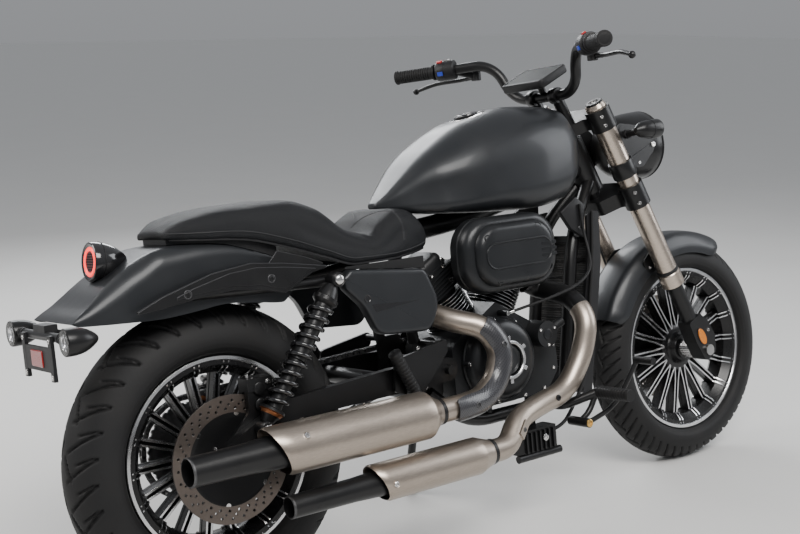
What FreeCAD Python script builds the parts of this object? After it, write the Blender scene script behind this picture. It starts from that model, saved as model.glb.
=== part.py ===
import FreeCAD, Part
import math
import os
from types import SimpleNamespace

from FreeCAD import Placement, Rotation, Vector

# Sizes in millimetres and degrees.
# The cycle's own axes: X forward from the rear axle, Y to the left, Z up from the ground.
SIZES = (
    # Stance and steering
    ("wheelbase", 1418),
    ("lean_angle", 9),
    ("rake_angle", 26.3),
    ("steer_offset", 40),
    ("seat_gap", 0.3),
    ("running_gap", 0.05),
    # Rear wheel
    ("rear_tyre_radius", 310),
    ("rear_crown_radius", 75),
    ("rear_flange_radius", 205),
    ("rear_rim_width", 104),
    ("rear_hub_half", 84),
    ("rear_axle_radius", 9),
    ("rear_disc_radius", 130),
    ("rear_disc_band", 36),
    ("rear_disc_plane", 96),
    ("sprocket_plane", 92),
    ("sprocket_radius", 96),
    ("sprocket_teeth", 40),
    ("sprocket_plate", 6),
    ("drive_sprocket_radius", 36),
    ("chain_height", 12),
    ("chain_width", 14),
    ("chain_clearance", 5),
    ("caliper_bracket_wall", 8),
    # Front wheel
    ("front_tyre_radius", 299),
    ("front_crown_radius", 60),
    ("front_flange_radius", 217),
    ("front_rim_width", 84),
    ("front_hub_half", 40),
    ("front_axle_radius", 9.5),
    ("front_disc_radius", 140),
    ("front_disc_band", 40),
    ("front_disc_plane", 58),
    # Both wheels
    ("carcass_wall", 9),
    ("flange_height", 14),
    ("flange_lip", 7),
    ("well_depth", 16),
    ("rim_wall", 6),
    ("spoke_count", 18),
    ("spoke_width", 15),
    ("spoke_rib", 4),
    ("spoke_depth", 30),
    ("spoke_recess", 8),
    ("hub_radius", 36),
    ("hub_nose_radius", 28),
    ("hub_flange_radius", 62),
    ("disc_thickness", 4.5),
    ("disc_hole_radius", 4),
    ("hub_nose_length", 6),
    # Fork
    ("leg_spacing", 194),
    ("fork_tube_radius", 26.5),
    ("fork_slider_radius", 20.5),
    ("fork_collar_radius", 30),
    ("clamp_wall", 6),
    ("stem_radius", 17),
    ("head_tube_radius", 33),
    ("head_tube_low", 524),
    ("head_tube_length", 146),
    ("fork_top", 745),
    ("lower_clamp_low", 453),
    ("lower_clamp_height", 62),
    ("top_clamp_low", 676),
    ("top_clamp_height", 56),
    ("axle_lug_width", 42),
    # Handlebar
    ("bar_radius", 13),
    ("bar_width", 766),
    ("grip_radius", 17),
    ("grip_length", 112),
    ("bar_wall", 3),
    ("cable_radius", 3.5),
    ("harness_radius", 4.5),
    ("hose_radius", 3),
    # Lamps
    ("headlamp_radius", 90),
    ("headlamp_wall", 4),
    ("indicator_radius", 24),
    ("rear_indicator_radius", 26),
    ("tail_lamp_radius", 39),
    # Fenders
    ("fender_wall", 4),
    ("front_fender_radius", 318),
    ("front_fender_half", 66),
    # Frame and rear end
    ("backbone_radius", 25),
    ("down_tube_radius", 16),
    ("down_tube_side", 60),
    ("cradle_side", 78),
    ("cradle_height", 258),
    ("rail_radius", 11),
    ("rail_side", 112),
    ("pivot_height", 402),
    ("pivot_forward", 533),
    ("pivot_plate_side", 66),
    ("pivot_plate_wall", 10),
    ("arm_side", 124),
    ("arm_width", 20),
    ("arm_height", 44),
    ("side_cover_depth", 26),
    ("shock_side", 149),
    ("shock_coil_radius", 27),
    ("shock_body_radius", 19),
    ("coil_wire_radius", 4.5),
    # Engine
    ("crank_forward", 712),
    ("crank_height", 395),
    ("vee_half_angle", 30),
    ("case_half_width", 100),
    ("barrel_radius", 54),
    ("fin_count", 7),
    ("fin_wall", 3),
    ("fin_reach", 12),
    ("clutch_cover_radius", 98),
    ("clutch_cover_depth", 50),
    ("ring_radius", 45),
    ("clutch_arm_radius", 7),
    ("ring_wall", 9),
    ("air_cleaner_length", 278),
    ("air_cleaner_height", 172),
    ("air_cleaner_side", 104),
    ("air_cleaner_depth", 86),
    # Exhaust
    ("pipe_radius", 26),
    ("pipe_wall", 2.5),
    ("upper_muffler_radius", 51),
    ("lower_muffler_radius", 41),
    ("muffler_side", 215),
    # Radiator
    ("radiator_width", 170),
    ("radiator_depth", 32),
    # Tank and seat
    ("filler_cap_radius", 32),
    # Stand
    ("stand_pivot_forward", 610),
    ("stand_radius", 11),
)

SHEET = "Sizes"


def new_document():
    """A document with one sheet that holds every size under its own name."""
    document = FreeCAD.newDocument("cruiser_motorcycle")
    sheet = document.addObject("Spreadsheet::Sheet", SHEET)
    for row, (name, value) in enumerate(SIZES, start=1):
        sheet.set(f"A{row}", name)
        sheet.set(f"B{row}", str(value))
        sheet.setAlias(f"B{row}", name)
    document.recompute()
    return document, sheet


doc, sheet = new_document()
s = SimpleNamespace(**{name: float(sheet.get(name)) for name, _ in SIZES})

LEAN = math.radians(s.lean_angle)
RAKE = math.radians(s.rake_angle)
Y_AXIS = Vector(0, 1, 0)

# A leaning round tyre touches the ground beside its middle, so its axle sits a little higher.
REAR_AXLE = Vector(0, 0, s.rear_tyre_radius - s.rear_crown_radius + s.rear_crown_radius / math.cos(LEAN))
FRONT_AXLE = Vector(
    s.wheelbase,
    0,
    s.front_tyre_radius - s.front_crown_radius + s.front_crown_radius / math.cos(LEAN),
)

# The fork's own frame: origin on the front axle, Z up along the legs, X forward, Y left.
FORK = Placement(FRONT_AXLE, Rotation(Y_AXIS, -s.rake_angle))
CRANK = Vector(s.crank_forward, 0, s.crank_height)
PIVOT = Vector(s.pivot_forward, 0, s.pivot_height)


def bind(item, **links):
    """Tie properties of an object to the sheet by expressions in the sheet's names."""
    for prop, expression in links.items():
        item.setExpression(prop, expression)
    return item


def sized(expression):
    """Write an expression of plain size names with the sheet's name before each."""
    words = expression.replace("(", " ( ").replace(")", " ) ").split()
    names = {name for name, _ in SIZES}
    return " ".join(f"{SHEET}.{word}" if word in names else word for word in words)


def origin_plane(body, role):
    """One of a body's own origin planes or axes."""
    for feature in body.Origin.OriginFeatures:
        if feature.Role == role:
            return feature
    raise ValueError(role)


def new_sketch(body, name, plane, path, offset=0.0):
    """A closed sketch; a step is a line's end (u, v) or an arc's middle and end (u, v, u, v)."""
    sketch = body.newObject("Sketcher::SketchObject", name)
    sketch.AttachmentSupport = [(origin_plane(body, plane), "")]
    sketch.MapMode = "FlatFace"
    sketch.AttachmentOffset = Placement(Vector(0, 0, offset), Rotation())
    add_loop(sketch, path)
    return sketch


def add_loop(sketch, path):
    """Add one closed loop of lines and arcs to a sketch."""
    start = Vector(path[0][0], path[0][1], 0)
    here = start
    for step in path[1:]:
        end = Vector(step[-2], step[-1], 0)
        if len(step) == 4:
            middle = Vector(step[0], step[1], 0)
            sketch.addGeometry(Part.Arc(here, middle, end), False)
        else:
            sketch.addGeometry(Part.LineSegment(here, end), False)
        here = end
    if (here - start).Length > 1e-6:
        sketch.addGeometry(Part.LineSegment(here, start), False)


def rounded(corners):
    """Turn corners (u, v, radius) into a path whose corners are arcs of those radii."""
    path = []
    count = len(corners)
    for index, (u, v, radius) in enumerate(corners):
        corner = Vector(u, v, 0)
        before = Vector(*corners[index - 1][:2], 0) - corner
        after = Vector(*corners[(index + 1) % count][:2], 0) - corner
        turn = before.getAngle(after)
        if radius <= 0 or turn > math.pi - 1e-3:
            path.append((u, v))
            continue
        reach = min(radius / math.tan(turn / 2), 0.48 * before.Length, 0.48 * after.Length)
        radius = reach * math.tan(turn / 2)
        first = corner + before.normalize() * reach
        last = corner + after.normalize() * reach
        middle_way = (before + after).normalize()
        middle = corner + middle_way * (radius / math.sin(turn / 2) - radius)
        path.append((first.x, first.y))
        path.append((middle.x, middle.y, last.x, last.y))
    return path


def dome(u, radius, tip):
    """The last step of a turned path: part of a sphere from (u, radius) to its tip on the axis."""
    centre = (tip * tip - u * u - radius * radius) / (2 * (tip - u))
    reach = tip - centre
    half = math.atan2(radius, u - centre) / 2 if reach > 0 else math.pi - math.atan2(radius, centre - u) / 2
    return centre + abs(reach) * math.cos(half), abs(reach) * math.sin(half), tip, 0


def circle_path(u, v, radius):
    """A full circle as two half arcs."""
    return [(u - radius, v), (u, v + radius, u + radius, v), (u, v - radius, u - radius, v)]


def slab(name, path, thickness, middle=Vector(0, 0, 0), holes=()):
    """A plate cut to a side outline (x, z), centred on its own plane, of the sheet's thickness."""
    body = doc.addObject("PartDesign::Body", name)
    sketch = new_sketch(body, name + "_outline", "XZ_Plane", path)
    for u, v, radius in holes:
        add_loop(sketch, circle_path(u, v, radius))
    pad = body.newObject("PartDesign::Pad", name + "_pad")
    pad.Profile = sketch
    pad.Midplane = True
    bind(pad, Length=sized(thickness))
    body.Placement = Placement(middle, Rotation())
    return body


def turned(name, path, axis="Y", where=Placement(), angle=360.0):
    """A solid of revolution; the path's (u, v) are (along, radius), or (radius, along) about Z."""
    planes = {"Y": ("YZ_Plane", "H_Axis"), "Z": ("XZ_Plane", "V_Axis"), "X": ("XZ_Plane", "H_Axis")}
    plane, line = planes[axis]
    body = doc.addObject("PartDesign::Body", name)
    sketch = new_sketch(body, name + "_profile", plane, path)
    turn = body.newObject("PartDesign::Revolution", name + "_turn")
    turn.Profile = sketch
    turn.ReferenceAxis = (sketch, [line])
    turn.Angle = angle
    body.Placement = where
    return body


def rod(name, start, end, radius):
    """A round bar from one point to another, of the sheet's radius."""
    bar = doc.addObject("Part::Cylinder", name)
    bind(bar, Radius=sized(radius))
    bar.Height = (end - start).Length
    bar.Placement = Placement(start, Rotation(Vector(0, 0, 1), end - start))
    return bar


def block(name, low, high):
    """A box between two corners."""
    box = doc.addObject("Part::Box", name)
    box.Length = high.x - low.x
    box.Width = high.y - low.y
    box.Height = high.z - low.z
    box.Placement = Placement(low, Rotation())
    return box


def fuse(name, parts):
    """Several solids joined into one."""
    joined = doc.addObject("Part::MultiFuse", name)
    joined.Shapes = parts
    joined.Refine = True
    return joined


def cut(name, base, tools):
    """A solid with other solids taken away."""
    removed = doc.addObject("Part::Cut", name)
    removed.Base = base
    removed.Tool = tools[0] if len(tools) == 1 else fuse(name + "_tools", tools)
    return removed


def mirrored(name, source):
    """The same piece on the other side of the cycle."""
    twin = doc.addObject("Part::Mirroring", name)
    twin.Source = source
    twin.Base = Vector(0, 0, 0)
    twin.Normal = Y_AXIS
    return twin


def group(name, parts):
    """Like pieces that don't touch, kept together."""
    both = doc.addObject("Part::Compound", name)
    both.Links = parts
    return both


def pair(name, right):
    """A piece and its mirror image."""
    return group(name, [right, mirrored(name + "_left", right)])


def route(points):
    """A wire of straight runs joined by tangent arcs, each as large as its two runs allow."""
    edges = []
    here = points[0]
    for before, corner, after in zip(points, points[1:], points[2:]):
        back = before - corner
        on = after - corner
        reach = 0.45 * min(back.Length, on.Length)
        turn = back.getAngle(on)
        radius = reach * math.tan(turn / 2)
        back.normalize()
        on.normalize()
        first = corner + back * reach
        last = corner + on * reach
        middle = corner + (back + on).normalize() * (radius / math.sin(turn / 2) - radius)
        edges.append(Part.LineSegment(here, first).toShape())
        edges.append(Part.Arc(first, middle, last).toShape())
        here = last
    edges.append(Part.LineSegment(here, points[-1]).toShape())
    return Part.Wire(edges)


def tube(name, points, radius):
    """A round bar swept along a route."""
    line = doc.addObject("Part::Feature", name + "_route")
    line.Shape = route(points)
    ring = doc.addObject("Part::Circle", name + "_section")
    bind(ring, Radius=sized(radius))
    ring.Placement = Placement(points[0], Rotation(Vector(0, 0, 1), points[1] - points[0]))
    sweep = doc.addObject("Part::Sweep", name)
    sweep.Sections = [ring]
    sweep.Spine = (line, [f"Edge{count + 1}" for count in range(len(line.Shape.Edges))])
    sweep.Solid = True
    sweep.Frenet = False
    return sweep


def section_loft(name, stations):
    """A body through upright sections (x, half width, low, high, low corner, high corner)."""
    wires = []
    for x, half, low, high, low_corner, high_corner in stations:
        corners = [
            (-half, low, low_corner),
            (half, low, low_corner),
            (half, high, high_corner),
            (-half, high, high_corner),
        ]
        path = rounded(corners)
        edges = []
        here = Vector(x, *path[0])
        for step in path[1:] + [path[0]]:
            end = Vector(x, step[-2], step[-1])
            if len(step) == 4:
                edges.append(Part.Arc(here, Vector(x, step[0], step[1]), end).toShape())
            else:
                edges.append(Part.LineSegment(here, end).toShape())
            here = end
        wires.append(Part.Wire(edges))
    feature = doc.addObject("Part::Feature", name)
    feature.Shape = Part.makeLoft(wires, True, False)
    return feature


def tyre(name, radius, crown, flange, rim_width, axle):
    """A round-section tyre, open towards the rim, its beads inside the rim's flanges."""
    bead = flange - s.flange_height + s.seat_gap
    heel = rim_width / 2 - s.flange_lip - s.seat_gap
    middle = radius - crown
    inner = crown - s.carcass_wall
    wall = (heel * 0.3 + crown * 0.7, (flange + middle) / 2 - 3)
    path = [
        (-heel, bead),
        (-heel, flange + 1),
        (-wall[0], wall[1], -crown, middle),
        (0, radius, crown, middle),
        (wall[0], wall[1], heel, flange + 1),
        (heel, bead),
        (heel - s.carcass_wall, bead),
        (heel - s.carcass_wall, flange + 1),
        (inner, middle),
        (0, middle + inner, -inner, middle),
        (-heel + s.carcass_wall, flange + 1),
        (-heel + s.carcass_wall, bead),
    ]
    return turned(name, path, "Y", Placement(axle, Rotation()))


def wheel_casting(name, flange, rim_width, hub_half, bore, axle):
    """A cast wheel: rim, hub and paired ribs in a ring of channel-section spokes."""
    half = rim_width / 2
    seat = flange - s.flange_height
    well = seat - s.well_depth
    rim = [
        (-half, flange),
        (-half + s.flange_lip, flange),
        (-half + s.flange_lip, seat),
        (-half / 2 - 4, seat - 3),
        (-half / 2 + 8, well),
        (half / 2 - 8, well),
        (half / 2 + 4, seat - 3),
        (half - s.flange_lip, seat),
        (half - s.flange_lip, flange),
        (half, flange),
        (half, seat - s.rim_wall),
        (half / 2, well - s.rim_wall),
        (-half / 2, well - s.rim_wall),
        (-half, seat - s.rim_wall),
    ]
    body = doc.addObject("PartDesign::Body", name)
    rim_turn = body.newObject("PartDesign::Revolution", name + "_rim")
    rim_turn.Profile = new_sketch(body, name + "_rim_profile", "YZ_Plane", rim)
    rim_turn.ReferenceAxis = (rim_turn.Profile[0], ["H_Axis"])
    depth = s.spoke_depth / 2
    width = s.spoke_width / 2
    web = width - s.spoke_rib
    floor = depth - s.spoke_recess
    channel = [
        (-width, -depth),
        (-web, -depth),
        (-web, -floor),
        (web, -floor),
        (web, -depth),
        (width, -depth),
        (width, depth),
        (web, depth),
        (web, floor),
        (-web, floor),
        (-web, depth),
        (-width, depth),
    ]
    foot = s.hub_flange_radius - 3
    spoke = body.newObject("PartDesign::Pad", name + "_spoke")
    spoke.Profile = new_sketch(body, name + "_spoke_section", "XY_Plane", channel, foot)
    spoke.Length = well - s.rim_wall / 2 - foot
    ring = body.newObject("PartDesign::PolarPattern", name + "_spokes")
    ring.Originals = [spoke]
    ring.Axis = (origin_plane(body, "Y_Axis"), [""])
    ring.Angle = 360
    bind(ring, Occurrences=sized("spoke_count"))
    body.Tip = ring
    shoulder = hub_half - s.hub_nose_length
    hub = [
        (-hub_half, bore),
        (-hub_half, s.hub_nose_radius),
        (-shoulder, s.hub_nose_radius),
        (-shoulder, s.hub_radius),
        (-depth, s.hub_radius + 4),
        (-depth, s.hub_flange_radius),
        (depth, s.hub_flange_radius),
        (depth, s.hub_radius + 4),
        (shoulder, s.hub_radius),
        (shoulder, s.hub_nose_radius),
        (hub_half, s.hub_nose_radius),
        (hub_half, bore),
    ]
    hub_turn = body.newObject("PartDesign::Revolution", name + "_hub")
    hub_turn.Profile = new_sketch(body, name + "_hub_profile", "YZ_Plane", hub)
    hub_turn.ReferenceAxis = (hub_turn.Profile[0], ["H_Axis"])
    body.Tip = hub_turn
    body.Placement = Placement(axle, Rotation())
    return body


def brake_disc(name, radius, band, plane, side, shoulder, axle):
    """A brake disc with a ring of holes, on a dished carrier that seats on the hub's nose."""
    half = s.disc_thickness / 2
    bore = s.hub_nose_radius + s.seat_gap
    low = plane - half
    high = plane + half
    path = [
        (side * shoulder, bore),
        (side * (shoulder + s.hub_nose_length), bore),
        (side * (shoulder + s.hub_nose_length), s.hub_radius + 4),
        (side * high, radius - band),
        (side * high, radius),
        (side * low, radius),
        (side * low, radius - band - 4),
        (side * shoulder, s.hub_radius + 10),
    ]
    disc = turned(name + "_blank", path)
    holes = []
    for index in range(24):
        angle = math.radians(index * 15)
        reach = radius - band * (0.3 if index % 2 else 0.62)
        start = Vector(reach * math.cos(angle), side * (low - 5), reach * math.sin(angle))
        holes.append(rod(f"{name}_hole_{index}", start, start + Vector(0, side * 20, 0), "disc_hole_radius"))
    drilled = cut(name, disc, holes)
    drilled.Placement = Placement(axle, Rotation())
    return drilled


def front_tyre():
    """Front tyre."""
    return tyre(
        "front_tyre", s.front_tyre_radius, s.front_crown_radius, s.front_flange_radius,
        s.front_rim_width, FRONT_AXLE,
    )


def rear_tyre():
    """Rear tyre."""
    return tyre(
        "rear_tyre", s.rear_tyre_radius, s.rear_crown_radius, s.rear_flange_radius,
        s.rear_rim_width, REAR_AXLE,
    )


def front_rim():
    """Front cast wheel."""
    return wheel_casting(
        "front_rim", s.front_flange_radius, s.front_rim_width, s.front_hub_half,
        s.front_axle_radius + s.running_gap, FRONT_AXLE,
    )


def rear_rim():
    """Rear cast wheel."""
    return wheel_casting(
        "rear_rim", s.rear_flange_radius, s.rear_rim_width, s.rear_hub_half,
        s.rear_axle_radius + s.running_gap, REAR_AXLE,
    )


def front_disc():
    """Single front brake disc, on the left."""
    return brake_disc(
        "front_disc", s.front_disc_radius, s.front_disc_band, s.front_disc_plane, 1,
        s.front_hub_half - s.hub_nose_length, FRONT_AXLE,
    )


def rear_disc():
    """Single rear brake disc, on the right."""
    return brake_disc(
        "rear_disc", s.rear_disc_radius, s.rear_disc_band, s.rear_disc_plane, -1,
        s.rear_hub_half - s.hub_nose_length, REAR_AXLE,
    )


def rear_sprocket():
    """Driven sprocket on the left of the rear hub, its teeth cut by a ring of round gaps."""
    shoulder = s.rear_hub_half - s.hub_nose_length
    bore = s.hub_nose_radius + s.seat_gap
    half = s.sprocket_plate / 2
    path = [
        (shoulder, bore),
        (s.sprocket_plane + half, bore),
        (s.sprocket_plane + half, s.sprocket_radius),
        (s.sprocket_plane - half, s.sprocket_radius),
        (s.sprocket_plane - half, s.hub_radius + 12),
        (shoulder, s.hub_radius + 8),
    ]
    body = turned("rear_sprocket", path)
    pitch = 2 * math.pi * s.sprocket_radius / s.sprocket_teeth
    gap = body.newObject("PartDesign::Pocket", "tooth_gap")
    ring = circle_path(0, s.sprocket_radius + pitch * 0.1, pitch * 0.3)
    gap.Profile = new_sketch(body, "tooth_gap_outline", "XZ_Plane", ring)
    gap.Type = "ThroughAll"
    gap.Midplane = True
    teeth = body.newObject("PartDesign::PolarPattern", "teeth")
    teeth.Originals = [gap]
    teeth.Axis = (origin_plane(body, "Y_Axis"), [""])
    teeth.Angle = 360
    bind(teeth, Occurrences=sized("sprocket_teeth"))
    body.Tip = teeth
    body.Placement = Placement(REAR_AXLE, Rotation())
    return body


def leg(side):
    """The middle line of a fork leg, sideways from the fork's plane of symmetry."""
    return side * s.leg_spacing / 2


def fork_tubes():
    """Two outer fork tubes with a thicker collar at the lower end and a cap on top."""
    bore = s.fork_slider_radius + s.seat_gap
    low = s.lower_clamp_low - 243
    path = [
        (bore, low),
        (s.fork_collar_radius, low),
        (s.fork_collar_radius, low + 36),
        (s.fork_tube_radius, low + 40),
        (s.fork_tube_radius, s.fork_top - 9),
        (s.fork_tube_radius - 4, s.fork_top),
        (0, s.fork_top),
        (0, s.fork_top - 20),
        (bore, s.fork_top - 20),
    ]
    tubes = []
    for side, word in ((-1, "right"), (1, "left")):
        tubes.append(turned("fork_tube_" + word, path, "Z", Placement(Vector(0, leg(side), 0), Rotation())))
    return group("fork_tubes", tubes)


LUG_OUTLINE = (
    (-22, -24, 14),
    (24, -24, 20),
    (44, 20, 12),
    (40, 66, 14),
    (24, 100, 6),
    (-24, 100, 6),
    (-27, 40, 20),
)


def fork_sliders():
    """Two bright inner tubes, each in a cast lug that holds the axle."""
    parts = []
    width = s.axle_lug_width
    for side, word in ((-1, "right"), (1, "left")):
        bottom = Vector(0, leg(side), 40)
        inner = rod("slider_" + word, bottom, Vector(0, leg(side), s.lower_clamp_low - 40), "fork_slider_radius")
        lug = slab("lug_" + word, rounded(LUG_OUTLINE), "axle_lug_width", Vector(0, leg(side), 0))
        whole = fuse("slider_and_lug_" + word, [lug, inner])
        start = Vector(0, leg(side) - width, 0)
        bore = rod("axle_bore_" + word, start, start + Vector(0, 2 * width, 0), "front_axle_radius + seat_gap / 2")
        parts.append(cut("fork_slider_" + word, whole, [bore]))
    return group("fork_sliders", parts)


def front_axle():
    """Front axle with a large bright spacer on the right and a small one on the left."""
    outer = leg(1) + s.axle_lug_width / 2
    inner = leg(1) - s.axle_lug_width / 2 - s.seat_gap
    hub = s.front_hub_half + 0.5
    parts = [
        rod("axle_bar", Vector(0, -outer - 6, 0), Vector(0, outer + 6, 0), "front_axle_radius"),
        rod("axle_spacer_right", Vector(0, -inner, 0), Vector(0, -hub, 0), "hub_nose_radius - 3"),
        rod("axle_spacer_left", Vector(0, hub, 0), Vector(0, inner, 0), "hub_nose_radius - 9"),
        rod("axle_head_left", Vector(0, outer + s.seat_gap, 0), Vector(0, outer + 8, 0), "front_axle_radius + 5"),
        rod("axle_head_right", Vector(0, -outer - 8, 0), Vector(0, -outer - s.seat_gap, 0), "front_axle_radius + 5"),
    ]
    return fuse("front_axle", parts)


def clamp_plate(name, low, height, nose):
    """A clamp across both legs and the steering stem, with its collars."""
    outline = rounded((
        (-s.steer_offset - 32, -leg(1) * 0.41, 18),
        (-30, -leg(1) * 0.74, 18),
        (-30, -leg(1) - 20, 18),
        (nose, -leg(1) - 20, 18),
        (nose, leg(1) + 20, 18),
        (-30, leg(1) + 20, 18),
        (-30, leg(1) * 0.74, 18),
        (-s.steer_offset - 32, leg(1) * 0.41, 18),
    ))
    body = doc.addObject("PartDesign::Body", name)
    pad = body.newObject("PartDesign::Pad", name + "_pad")
    pad.Profile = new_sketch(body, name + "_outline", "XY_Plane", outline, low)
    bind(pad, Length=sized(height))
    return body


def fork_clamps():
    """Lower and upper clamps joined by the steering stem, bored for the legs."""
    stem_line = Vector(-s.steer_offset, 0, 0)
    parts = [
        clamp_plate("lower_clamp", s.lower_clamp_low + 12, "lower_clamp_height - 24", 30),
        clamp_plate("top_clamp", s.top_clamp_low + 12, "top_clamp_height - 24", 28),
        rod(
            "steering_stem",
            stem_line + Vector(0, 0, s.lower_clamp_low + 20),
            stem_line + Vector(0, 0, s.top_clamp_low + 60),
            "stem_radius",
        ),
    ]
    tools = []
    for side, word in ((-1, "right"), (1, "left")):
        line = Vector(0, leg(side), 0)
        for low, height, name in (
            (s.lower_clamp_low, s.lower_clamp_height, "lower_collar_"),
            (s.top_clamp_low, s.top_clamp_height, "top_collar_"),
        ):
            bottom = line + Vector(0, 0, low)
            parts.append(rod(name + word, bottom, bottom + Vector(0, 0, height), "fork_tube_radius + clamp_wall"))
        bottom = line + Vector(0, 0, s.lower_clamp_low - 20)
        tools.append(rod(
            "leg_bore_" + word, bottom, bottom + Vector(0, 0, s.fork_top), "fork_tube_radius + seat_gap / 2",
        ))
    return cut("fork_clamps", fuse("clamps_and_stem", parts), tools)


def fork_place(along, ahead, side):
    """A point given along the leg, ahead of it and sideways, in the cycle's own axes."""
    return FORK.multVec(Vector(ahead, side, along))


BAR_END = Vector(846, -383, 1092)
BAR_TOP = Vector(985, -150, 1098)
BAR_FOOT = Vector(1016, -112, 996)
RISER_SIDE = 40


def flip(point):
    """The same point on the other side."""
    return Vector(point.x, -point.y, point.z)


def handlebar():
    """Bent bar in two risers."""
    line = [BAR_END, BAR_TOP, BAR_FOOT, flip(BAR_FOOT), flip(BAR_TOP), flip(BAR_END)]
    bar = tube("bar", line, "bar_radius")
    parts = [bar]
    for side in (-RISER_SIDE, RISER_SIDE):
        top = Vector(BAR_FOOT.x, side, BAR_FOOT.z)
        bar_in_fork = FORK.inverse().multVec(top)
        foot = fork_place(s.top_clamp_low + s.top_clamp_height - 12 + s.seat_gap, bar_in_fork.x, side)
        parts.append(rod(f"riser_{side + RISER_SIDE}", foot, top, "bar_radius + 3"))
        across = Vector(0, 12, 0)
        middle = Vector(BAR_FOOT.x, side, BAR_FOOT.z)
        parts.append(rod(f"bar_clamp_{side + RISER_SIDE}", middle - across, middle + across, "bar_radius + 7"))
    whole = fuse("bar_and_risers", parts)
    inward = (BAR_TOP - BAR_END).normalize()
    hollow = rod("bar_hollow", BAR_END - inward, BAR_END + inward * 60, "bar_radius - bar_wall")
    other = mirrored("bar_hollow_left", hollow)
    return cut("handlebar", whole, [hollow, other])


def along_bar(distance):
    """A point on the right half of the bar, measured inwards from its end."""
    return BAR_END + (BAR_TOP - BAR_END).normalize() * distance


def grips():
    """Two rubber sleeves over the ends of the bar."""
    sleeve = rod("grip_sleeve", along_bar(0), along_bar(s.grip_length), "grip_radius")
    collar = rod("grip_collar", along_bar(s.grip_length - 5), along_bar(s.grip_length), "grip_radius + 4")
    end = rod("grip_end", along_bar(0), along_bar(7), "grip_radius + 2")
    bore = rod("grip_bore", along_bar(-5), along_bar(s.grip_length + 5), "bar_radius + seat_gap / 2")
    return pair("grips", cut("grip", fuse("grip_body", [sleeve, collar, end]), [bore]))


def controls():
    """Switch housings and levers, one on each side."""
    low = s.grip_length + 6
    housing = rod("switch_housing", along_bar(low), along_bar(low + 52), "grip_radius + 9")
    ahead = Vector(46, 26, -22)
    pivot = along_bar(low + 50) + ahead
    perch = rod("lever_perch", along_bar(low + 40), pivot, "bar_radius - 2")
    boss = rod("lever_boss", pivot - Vector(0, 0, 12), pivot + Vector(0, 0, 12), "bar_radius")
    tip = along_bar(-22) + Vector(78, 0, -36)
    knuckle = pivot + (tip - pivot) * 0.25 + Vector(10, 0, 0)
    lever = tube("lever", [pivot, knuckle, tip], "bar_radius - 7")
    ball = doc.addObject("Part::Sphere", "lever_ball")
    bind(ball, Radius=sized("bar_radius - 4.5"))
    ball.Placement = Placement(tip, Rotation())
    bore = rod("perch_bore", along_bar(low - 20), along_bar(low + 90), "bar_radius + seat_gap / 2")
    whole = cut("control", fuse("control_body", [housing, perch, boss, lever, ball]), [bore])
    return pair("controls", whole)


DISPLAY_CENTRE = Vector(985, 0, 1042)
DISPLAY_TILT = -24


def display():
    """A flat tablet-shaped dash on a short arm above the bar."""
    case = block("display_case", Vector(-50, -74, -11), Vector(50, 74, 11))
    soft = doc.addObject("Part::Fillet", "display_soft")
    soft.Base = case
    doc.recompute()
    edges = [
        (index + 1, 10.0, 10.0) for index, edge in enumerate(case.Shape.Edges)
        if abs(edge.tangentAt(edge.FirstParameter).z) > 0.9
    ]
    soft.Edges = edges
    soft.Placement = Placement(DISPLAY_CENTRE, Rotation(Y_AXIS, DISPLAY_TILT))
    middle = Vector(BAR_FOOT.x, 0, BAR_FOOT.z)
    arm = rod("display_arm", middle, DISPLAY_CENTRE + Vector(12, 0, 0), "bar_radius - 4")
    across = Vector(0, 40, 0)
    seat_cut = rod("display_bar_seat", middle - across, middle + across, "bar_radius + seat_gap")
    return cut("display", fuse("display_whole", [soft, arm]), [seat_cut])


LAMP_CENTRE = Vector(1290, 0, 855)


def headlamp():
    """Round bucket, open in front, on two side plates clamped to the legs."""
    radius = s.headlamp_radius
    wall = s.headlamp_wall
    bucket = turned("lamp_bucket", [
        (-88, 0), (-84, 30), (-70, 60), (-44, 78), (0, radius - 4), (50, radius), (50, radius - wall),
        (0, radius - 4 - wall), (-44, 78 - wall), (-68, 56), (-80, 28), (-84, 0),
    ], "X", Placement(LAMP_CENTRE, Rotation()))
    parts = [bucket]
    for side, word in ((-1, "right"), (1, "left")):
        low = fork_place(539, 0, leg(side))
        high = fork_place(581, 0, leg(side))
        ring = rod("lamp_clamp_" + word, low, high, "fork_tube_radius + clamp_wall - 1")
        plate = slab("lamp_plate_" + word, rounded((
            (1150, 800, 4), (1250, 800, 20), (1306, 850, 20), (1250, 905, 20), (1175, 915, 15), (1150, 880, 8),
        )), "headlamp_wall + 2", Vector(0, side * (radius + 1), 0), ((1190, 880, 8), (1215, 825, 8)))
        bolt = rod("lamp_bolt_" + word, LAMP_CENTRE + Vector(0, side * (radius - 10), 0),
                   LAMP_CENTRE + Vector(0, side * (radius + 9), 0), "headlamp_wall * 2")
        parts += [ring, plate, bolt]
    tools = [
        rod("lamp_leg_bore_" + word, fork_place(400, 0, leg(side)), fork_place(700, 0, leg(side)),
            "fork_tube_radius + seat_gap / 2")
        for side, word in ((-1, "right"), (1, "left"))
    ]
    return cut("headlamp", fuse("lamp_and_plates", parts), tools)


def headlamp_lens():
    """Domed clear lens in the mouth of the bucket."""
    inner = s.headlamp_radius - s.headlamp_wall - 1
    return turned("headlamp_lens", [
        (44, 0), (44, inner), (48, inner), dome(48, inner, 64),
    ], "X", Placement(LAMP_CENTRE, Rotation()))


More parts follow.
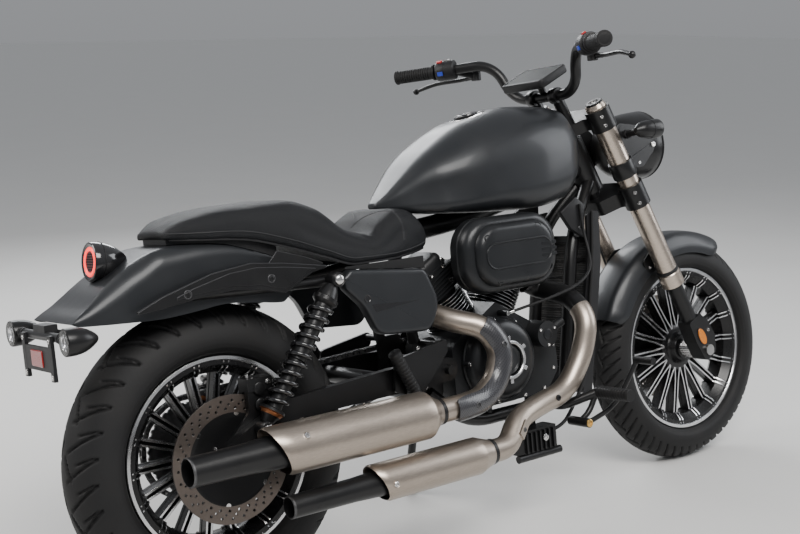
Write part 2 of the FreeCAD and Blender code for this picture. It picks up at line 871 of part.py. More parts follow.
def front_indicators():
    """Bullet indicators facing forward, on stalks from the lamp plates."""
    radius = s.indicator_radius
    centre = Vector(1232, -165, 893)
    bullet = turned("indicator_bullet", [
        (-78, 0), (-78, 6), (-62, 18), (-40, radius - 2), (-14, radius), (0, radius), dome(0, radius, 5),
    ], "X", Placement(centre, Rotation()))
    stalk = rod("indicator_stalk", Vector(1198, -(s.headlamp_radius + 5.8 + s.seat_gap), 886),
                centre + Vector(-45, 0, 0), "indicator_radius - 15")
    return pair("front_indicators", fuse("front_indicator", [bullet, stalk]))


def arc_points(radius, degrees):
    """A point (x, z) on a circle about the front axle, in the cycle's axes."""
    angle = math.radians(degrees)
    return FRONT_AXLE.x + radius * math.cos(angle), FRONT_AXLE.z + radius * math.sin(angle)


def front_fender():
    """A curved shell over the front tyre, held by a bridge between the legs."""
    outer = s.front_fender_radius
    half = s.front_fender_half
    wall = s.fender_wall
    skirt = outer - 60
    body = turned("front_fender_shell", [
        (-half, skirt), (-half, outer - 34), (-half + 8, outer - 10, -half + 34, outer - 2),
        (0, outer, half - 34, outer - 2), (half - 8, outer - 10, half, outer - 34), (half, skirt),
        (half - wall, skirt), (half - wall, outer - 34),
        (half - wall - 7, outer - 14, half - 34, outer - 2 - wall),
        (0, outer - wall, -half + 34, outer - 2 - wall),
        (-half + wall + 7, outer - 14, -half + wall, outer - 34), (-half + wall, skirt),
    ], angle=96)
    body.Placement = Placement(FRONT_AXLE, Rotation(Y_AXIS, -68))
    bosses = [
        rod(f"fender_boss_{side + 1}", fork_place(288, 0, side * (half - wall)),
            fork_place(288, 0, side * (s.leg_spacing / 2 - s.fork_tube_radius - s.seat_gap)), "rail_radius")
        for side in (-1, 1)
    ]
    return fuse("front_fender", [body] + bosses)


FRONT_CALIPER = Vector(-86, 58, 104)
CALIPER_HALF = 36


def front_caliper():
    """Two-piston caliper behind the left leg, astride the disc."""
    low = FRONT_CALIPER + Vector(-22, -21, -CALIPER_HALF)
    high = FRONT_CALIPER + Vector(22, 27, CALIPER_HALF)
    body = block("caliper_body", low, high)
    arm = block("caliper_arm", Vector(-66, 72, 70), Vector(-26, 84, 96))
    slot = rod("caliper_slot", Vector(0, s.front_disc_plane - 5, 0), Vector(0, s.front_disc_plane + 5, 0),
               "front_disc_radius + 4")
    return cut("front_caliper", fuse("caliper_whole", [body, arm]), [slot])


def steering_axis():
    """A point on the steering axis and its upward direction."""
    point = fork_place(0, -s.steer_offset, 0)
    return point, (fork_place(100, -s.steer_offset, 0) - point).normalize()


def down_tube_line(side):
    """A down tube's route from the head, down behind the radiator and back along the cradle."""
    head_low = fork_place(s.head_tube_low, -s.steer_offset, 0)
    return [
        head_low + Vector(-12, side * 12, 34),
        Vector(1012, side * s.down_tube_side, 655),
        Vector(955, side * s.down_tube_side, 330),
        Vector(925, side * s.cradle_side, s.cradle_height),
        Vector(620, side * s.cradle_side, s.cradle_height),
        Vector(520, side * s.pivot_plate_side, 345),
    ]


KNOT = Vector(462, 0, 700)
REGULATOR = Vector(776, -122, 194)


def regulator():
    """Finned regulator hung from the right cradle tube, with a guard bar below it."""
    base = REGULATOR
    parts = [
        block("regulator_case", base - Vector(52, 22, 32), base + Vector(52, 22, 28)),
        block("regulator_hanger", base + Vector(-22, 14, 10), base + Vector(22, 40, s.cradle_height - base.z)),
        rod("regulator_guard", base + Vector(-70, -20, -34), base + Vector(62, -20, -34), "rail_radius - 2"),
    ]
    for index in range(7):
        left = -46 + index * 14
        parts.append(block(f"regulator_fin_{index}", base + Vector(left, -28, -24), base + Vector(left + 4, -20, 22)))
    return parts


def frame():
    """Tube frame: head tube, backbone, down tubes, cradle, pivot plates and seat rails."""
    head_low = fork_place(s.head_tube_low, -s.steer_offset, 0)
    head_high = fork_place(s.head_tube_low + s.head_tube_length, -s.steer_offset, 0)
    head_middle = (head_low + head_high) * 0.5
    parts = [
        rod("head_tube", head_low, head_high, "head_tube_radius"),
        tube("backbone", [head_middle, Vector(720, 0, 722), KNOT], "backbone_radius"),
        rod("seat_cross", Vector(KNOT.x, -s.pivot_plate_side, KNOT.z), Vector(KNOT.x, s.pivot_plate_side, KNOT.z),
            "down_tube_radius"),
        rod("pivot_cross", Vector(505, -s.pivot_plate_side, 345), Vector(505, s.pivot_plate_side, 345),
            "down_tube_radius"),
    ]
    for side, word in ((-1, "right"), (1, "left")):
        plate = side * s.pivot_plate_side
        parts += [
            tube("down_tube_" + word, down_tube_line(side), "down_tube_radius"),
            slab("pivot_plate_" + word, rounded((
                (480, 330, 12), (560, 330, 12), (568, 402, 20), (548, 470, 12), (486, 470, 12), (486, 402, 20),
            )), "pivot_plate_wall", Vector(0, plate, 0)),
            rod("seat_tube_" + word, Vector(495, plate, 465), Vector(KNOT.x, plate, KNOT.z), "down_tube_radius - 3"),
            tube("seat_rail_" + word, [
                Vector(468, plate, 650),
                Vector(350, side * s.rail_side, 632),
                Vector(-90, side * s.rail_side, 650),
            ], "rail_radius"),
            rod("pillion_lug_" + word, Vector(PILLION_LUG.x, plate, PILLION_LUG.z),
                Vector(PILLION_LUG.x, side * (PILLION_SIDE - 4 - s.seat_gap), PILLION_LUG.z), "rail_radius - 3"),
            rod("shock_pin_" + word, Vector(250, side * s.rail_side, 641),
                Vector(250, side * (s.shock_side + 18), 641), "rail_radius - 4"),
        ]
    hinge = stand_hinge()[0]
    parts += regulator()
    parts.append(rod("stand_lug", STAND_PIVOT - hinge * 28, STAND_PIVOT - hinge * s.seat_gap, "stand_radius + 2"))
    across = Vector(0, 200, 0)
    tools = [
        rod("head_bore", head_low - (head_high - head_low), head_high + (head_high - head_low),
            "stem_radius + running_gap"),
        rod("pivot_bore", PIVOT - across, PIVOT + across, "rail_radius * 2 + seat_gap"),
    ]
    return cut("frame", fuse("frame_tubes", parts), tools)


def swingarm():
    """Twin arms on a pivot tube, with a brace ahead of the tyre."""
    outline = rounded((
        (PIVOT.x + 26, PIVOT.z + 26, 24),
        (380, 430, 40),
        (112, 413, 50),
        (-34, REAR_AXLE.z + 34, 22),
        (-34, REAR_AXLE.z - 26, 22),
        (16, REAR_AXLE.z - 26, 30),
        (128, 370, 50),
        (400, 374, 60),
        (PIVOT.x + 26, PIVOT.z - 26, 24),
    ))
    parts = [
        rod("pivot_tube", Vector(PIVOT.x, -s.arm_side, PIVOT.z), Vector(PIVOT.x, s.arm_side, PIVOT.z),
            "rail_radius * 2"),
        rod("pivot_bolt", Vector(PIVOT.x, -s.arm_side - 24, PIVOT.z), Vector(PIVOT.x, s.arm_side + 24, PIVOT.z),
            "rail_radius"),
        rod("arm_brace", Vector(372, -s.arm_side, 402), Vector(372, s.arm_side, 402), "arm_height / 2 - 3"),
    ]
    for side, word in ((-1, "right"), (1, "left")):
        arm = slab("arm_" + word, outline, "arm_width", Vector(0, side * s.arm_side, 0),
                   ((REAR_AXLE.x, REAR_AXLE.z, s.rear_axle_radius + s.seat_gap / 2),))
        pin = rod("shock_foot_pin_" + word, Vector(50, side * s.arm_side, 370),
                  Vector(50, side * (s.shock_side + 16), 370), "rail_radius - 4")
        parts += [arm, pin]
    return fuse("swingarm", parts)


def rear_axle():
    """Rear axle with its heads and the two spacers beside the hub."""
    outer = s.arm_side + s.arm_width / 2 + s.seat_gap
    inner = s.arm_side - s.arm_width / 2 - s.seat_gap
    hub = s.rear_hub_half + 0.5
    along = lambda y: REAR_AXLE + Vector(0, y, 0)
    return fuse("rear_axle", [
        rod("rear_axle_bar", along(-outer - 10), along(outer + 10), "rear_axle_radius"),
        rod("rear_axle_head_right", along(-outer - 8), along(-outer), "rear_axle_radius + 7"),
        rod("rear_axle_head_left", along(outer), along(outer + 8), "rear_axle_radius + 7"),
        rod("rear_spacer_right", along(-inner + s.caliper_bracket_wall + s.seat_gap), along(-hub), "rear_axle_radius + 8"),
        rod("rear_spacer_left", along(hub), along(inner), "rear_axle_radius + 8"),
    ])


def rear_caliper():
    """Rear caliper astride the disc, on a bracket held by the axle."""
    inner = s.arm_side - s.arm_width / 2 - s.seat_gap
    middle = -(inner - s.caliper_bracket_wall / 2)
    bracket = slab("caliper_bracket", rounded((
        (-24, REAR_AXLE.z - 22, 18), (24, REAR_AXLE.z - 22, 18), (88, 400, 10), (88, 462, 10),
        (52, 470, 10), (40, 400, 20), (-24, REAR_AXLE.z + 26, 18),
    )), "rail_radius - 3", Vector(0, middle, 0), ((REAR_AXLE.x, REAR_AXLE.z, s.rear_axle_radius + s.seat_gap / 2),))
    body = block("rear_caliper_body", Vector(40, -118, 386), Vector(96, -78, 466))
    arm = block("rear_caliper_clear_arm", Vector(-60, -s.arm_side - 40, 300), Vector(140, -inner, 440))
    slot = rod("rear_caliper_slot", REAR_AXLE + Vector(0, -s.rear_disc_plane - 4.6, 0),
               REAR_AXLE + Vector(0, -s.rear_disc_plane + 4.6, 0), "rear_disc_radius + 4")
    return cut("rear_caliper", fuse("rear_caliper_whole", [bracket, body]), [slot, arm])


SHOCK_FOOT = Vector(50, 0, 370)
SHOCK_TOP = Vector(250, 0, 641)


def shocks():
    """Two coil-over shocks outside the frame rails, with an eye at each end."""
    length = (SHOCK_TOP - SHOCK_FOOT).Length
    radius = s.shock_coil_radius
    waist = radius - s.coil_wire_radius
    path = [(0, 8), (s.shock_body_radius - 5, 8), (s.shock_body_radius - 5, 62), (radius, 80), (radius, 88)]
    turns = 9
    low = 90
    pitch = (length - 62 - low) / turns
    for turn in range(turns):
        path += [(waist, low + pitch * turn), (radius, low + pitch * (turn + 0.5))]
    path += [(waist, low + pitch * turns), (radius - 1, length - 60), (radius - 1, length - 34)]
    path += [(s.shock_body_radius - 4, length - 28), (s.shock_body_radius - 4, length - 8), (0, length - 8)]
    tilt = Rotation(Vector(0, 0, 1), SHOCK_TOP - SHOCK_FOOT)
    spot = Vector(0, -s.shock_side, 0)
    body = turned("shock_body", path, "Z", Placement(SHOCK_FOOT + spot, tilt))
    parts = [body]
    tools = []
    for word, eye in (("foot", SHOCK_FOOT), ("top", SHOCK_TOP)):
        centre = eye + spot
        half = Vector(0, 11, 0)
        parts.append(rod("shock_eye_" + word, centre - half, centre + half, "shock_body_radius - 3"))
        tools.append(rod("shock_bore_" + word, centre - half * 2, centre + half * 2, "rail_radius - 4 + seat_gap / 2"))
    return pair("shocks", cut("shock", fuse("shock_whole", parts), tools))


def cylinder_place(side):
    """The frame of a cylinder: origin at the crank, Z up its bore."""
    return Placement(CRANK, Rotation(Y_AXIS, side * s.vee_half_angle))


CASE_TOP = 114
HEAD_HALF = 52
SPROCKET_FRONT = Vector(612, 0, 406)


def engine_case():
    """Crankcase with a seat for each cylinder, and the pump on its right."""
    seats = []
    for side in (-1, 1):
        place = cylinder_place(side)
        outer = place.multVec(Vector(side * 66, 0, CASE_TOP))
        seats.append((outer.x, outer.z))
    valley = cylinder_place(1).multVec(Vector(-66, 0, CASE_TOP))
    outline = rounded((
        (576, 318, 30), (620, 290, 30), (850, 290, 40), (892, 340, 30), (888, 420, 30),
        (seats[1][0], seats[1][1], 4), (CRANK.x, valley.z, 2), (seats[0][0], seats[0][1], 4), (574, 440, 20),
    ))
    body = slab("case_block", outline, "case_half_width * 2")
    pump = Vector(826, -s.case_half_width, 436)
    parts = [
        body,
        rod("pump_body", pump + Vector(0, 10, 0), pump + Vector(0, -46, 0), "shock_coil_radius + 4"),
        rod("pump_spout", pump + Vector(0, -30, 0), pump + Vector(58, -34, 22), "rail_radius"),
    ]
    room = s.drive_sprocket_radius + s.chain_height + s.chain_clearance
    inner = Vector(SPROCKET_FRONT.x, s.sprocket_plane - s.chain_width, SPROCKET_FRONT.z)
    outer = Vector(inner.x, s.case_half_width, inner.z)
    tools = [
        rod("sprocket_room", inner, outer + Vector(0, 20, 0),
            "drive_sprocket_radius + chain_height + chain_clearance"),
        block("chain_room", inner - Vector(80, 0, room + 40), inner + Vector(0, 40, room)),
    ]
    driver = rod("driving_sprocket", inner - Vector(0, 4, 0), outer, "drive_sprocket_radius - 1")
    lugs = []
    rooms = []
    for side in (-1, 1):
        rooms.append(tube(f"cradle_room_{side + 1}", down_tube_line(side), "down_tube_radius + seat_gap"))
        for forward in (680, 810):
            top = Vector(forward, side * s.cradle_side, 300)
            lugs.append(rod(f"engine_lug_{side + 1}_{forward}", top, Vector(top.x, top.y, s.cradle_height),
                            "rail_radius"))
    case = cut("case_with_room", fuse("case_and_pump", parts), tools)
    return fuse("engine_case", [case, driver, cut("engine_lugs", group("engine_lug_rods", lugs), rooms)])


def cylinders():
    """Two finned cylinders with square heads, leaning forward and back in a vee."""
    barrels = []
    for side, word in ((-1, "rear"), (1, "front")):
        base = CASE_TOP + s.seat_gap
        parts = [rod("barrel_" + word, Vector(0, 0, base), Vector(0, 0, 200), "barrel_radius - 4")]
        for fin in range(int(s.fin_count)):
            low = base + 6 + fin * 10.5
            parts.append(rod(
                f"fin_{word}_{fin}", Vector(0, 0, low), Vector(0, 0, low + s.fin_wall), "barrel_radius + fin_reach - 4",
            ))
        parts.append(block("head_" + word, Vector(-HEAD_HALF, -62, 196), Vector(HEAD_HALF, 62, 254)))
        parts.append(block("rocker_" + word, Vector(-38, -50, 254), Vector(38, 50, 284)))
        whole = fuse("cylinder_" + word, parts)
        whole.Placement = cylinder_place(side)
        barrels.append(whole)
    return group("cylinders", barrels)


CLUTCH_ARM = Vector(722, -125, 500)


def right_cover():
    """Clutch cover with a bright lugged ring round a plain cap."""
    face = -s.case_half_width - s.seat_gap
    depth = face - s.clutch_cover_depth
    radius = s.clutch_cover_radius
    centre = Vector(694, 0, 398)
    dish = turned("clutch_dish", [
        (face, 0), (face, radius), (depth + 18, radius), (depth + 4, radius - 6, depth, radius - 20), (depth, 0),
    ], "Y", Placement(centre, Rotation()))
    ring = turned("cover_ring", [
        (depth + 2, s.ring_radius - s.ring_wall), (depth + 2, s.ring_radius), (depth - 13, s.ring_radius),
        (depth - 13, s.ring_radius - s.ring_wall),
    ], "Y", Placement(centre, Rotation()))
    parts = [dish, ring]
    for index in range(6):
        angle = math.radians(60 * index + 30)
        spot = centre + Vector(math.cos(angle), 0, math.sin(angle)) * (s.ring_radius + 4)
        parts.append(rod(f"ring_lug_{index}", spot + Vector(0, depth - 10, 0), spot + Vector(0, depth + 2, 0),
                         "fin_wall + 2"))
    cap = rod("cover_cap", centre + Vector(0, depth + 2, 0), centre + Vector(0, depth - 6, 0),
              "ring_radius - ring_wall")
    parts.append(cap)
    parts.append(rod("clutch_arm_boss", CLUTCH_ARM - Vector(0, 0, 24), CLUTCH_ARM + Vector(0, 0, 8), "clutch_arm_radius"))
    return fuse("right_cover", parts)


def left_cover():
    """Generator cover and the cover over the driving sprocket."""
    face = s.case_half_width + s.seat_gap
    radius = s.clutch_cover_radius - 12
    centre = Vector(720, 0, 392)
    dish = turned("generator_dish", [
        (face, 0), (face, radius), (face + 28, radius), (face + 38, radius - 6, face + 42, radius - 20),
        (face + 42, 0),
    ], "Y", Placement(centre, Rotation()))
    case = slab("sprocket_cover", rounded((
        (640, 330, 12), (640, 455, 12), (590, 468, 25), (568, 440, 20), (572, 345, 25), (600, 325, 20),
    )), "rail_radius * 2", Vector(0, face + s.rail_radius, 0))
    return fuse("left_cover", [dish, case])


def air_cleaner():
    """Large rounded housing on the right of the vee, its face stepped and slotted."""
    length = s.air_cleaner_length / 2
    height = s.air_cleaner_height / 2
    centre = Vector(723, 0, 641)
    inner = -s.air_cleaner_side
    step = s.air_cleaner_depth * 0.77

    def plate(name, half_length, half_height, radius, start, depth):
        outline = rounded((
            (centre.x - half_length, centre.z - half_height, radius),
            (centre.x + half_length, centre.z - half_height, radius),
            (centre.x + half_length, centre.z + half_height, radius),
            (centre.x - half_length, centre.z + half_height, radius),
        ))
        return slab(name, outline, depth, Vector(0, start, 0))

    base = plate("cleaner_base", length, height, height * 0.82, inner - step / 2, "air_cleaner_depth * 0.77")
    face = plate("cleaner_face", length - 24, height - 15, height * 0.68,
                 inner - s.air_cleaner_depth / 2, "air_cleaner_depth")
    slot = plate("cleaner_slot", 94, 26, 24, inner - s.air_cleaner_depth, "rail_radius - 3")
    junction = Vector(CRANK.x, -40, 655)
    parts = [base, face, rod("cleaner_neck", Vector(CRANK.x, inner, 655), junction, "backbone_radius - 3")]
    for side in (-1, 1):
        port = cylinder_place(side).multVec(Vector(-side * (HEAD_HALF + s.seat_gap), -40, 225))
        parts.append(rod(f"intake_{side + 1}", port, junction, "backbone_radius - 7"))
    return cut("air_cleaner", fuse("cleaner_whole", parts), [slot])


UPPER_MUFFLER = 335
LOWER_MUFFLER = 220


def exhaust_port(side):
    """The middle of a head's outer face, a seat's gap off it, and the way out of the port."""
    place = cylinder_place(side)
    port = place.multVec(Vector(side * (HEAD_HALF + s.seat_gap), -34, 215))
    return port, place.Rotation.multVec(Vector(side, 0, 0))


def rear_pipe_line():
    """The rear pipe's route from its head to the upper muffler."""
    port, outward = exhaust_port(-1)
    return [
        port, port + outward * 34, Vector(548, -118, 512), Vector(612, -176, 488), Vector(640, -190, 432),
        Vector(616, -193, 368), Vector(560, -203, 337), Vector(500, -s.muffler_side, UPPER_MUFFLER),
        Vector(430 + s.seat_gap, -s.muffler_side, UPPER_MUFFLER),
    ]


def exhaust_pipes():
    """Front and rear pipes, each a bent tube from its head to its muffler."""
    port, outward = exhaust_port(1)
    front = tube("front_pipe", [
        port, port + outward * 46, Vector(930, -122, 512), Vector(926, -178, 460), Vector(903, -178, 383),
        Vector(838, -178, 302), Vector(742, -180, 285), Vector(672, -192, 270),
        Vector(615, -s.muffler_side, LOWER_MUFFLER), Vector(560 + s.seat_gap, -s.muffler_side, LOWER_MUFFLER),
    ], "pipe_radius")
    rear = tube("rear_pipe", rear_pipe_line(), "pipe_radius")
    return group("exhaust_pipes", [front, rear])


def mufflers():
    """Two straight mufflers, the upper longer, each a cover over a dark core with an open tip."""
    parts = []
    for word, radius, height, front, back, tip in (
        ("upper", s.upper_muffler_radius, UPPER_MUFFLER, 430, 8, -154),
        ("lower", s.lower_muffler_radius, LOWER_MUFFLER, 560, 240, 50),
    ):
        line = Placement(Vector(0, -s.muffler_side, height), Rotation())
        throat = s.pipe_radius + 3
        end = radius * 0.56
        shell = turned(word + "_shell", [
            (front, 0), (front, throat), (front - 36, radius), (back, radius), (back, 0),
        ], "X", line)
        core = turned(word + "_core", [
            (back + 80, 0), (back + 80, radius * 0.72), (tip, end), (tip, end - 3), (tip + 90, end + 1), (tip + 90, 0),
        ], "X", line)
        wedge = block(word + "_wedge", Vector(-200, -80, -160), Vector(0, 80, 160))
        wedge.Placement = Placement(
            Vector(back, -s.muffler_side, height + radius), Rotation(Y_AXIS, -24)
        ).multiply(wedge.Placement)
        parts.append(fuse(word + "_muffler", [cut(word + "_cover", shell, [wedge]), core]))
    return group("mufflers", parts)


def heat_shield():
    """Outer half-sleeve over the bend of the rear pipe."""
    outer = tube("shield_outer", rear_pipe_line(), "pipe_radius + 6")
    inner = tube("shield_inner", rear_pipe_line(), "pipe_radius + seat_gap")
    keep = block("shield_length", Vector(490, -300, 200), Vector(760, -194, 494))
    part = doc.addObject("Part::Common", "shield_part")
    part.Base = outer
    part.Tool = keep
    return cut("heat_shield", part, [inner])


def radiator_place():
    """The frame of the radiator core: middle of its height, leaning with the down tubes."""
    return Placement(Vector(1030, 0, 480), Rotation(Y_AXIS, 9.5))


def radiator():
    """Radiator core between its side panels."""
    core = block(
        "radiator_core", Vector(-s.radiator_depth / 2, -s.radiator_width / 2, -165),
        Vector(s.radiator_depth / 2, s.radiator_width / 2, 165),
    )
    core.Placement = radiator_place().multiply(core.Placement)
    parts = [core]
    tools = []
    for side in (-1, 1):
        tools.append(tube(f"radiator_tube_room_{side + 1}", down_tube_line(side), "down_tube_radius + seat_gap"))
        for height, back, front in ((400, 985, 1015), (585, 1010, 1045)):
            parts.append(rod(f"radiator_lug_{side + 1}_{height}", Vector(back, side * s.down_tube_side, height),
                             Vector(front, side * s.down_tube_side, height), "rail_radius - 4"))
    return cut("radiator", fuse("radiator_whole", parts), tools)


def radiator_shroud():
    """Panels at both sides of the radiator with a bar above and below."""
    width = s.radiator_width + 16
    body = doc.addObject("PartDesign::Body", "shroud_block")
    outline = rounded((
        (1078, 706, 10), (1072, 580, 60), (1047, 458, 60), (1004, 256, 10), (976, 262, 10), (996, 440, 60),
        (1030, 600, 60), (1036, 700, 10),
    ))
    pad = body.newObject("PartDesign::Pad", "shroud_pad")
    pad.Profile = new_sketch(body, "shroud_outline", "XZ_Plane", outline)
    pad.Midplane = True
    pad.Length = width
    hollow = block("shroud_hollow", Vector(-90, -s.radiator_width / 2 - s.seat_gap, -165 - s.seat_gap),
                   Vector(90, s.radiator_width / 2 + s.seat_gap, 300))
    hollow.Placement = radiator_place().multiply(hollow.Placement)
    return cut("radiator_shroud", body, [hollow])


STEERING_LOCK = 28
LOCK_CLEARANCE = 5
TANK = (
    # x, half width, low, high, low corner, high corner
    (462, 16, 770, 780, 3, 5),
    (485, 38, 762, 799, 10, 16),
    (520, 66, 753, 831, 20, 36),
    (560, 94, 748, 866, 26, 60),
    (600, 119, 744, 894, 30, 85),
    (720, 143, 736, 952, 48, 118),
    (850, 149, 731, 977, 60, 125),
    (950, 138, 740, 972, 66, 112),
    (1006, 112, 778, 960, 56, 84),
    (1022, 92, 800, 947, 44, 66),
)


FILLER = Vector(760, 0, 961)
FILLER_UP = Vector(-0.16, 0, 1).normalize()


def tank():
    """Teardrop fuel tank with a tunnel below for the backbone."""
    shell = section_loft("tank_shell", TANK)
    head_low = fork_place(s.head_tube_low, -s.steer_offset, 0)
    head_high = fork_place(s.head_tube_low + s.head_tube_length, -s.steer_offset, 0)
    head_middle = (head_low + head_high) * 0.5
    tunnel = tube("tank_tunnel", [head_middle, Vector(720, 0, 722), Vector(462, 0, 700)],
                  "backbone_radius + seat_gap")
    recess = rod("filler_recess", FILLER - FILLER_UP * 6, FILLER + FILLER_UP * 40, "filler_cap_radius + seat_gap * 2")
    axis_point, axis_up = steering_axis()
    swing = rod("tank_swing_room", axis_point + axis_up * (s.head_tube_low + 100), axis_point + axis_up * 900,
                "steer_offset * 2")
    reach = math.hypot(s.leg_spacing / 2, s.steer_offset) + s.fork_tube_radius + s.clamp_wall + LOCK_CLEARANCE
    turned_leg = math.atan2(s.leg_spacing / 2, s.steer_offset) + math.radians(STEERING_LOCK)
    edge = turned_leg + math.asin((s.fork_tube_radius + s.clamp_wall + LOCK_CLEARANCE * 2) / s.leg_spacing * 2)
    corner = reach * math.cos(edge), reach * math.sin(edge)
    lock = slab("tank_lock_room", [(0, 0), corner, (reach, 0, corner[0], -corner[1])], "head_tube_length + 60")
    across = Placement(Vector(-s.steer_offset, 0, s.top_clamp_low), Rotation(Vector(1, 0, 0), 90))
    lock.Placement = FORK.multiply(across).multiply(lock.Placement)
    return cut("tank", shell, [tunnel, recess, swing, lock])


def fuel_cap():
    """Round filler cap in a shallow recess, standing slightly proud of the tank."""
    return rod("fuel_cap", FILLER - FILLER_UP * (6 - s.seat_gap), FILLER + FILLER_UP * 8, "filler_cap_radius")


SEAT = (
    # x, half width, low, high, low corner, high corner
    (-84, 66, 757, 776, 4, 12),
    (-40, 96, 753, 800, 5, 26),
    (70, 110, 742, 815, 8, 36),
    (180, 120, 711, 816, 10, 40),
    (255, 124, 684, 791, 10, 44),
    (330, 126, 661, 737, 10, 30),
    (385, 125, 661, 722, 10, 26),
    (425, 120, 661, 752, 10, 30),
    (462, 114, 663, 772, 10, 36),
    (500, 106, 667, 768, 10, 42),
    (534, 94, 674, 744, 10, 34),
    (546, 84, 682, 718, 8, 16),
)


def seat():
    """Stepped two-person seat, hollow below for the frame and fender."""
    pad = section_loft("seat_pad", SEAT)
    middle = block("seat_hollow_middle", Vector(300, -86, 600), Vector(424, 86, 702))
    front = block("seat_hollow_front", Vector(424, -86, 600), Vector(528, 86, 736))
    backbone = tube("seat_backbone_room", [Vector(720, 0, 722), KNOT], "backbone_radius + seat_gap")
    gap = s.seat_gap
    nose = section_loft("seat_tank_room", [
        (x, half + gap, low - gap * 2, high + gap, low_corner, high_corner)
        for x, half, low, high, low_corner, high_corner in TANK[:7]
    ])
    base = block("seat_base", Vector(-50, -50, 715), Vector(90, 50, 760))
    foot = cut("seat_foot", base, [fender_cutter("seat_fender_room", s.seat_gap)])
    return cut("seat", fuse("seat_whole", [pad, foot]), [middle, front, backbone, nose])


FENDER_HALF = "( rail_side - rail_radius - seat_gap )"
fender_half = s.rail_side - s.rail_radius - s.seat_gap
FENDER_TOP = (
    (-297, 628, 4),
    (-262, 652, 40),
    (-190, 705, 90),
    (-100, 748, 90),
    (40, 739, 60),
    (150, 702, 40),
    (190, 640, 20),
    (150, 606, 10),
    (20, 622, 60),
    (-120, 611, 60),
    (-250, 618, 20),
)


FENDER_CROWN = (
    # x, top, corner radius
    (-300, 629, 4),
    (-262, 655, 24),
    (-226, 682, 38),
    (-190, 707, 46),
    (-145, 730, 46),
    (-100, 750, 44),
    (-30, 750, 36),
    (40, 743, 28),
    (100, 726, 20),
    (150, 708, 14),
    (195, 692, 12),
)


def common(name, base, tool):
    """What two shapes share."""
    item = doc.addObject("Part::Common", name)
    item.Base = base
    item.Tool = tool
    return item


def fender_crown(name, wall):
    """The crowned space that the fender keeps within, drawn in by a wall."""
    return section_loft(name, [
        (x, fender_half - wall, 500 - wall, top - wall, 1, max(radius - wall, 1)) for x, top, radius in FENDER_CROWN
    ])


def rear_fender():
    """Bobbed rear fender: a crowned top and flat sides, open below."""
    wall = s.fender_wall
    outer = common("fender_outer", slab("fender_block", rounded(FENDER_TOP), FENDER_HALF + " * 2"),
                   fender_crown("fender_outer_crown", 0))
    hollow = rounded((
        (-297 + 12, 590, 4), (-284, 632, 6), (-258, 648, 40), (-188, 705 - wall, 90), (-100, 748 - wall, 90),
        (38, 739 - wall, 60), (147, 702 - wall, 40), (184, 640, 20), (184, 590, 4),
    ))
    inner = common("fender_inner", slab("fender_inside", hollow, FENDER_HALF + " * 2 - fender_wall * 2"),
                   fender_crown("fender_inner_crown", wall))
    return cut("rear_fender", outer, [inner])


def fender_hollow_block(name):
    """The space inside the fender's tip, kept clear of the bracket below it."""
    return block(name, Vector(-284, -fender_half, 612), Vector(-240, fender_half, 660))


def fender_struts():
    """Flat covers over the seat rails, with a raised plate behind each."""
    side = -(s.rail_side + s.rail_radius + s.seat_gap + 4)
    cover = slab("strut_cover", rounded((
        (-193, 628, 3), (-126, 656, 30), (-18, 687, 30), (70, 697, 30), (146, 688, 30), (262, 668, 3),
        (210, 660, 8), (143, 627, 8), (82, 642, 20), (20, 648, 30), (-55, 642, 20), (-136, 631, 20),
    )), "rail_radius - 3", Vector(0, side, 0))
    plate = slab("strut_plate", rounded((
        (108, 688, 3), (132, 714, 5), (193, 696, 30), (256, 671, 3), (150, 680, 10),
    )), "fender_wall", Vector(0, side + 2, 0))
    return pair("fender_struts", fuse("strut_cover_right", [cover, plate]))


def side_covers():
    """Rounded side panels below the seat."""
    cover = slab("side_cover", rounded((
        (272, 640, 8), (292, 655, 12), (485, 634, 22), (520, 556, 70), (488, 497, 32), (350, 508, 34),
        (318, 574, 70), (276, 616, 12),
    )), "side_cover_depth", Vector(0, -s.shock_side + 13, 0))
    stay = rod("side_cover_stay", Vector(474, -s.shock_side + 20, 560),
               Vector(474, -s.pivot_plate_side - s.down_tube_radius + 3 - s.seat_gap, 560), "rail_radius - 4")
    return pair("side_covers", fuse("side_cover_right", [cover, stay]))


def neck_covers():
    """Small panels beside the steering head, between tank and radiator."""
    cover = slab("neck_cover", rounded((
        (952, 712, 5), (1008, 746, 8), (1034, 724, 6), (1029, 640, 6), (984, 668, 8),
    )), "rail_radius + 2", Vector(0, -83.2, 0))
    stay = rod("neck_stay", Vector(1014, -80, 652), Vector(1014, -s.down_tube_side, 652), "rail_radius - 4")
    room = tube("neck_tube_room", down_tube_line(-1), "down_tube_radius + seat_gap")
    return pair("neck_covers", cut("neck_cover_right", fuse("neck_cover_whole", [cover, stay]), [room]))


def tail_lamp():
    """Bullet tail lamp on a short foot above the fender."""
    radius = s.tail_lamp_radius
    centre = Vector(-212, 0, 732)
    bullet = turned("tail_bullet", [
        (0, 0), (0, radius - 4), (4, radius), (16, radius), (38, radius - 4), (58, radius - 14),
        dome(58, radius - 14, 82),
    ], "X", Placement(centre, Rotation(Y_AXIS, 6)))
    foot = block("tail_foot", Vector(-196, -14, 690), Vector(-150, 14, 725))
    return cut("tail_lamp", fuse("tail_lamp_whole", [bullet, foot]), [fender_cutter("tail_lamp_clear", s.seat_gap)])


def fender_cutter(name, gap):
    """The fender's outer form, raised or lowered by a gap, to trim what stands on it or hangs below."""
    grown = [(u, v + gap, radius) for u, v, radius in FENDER_TOP]
    return slab(name, rounded(grown), FENDER_HALF + " * 2")


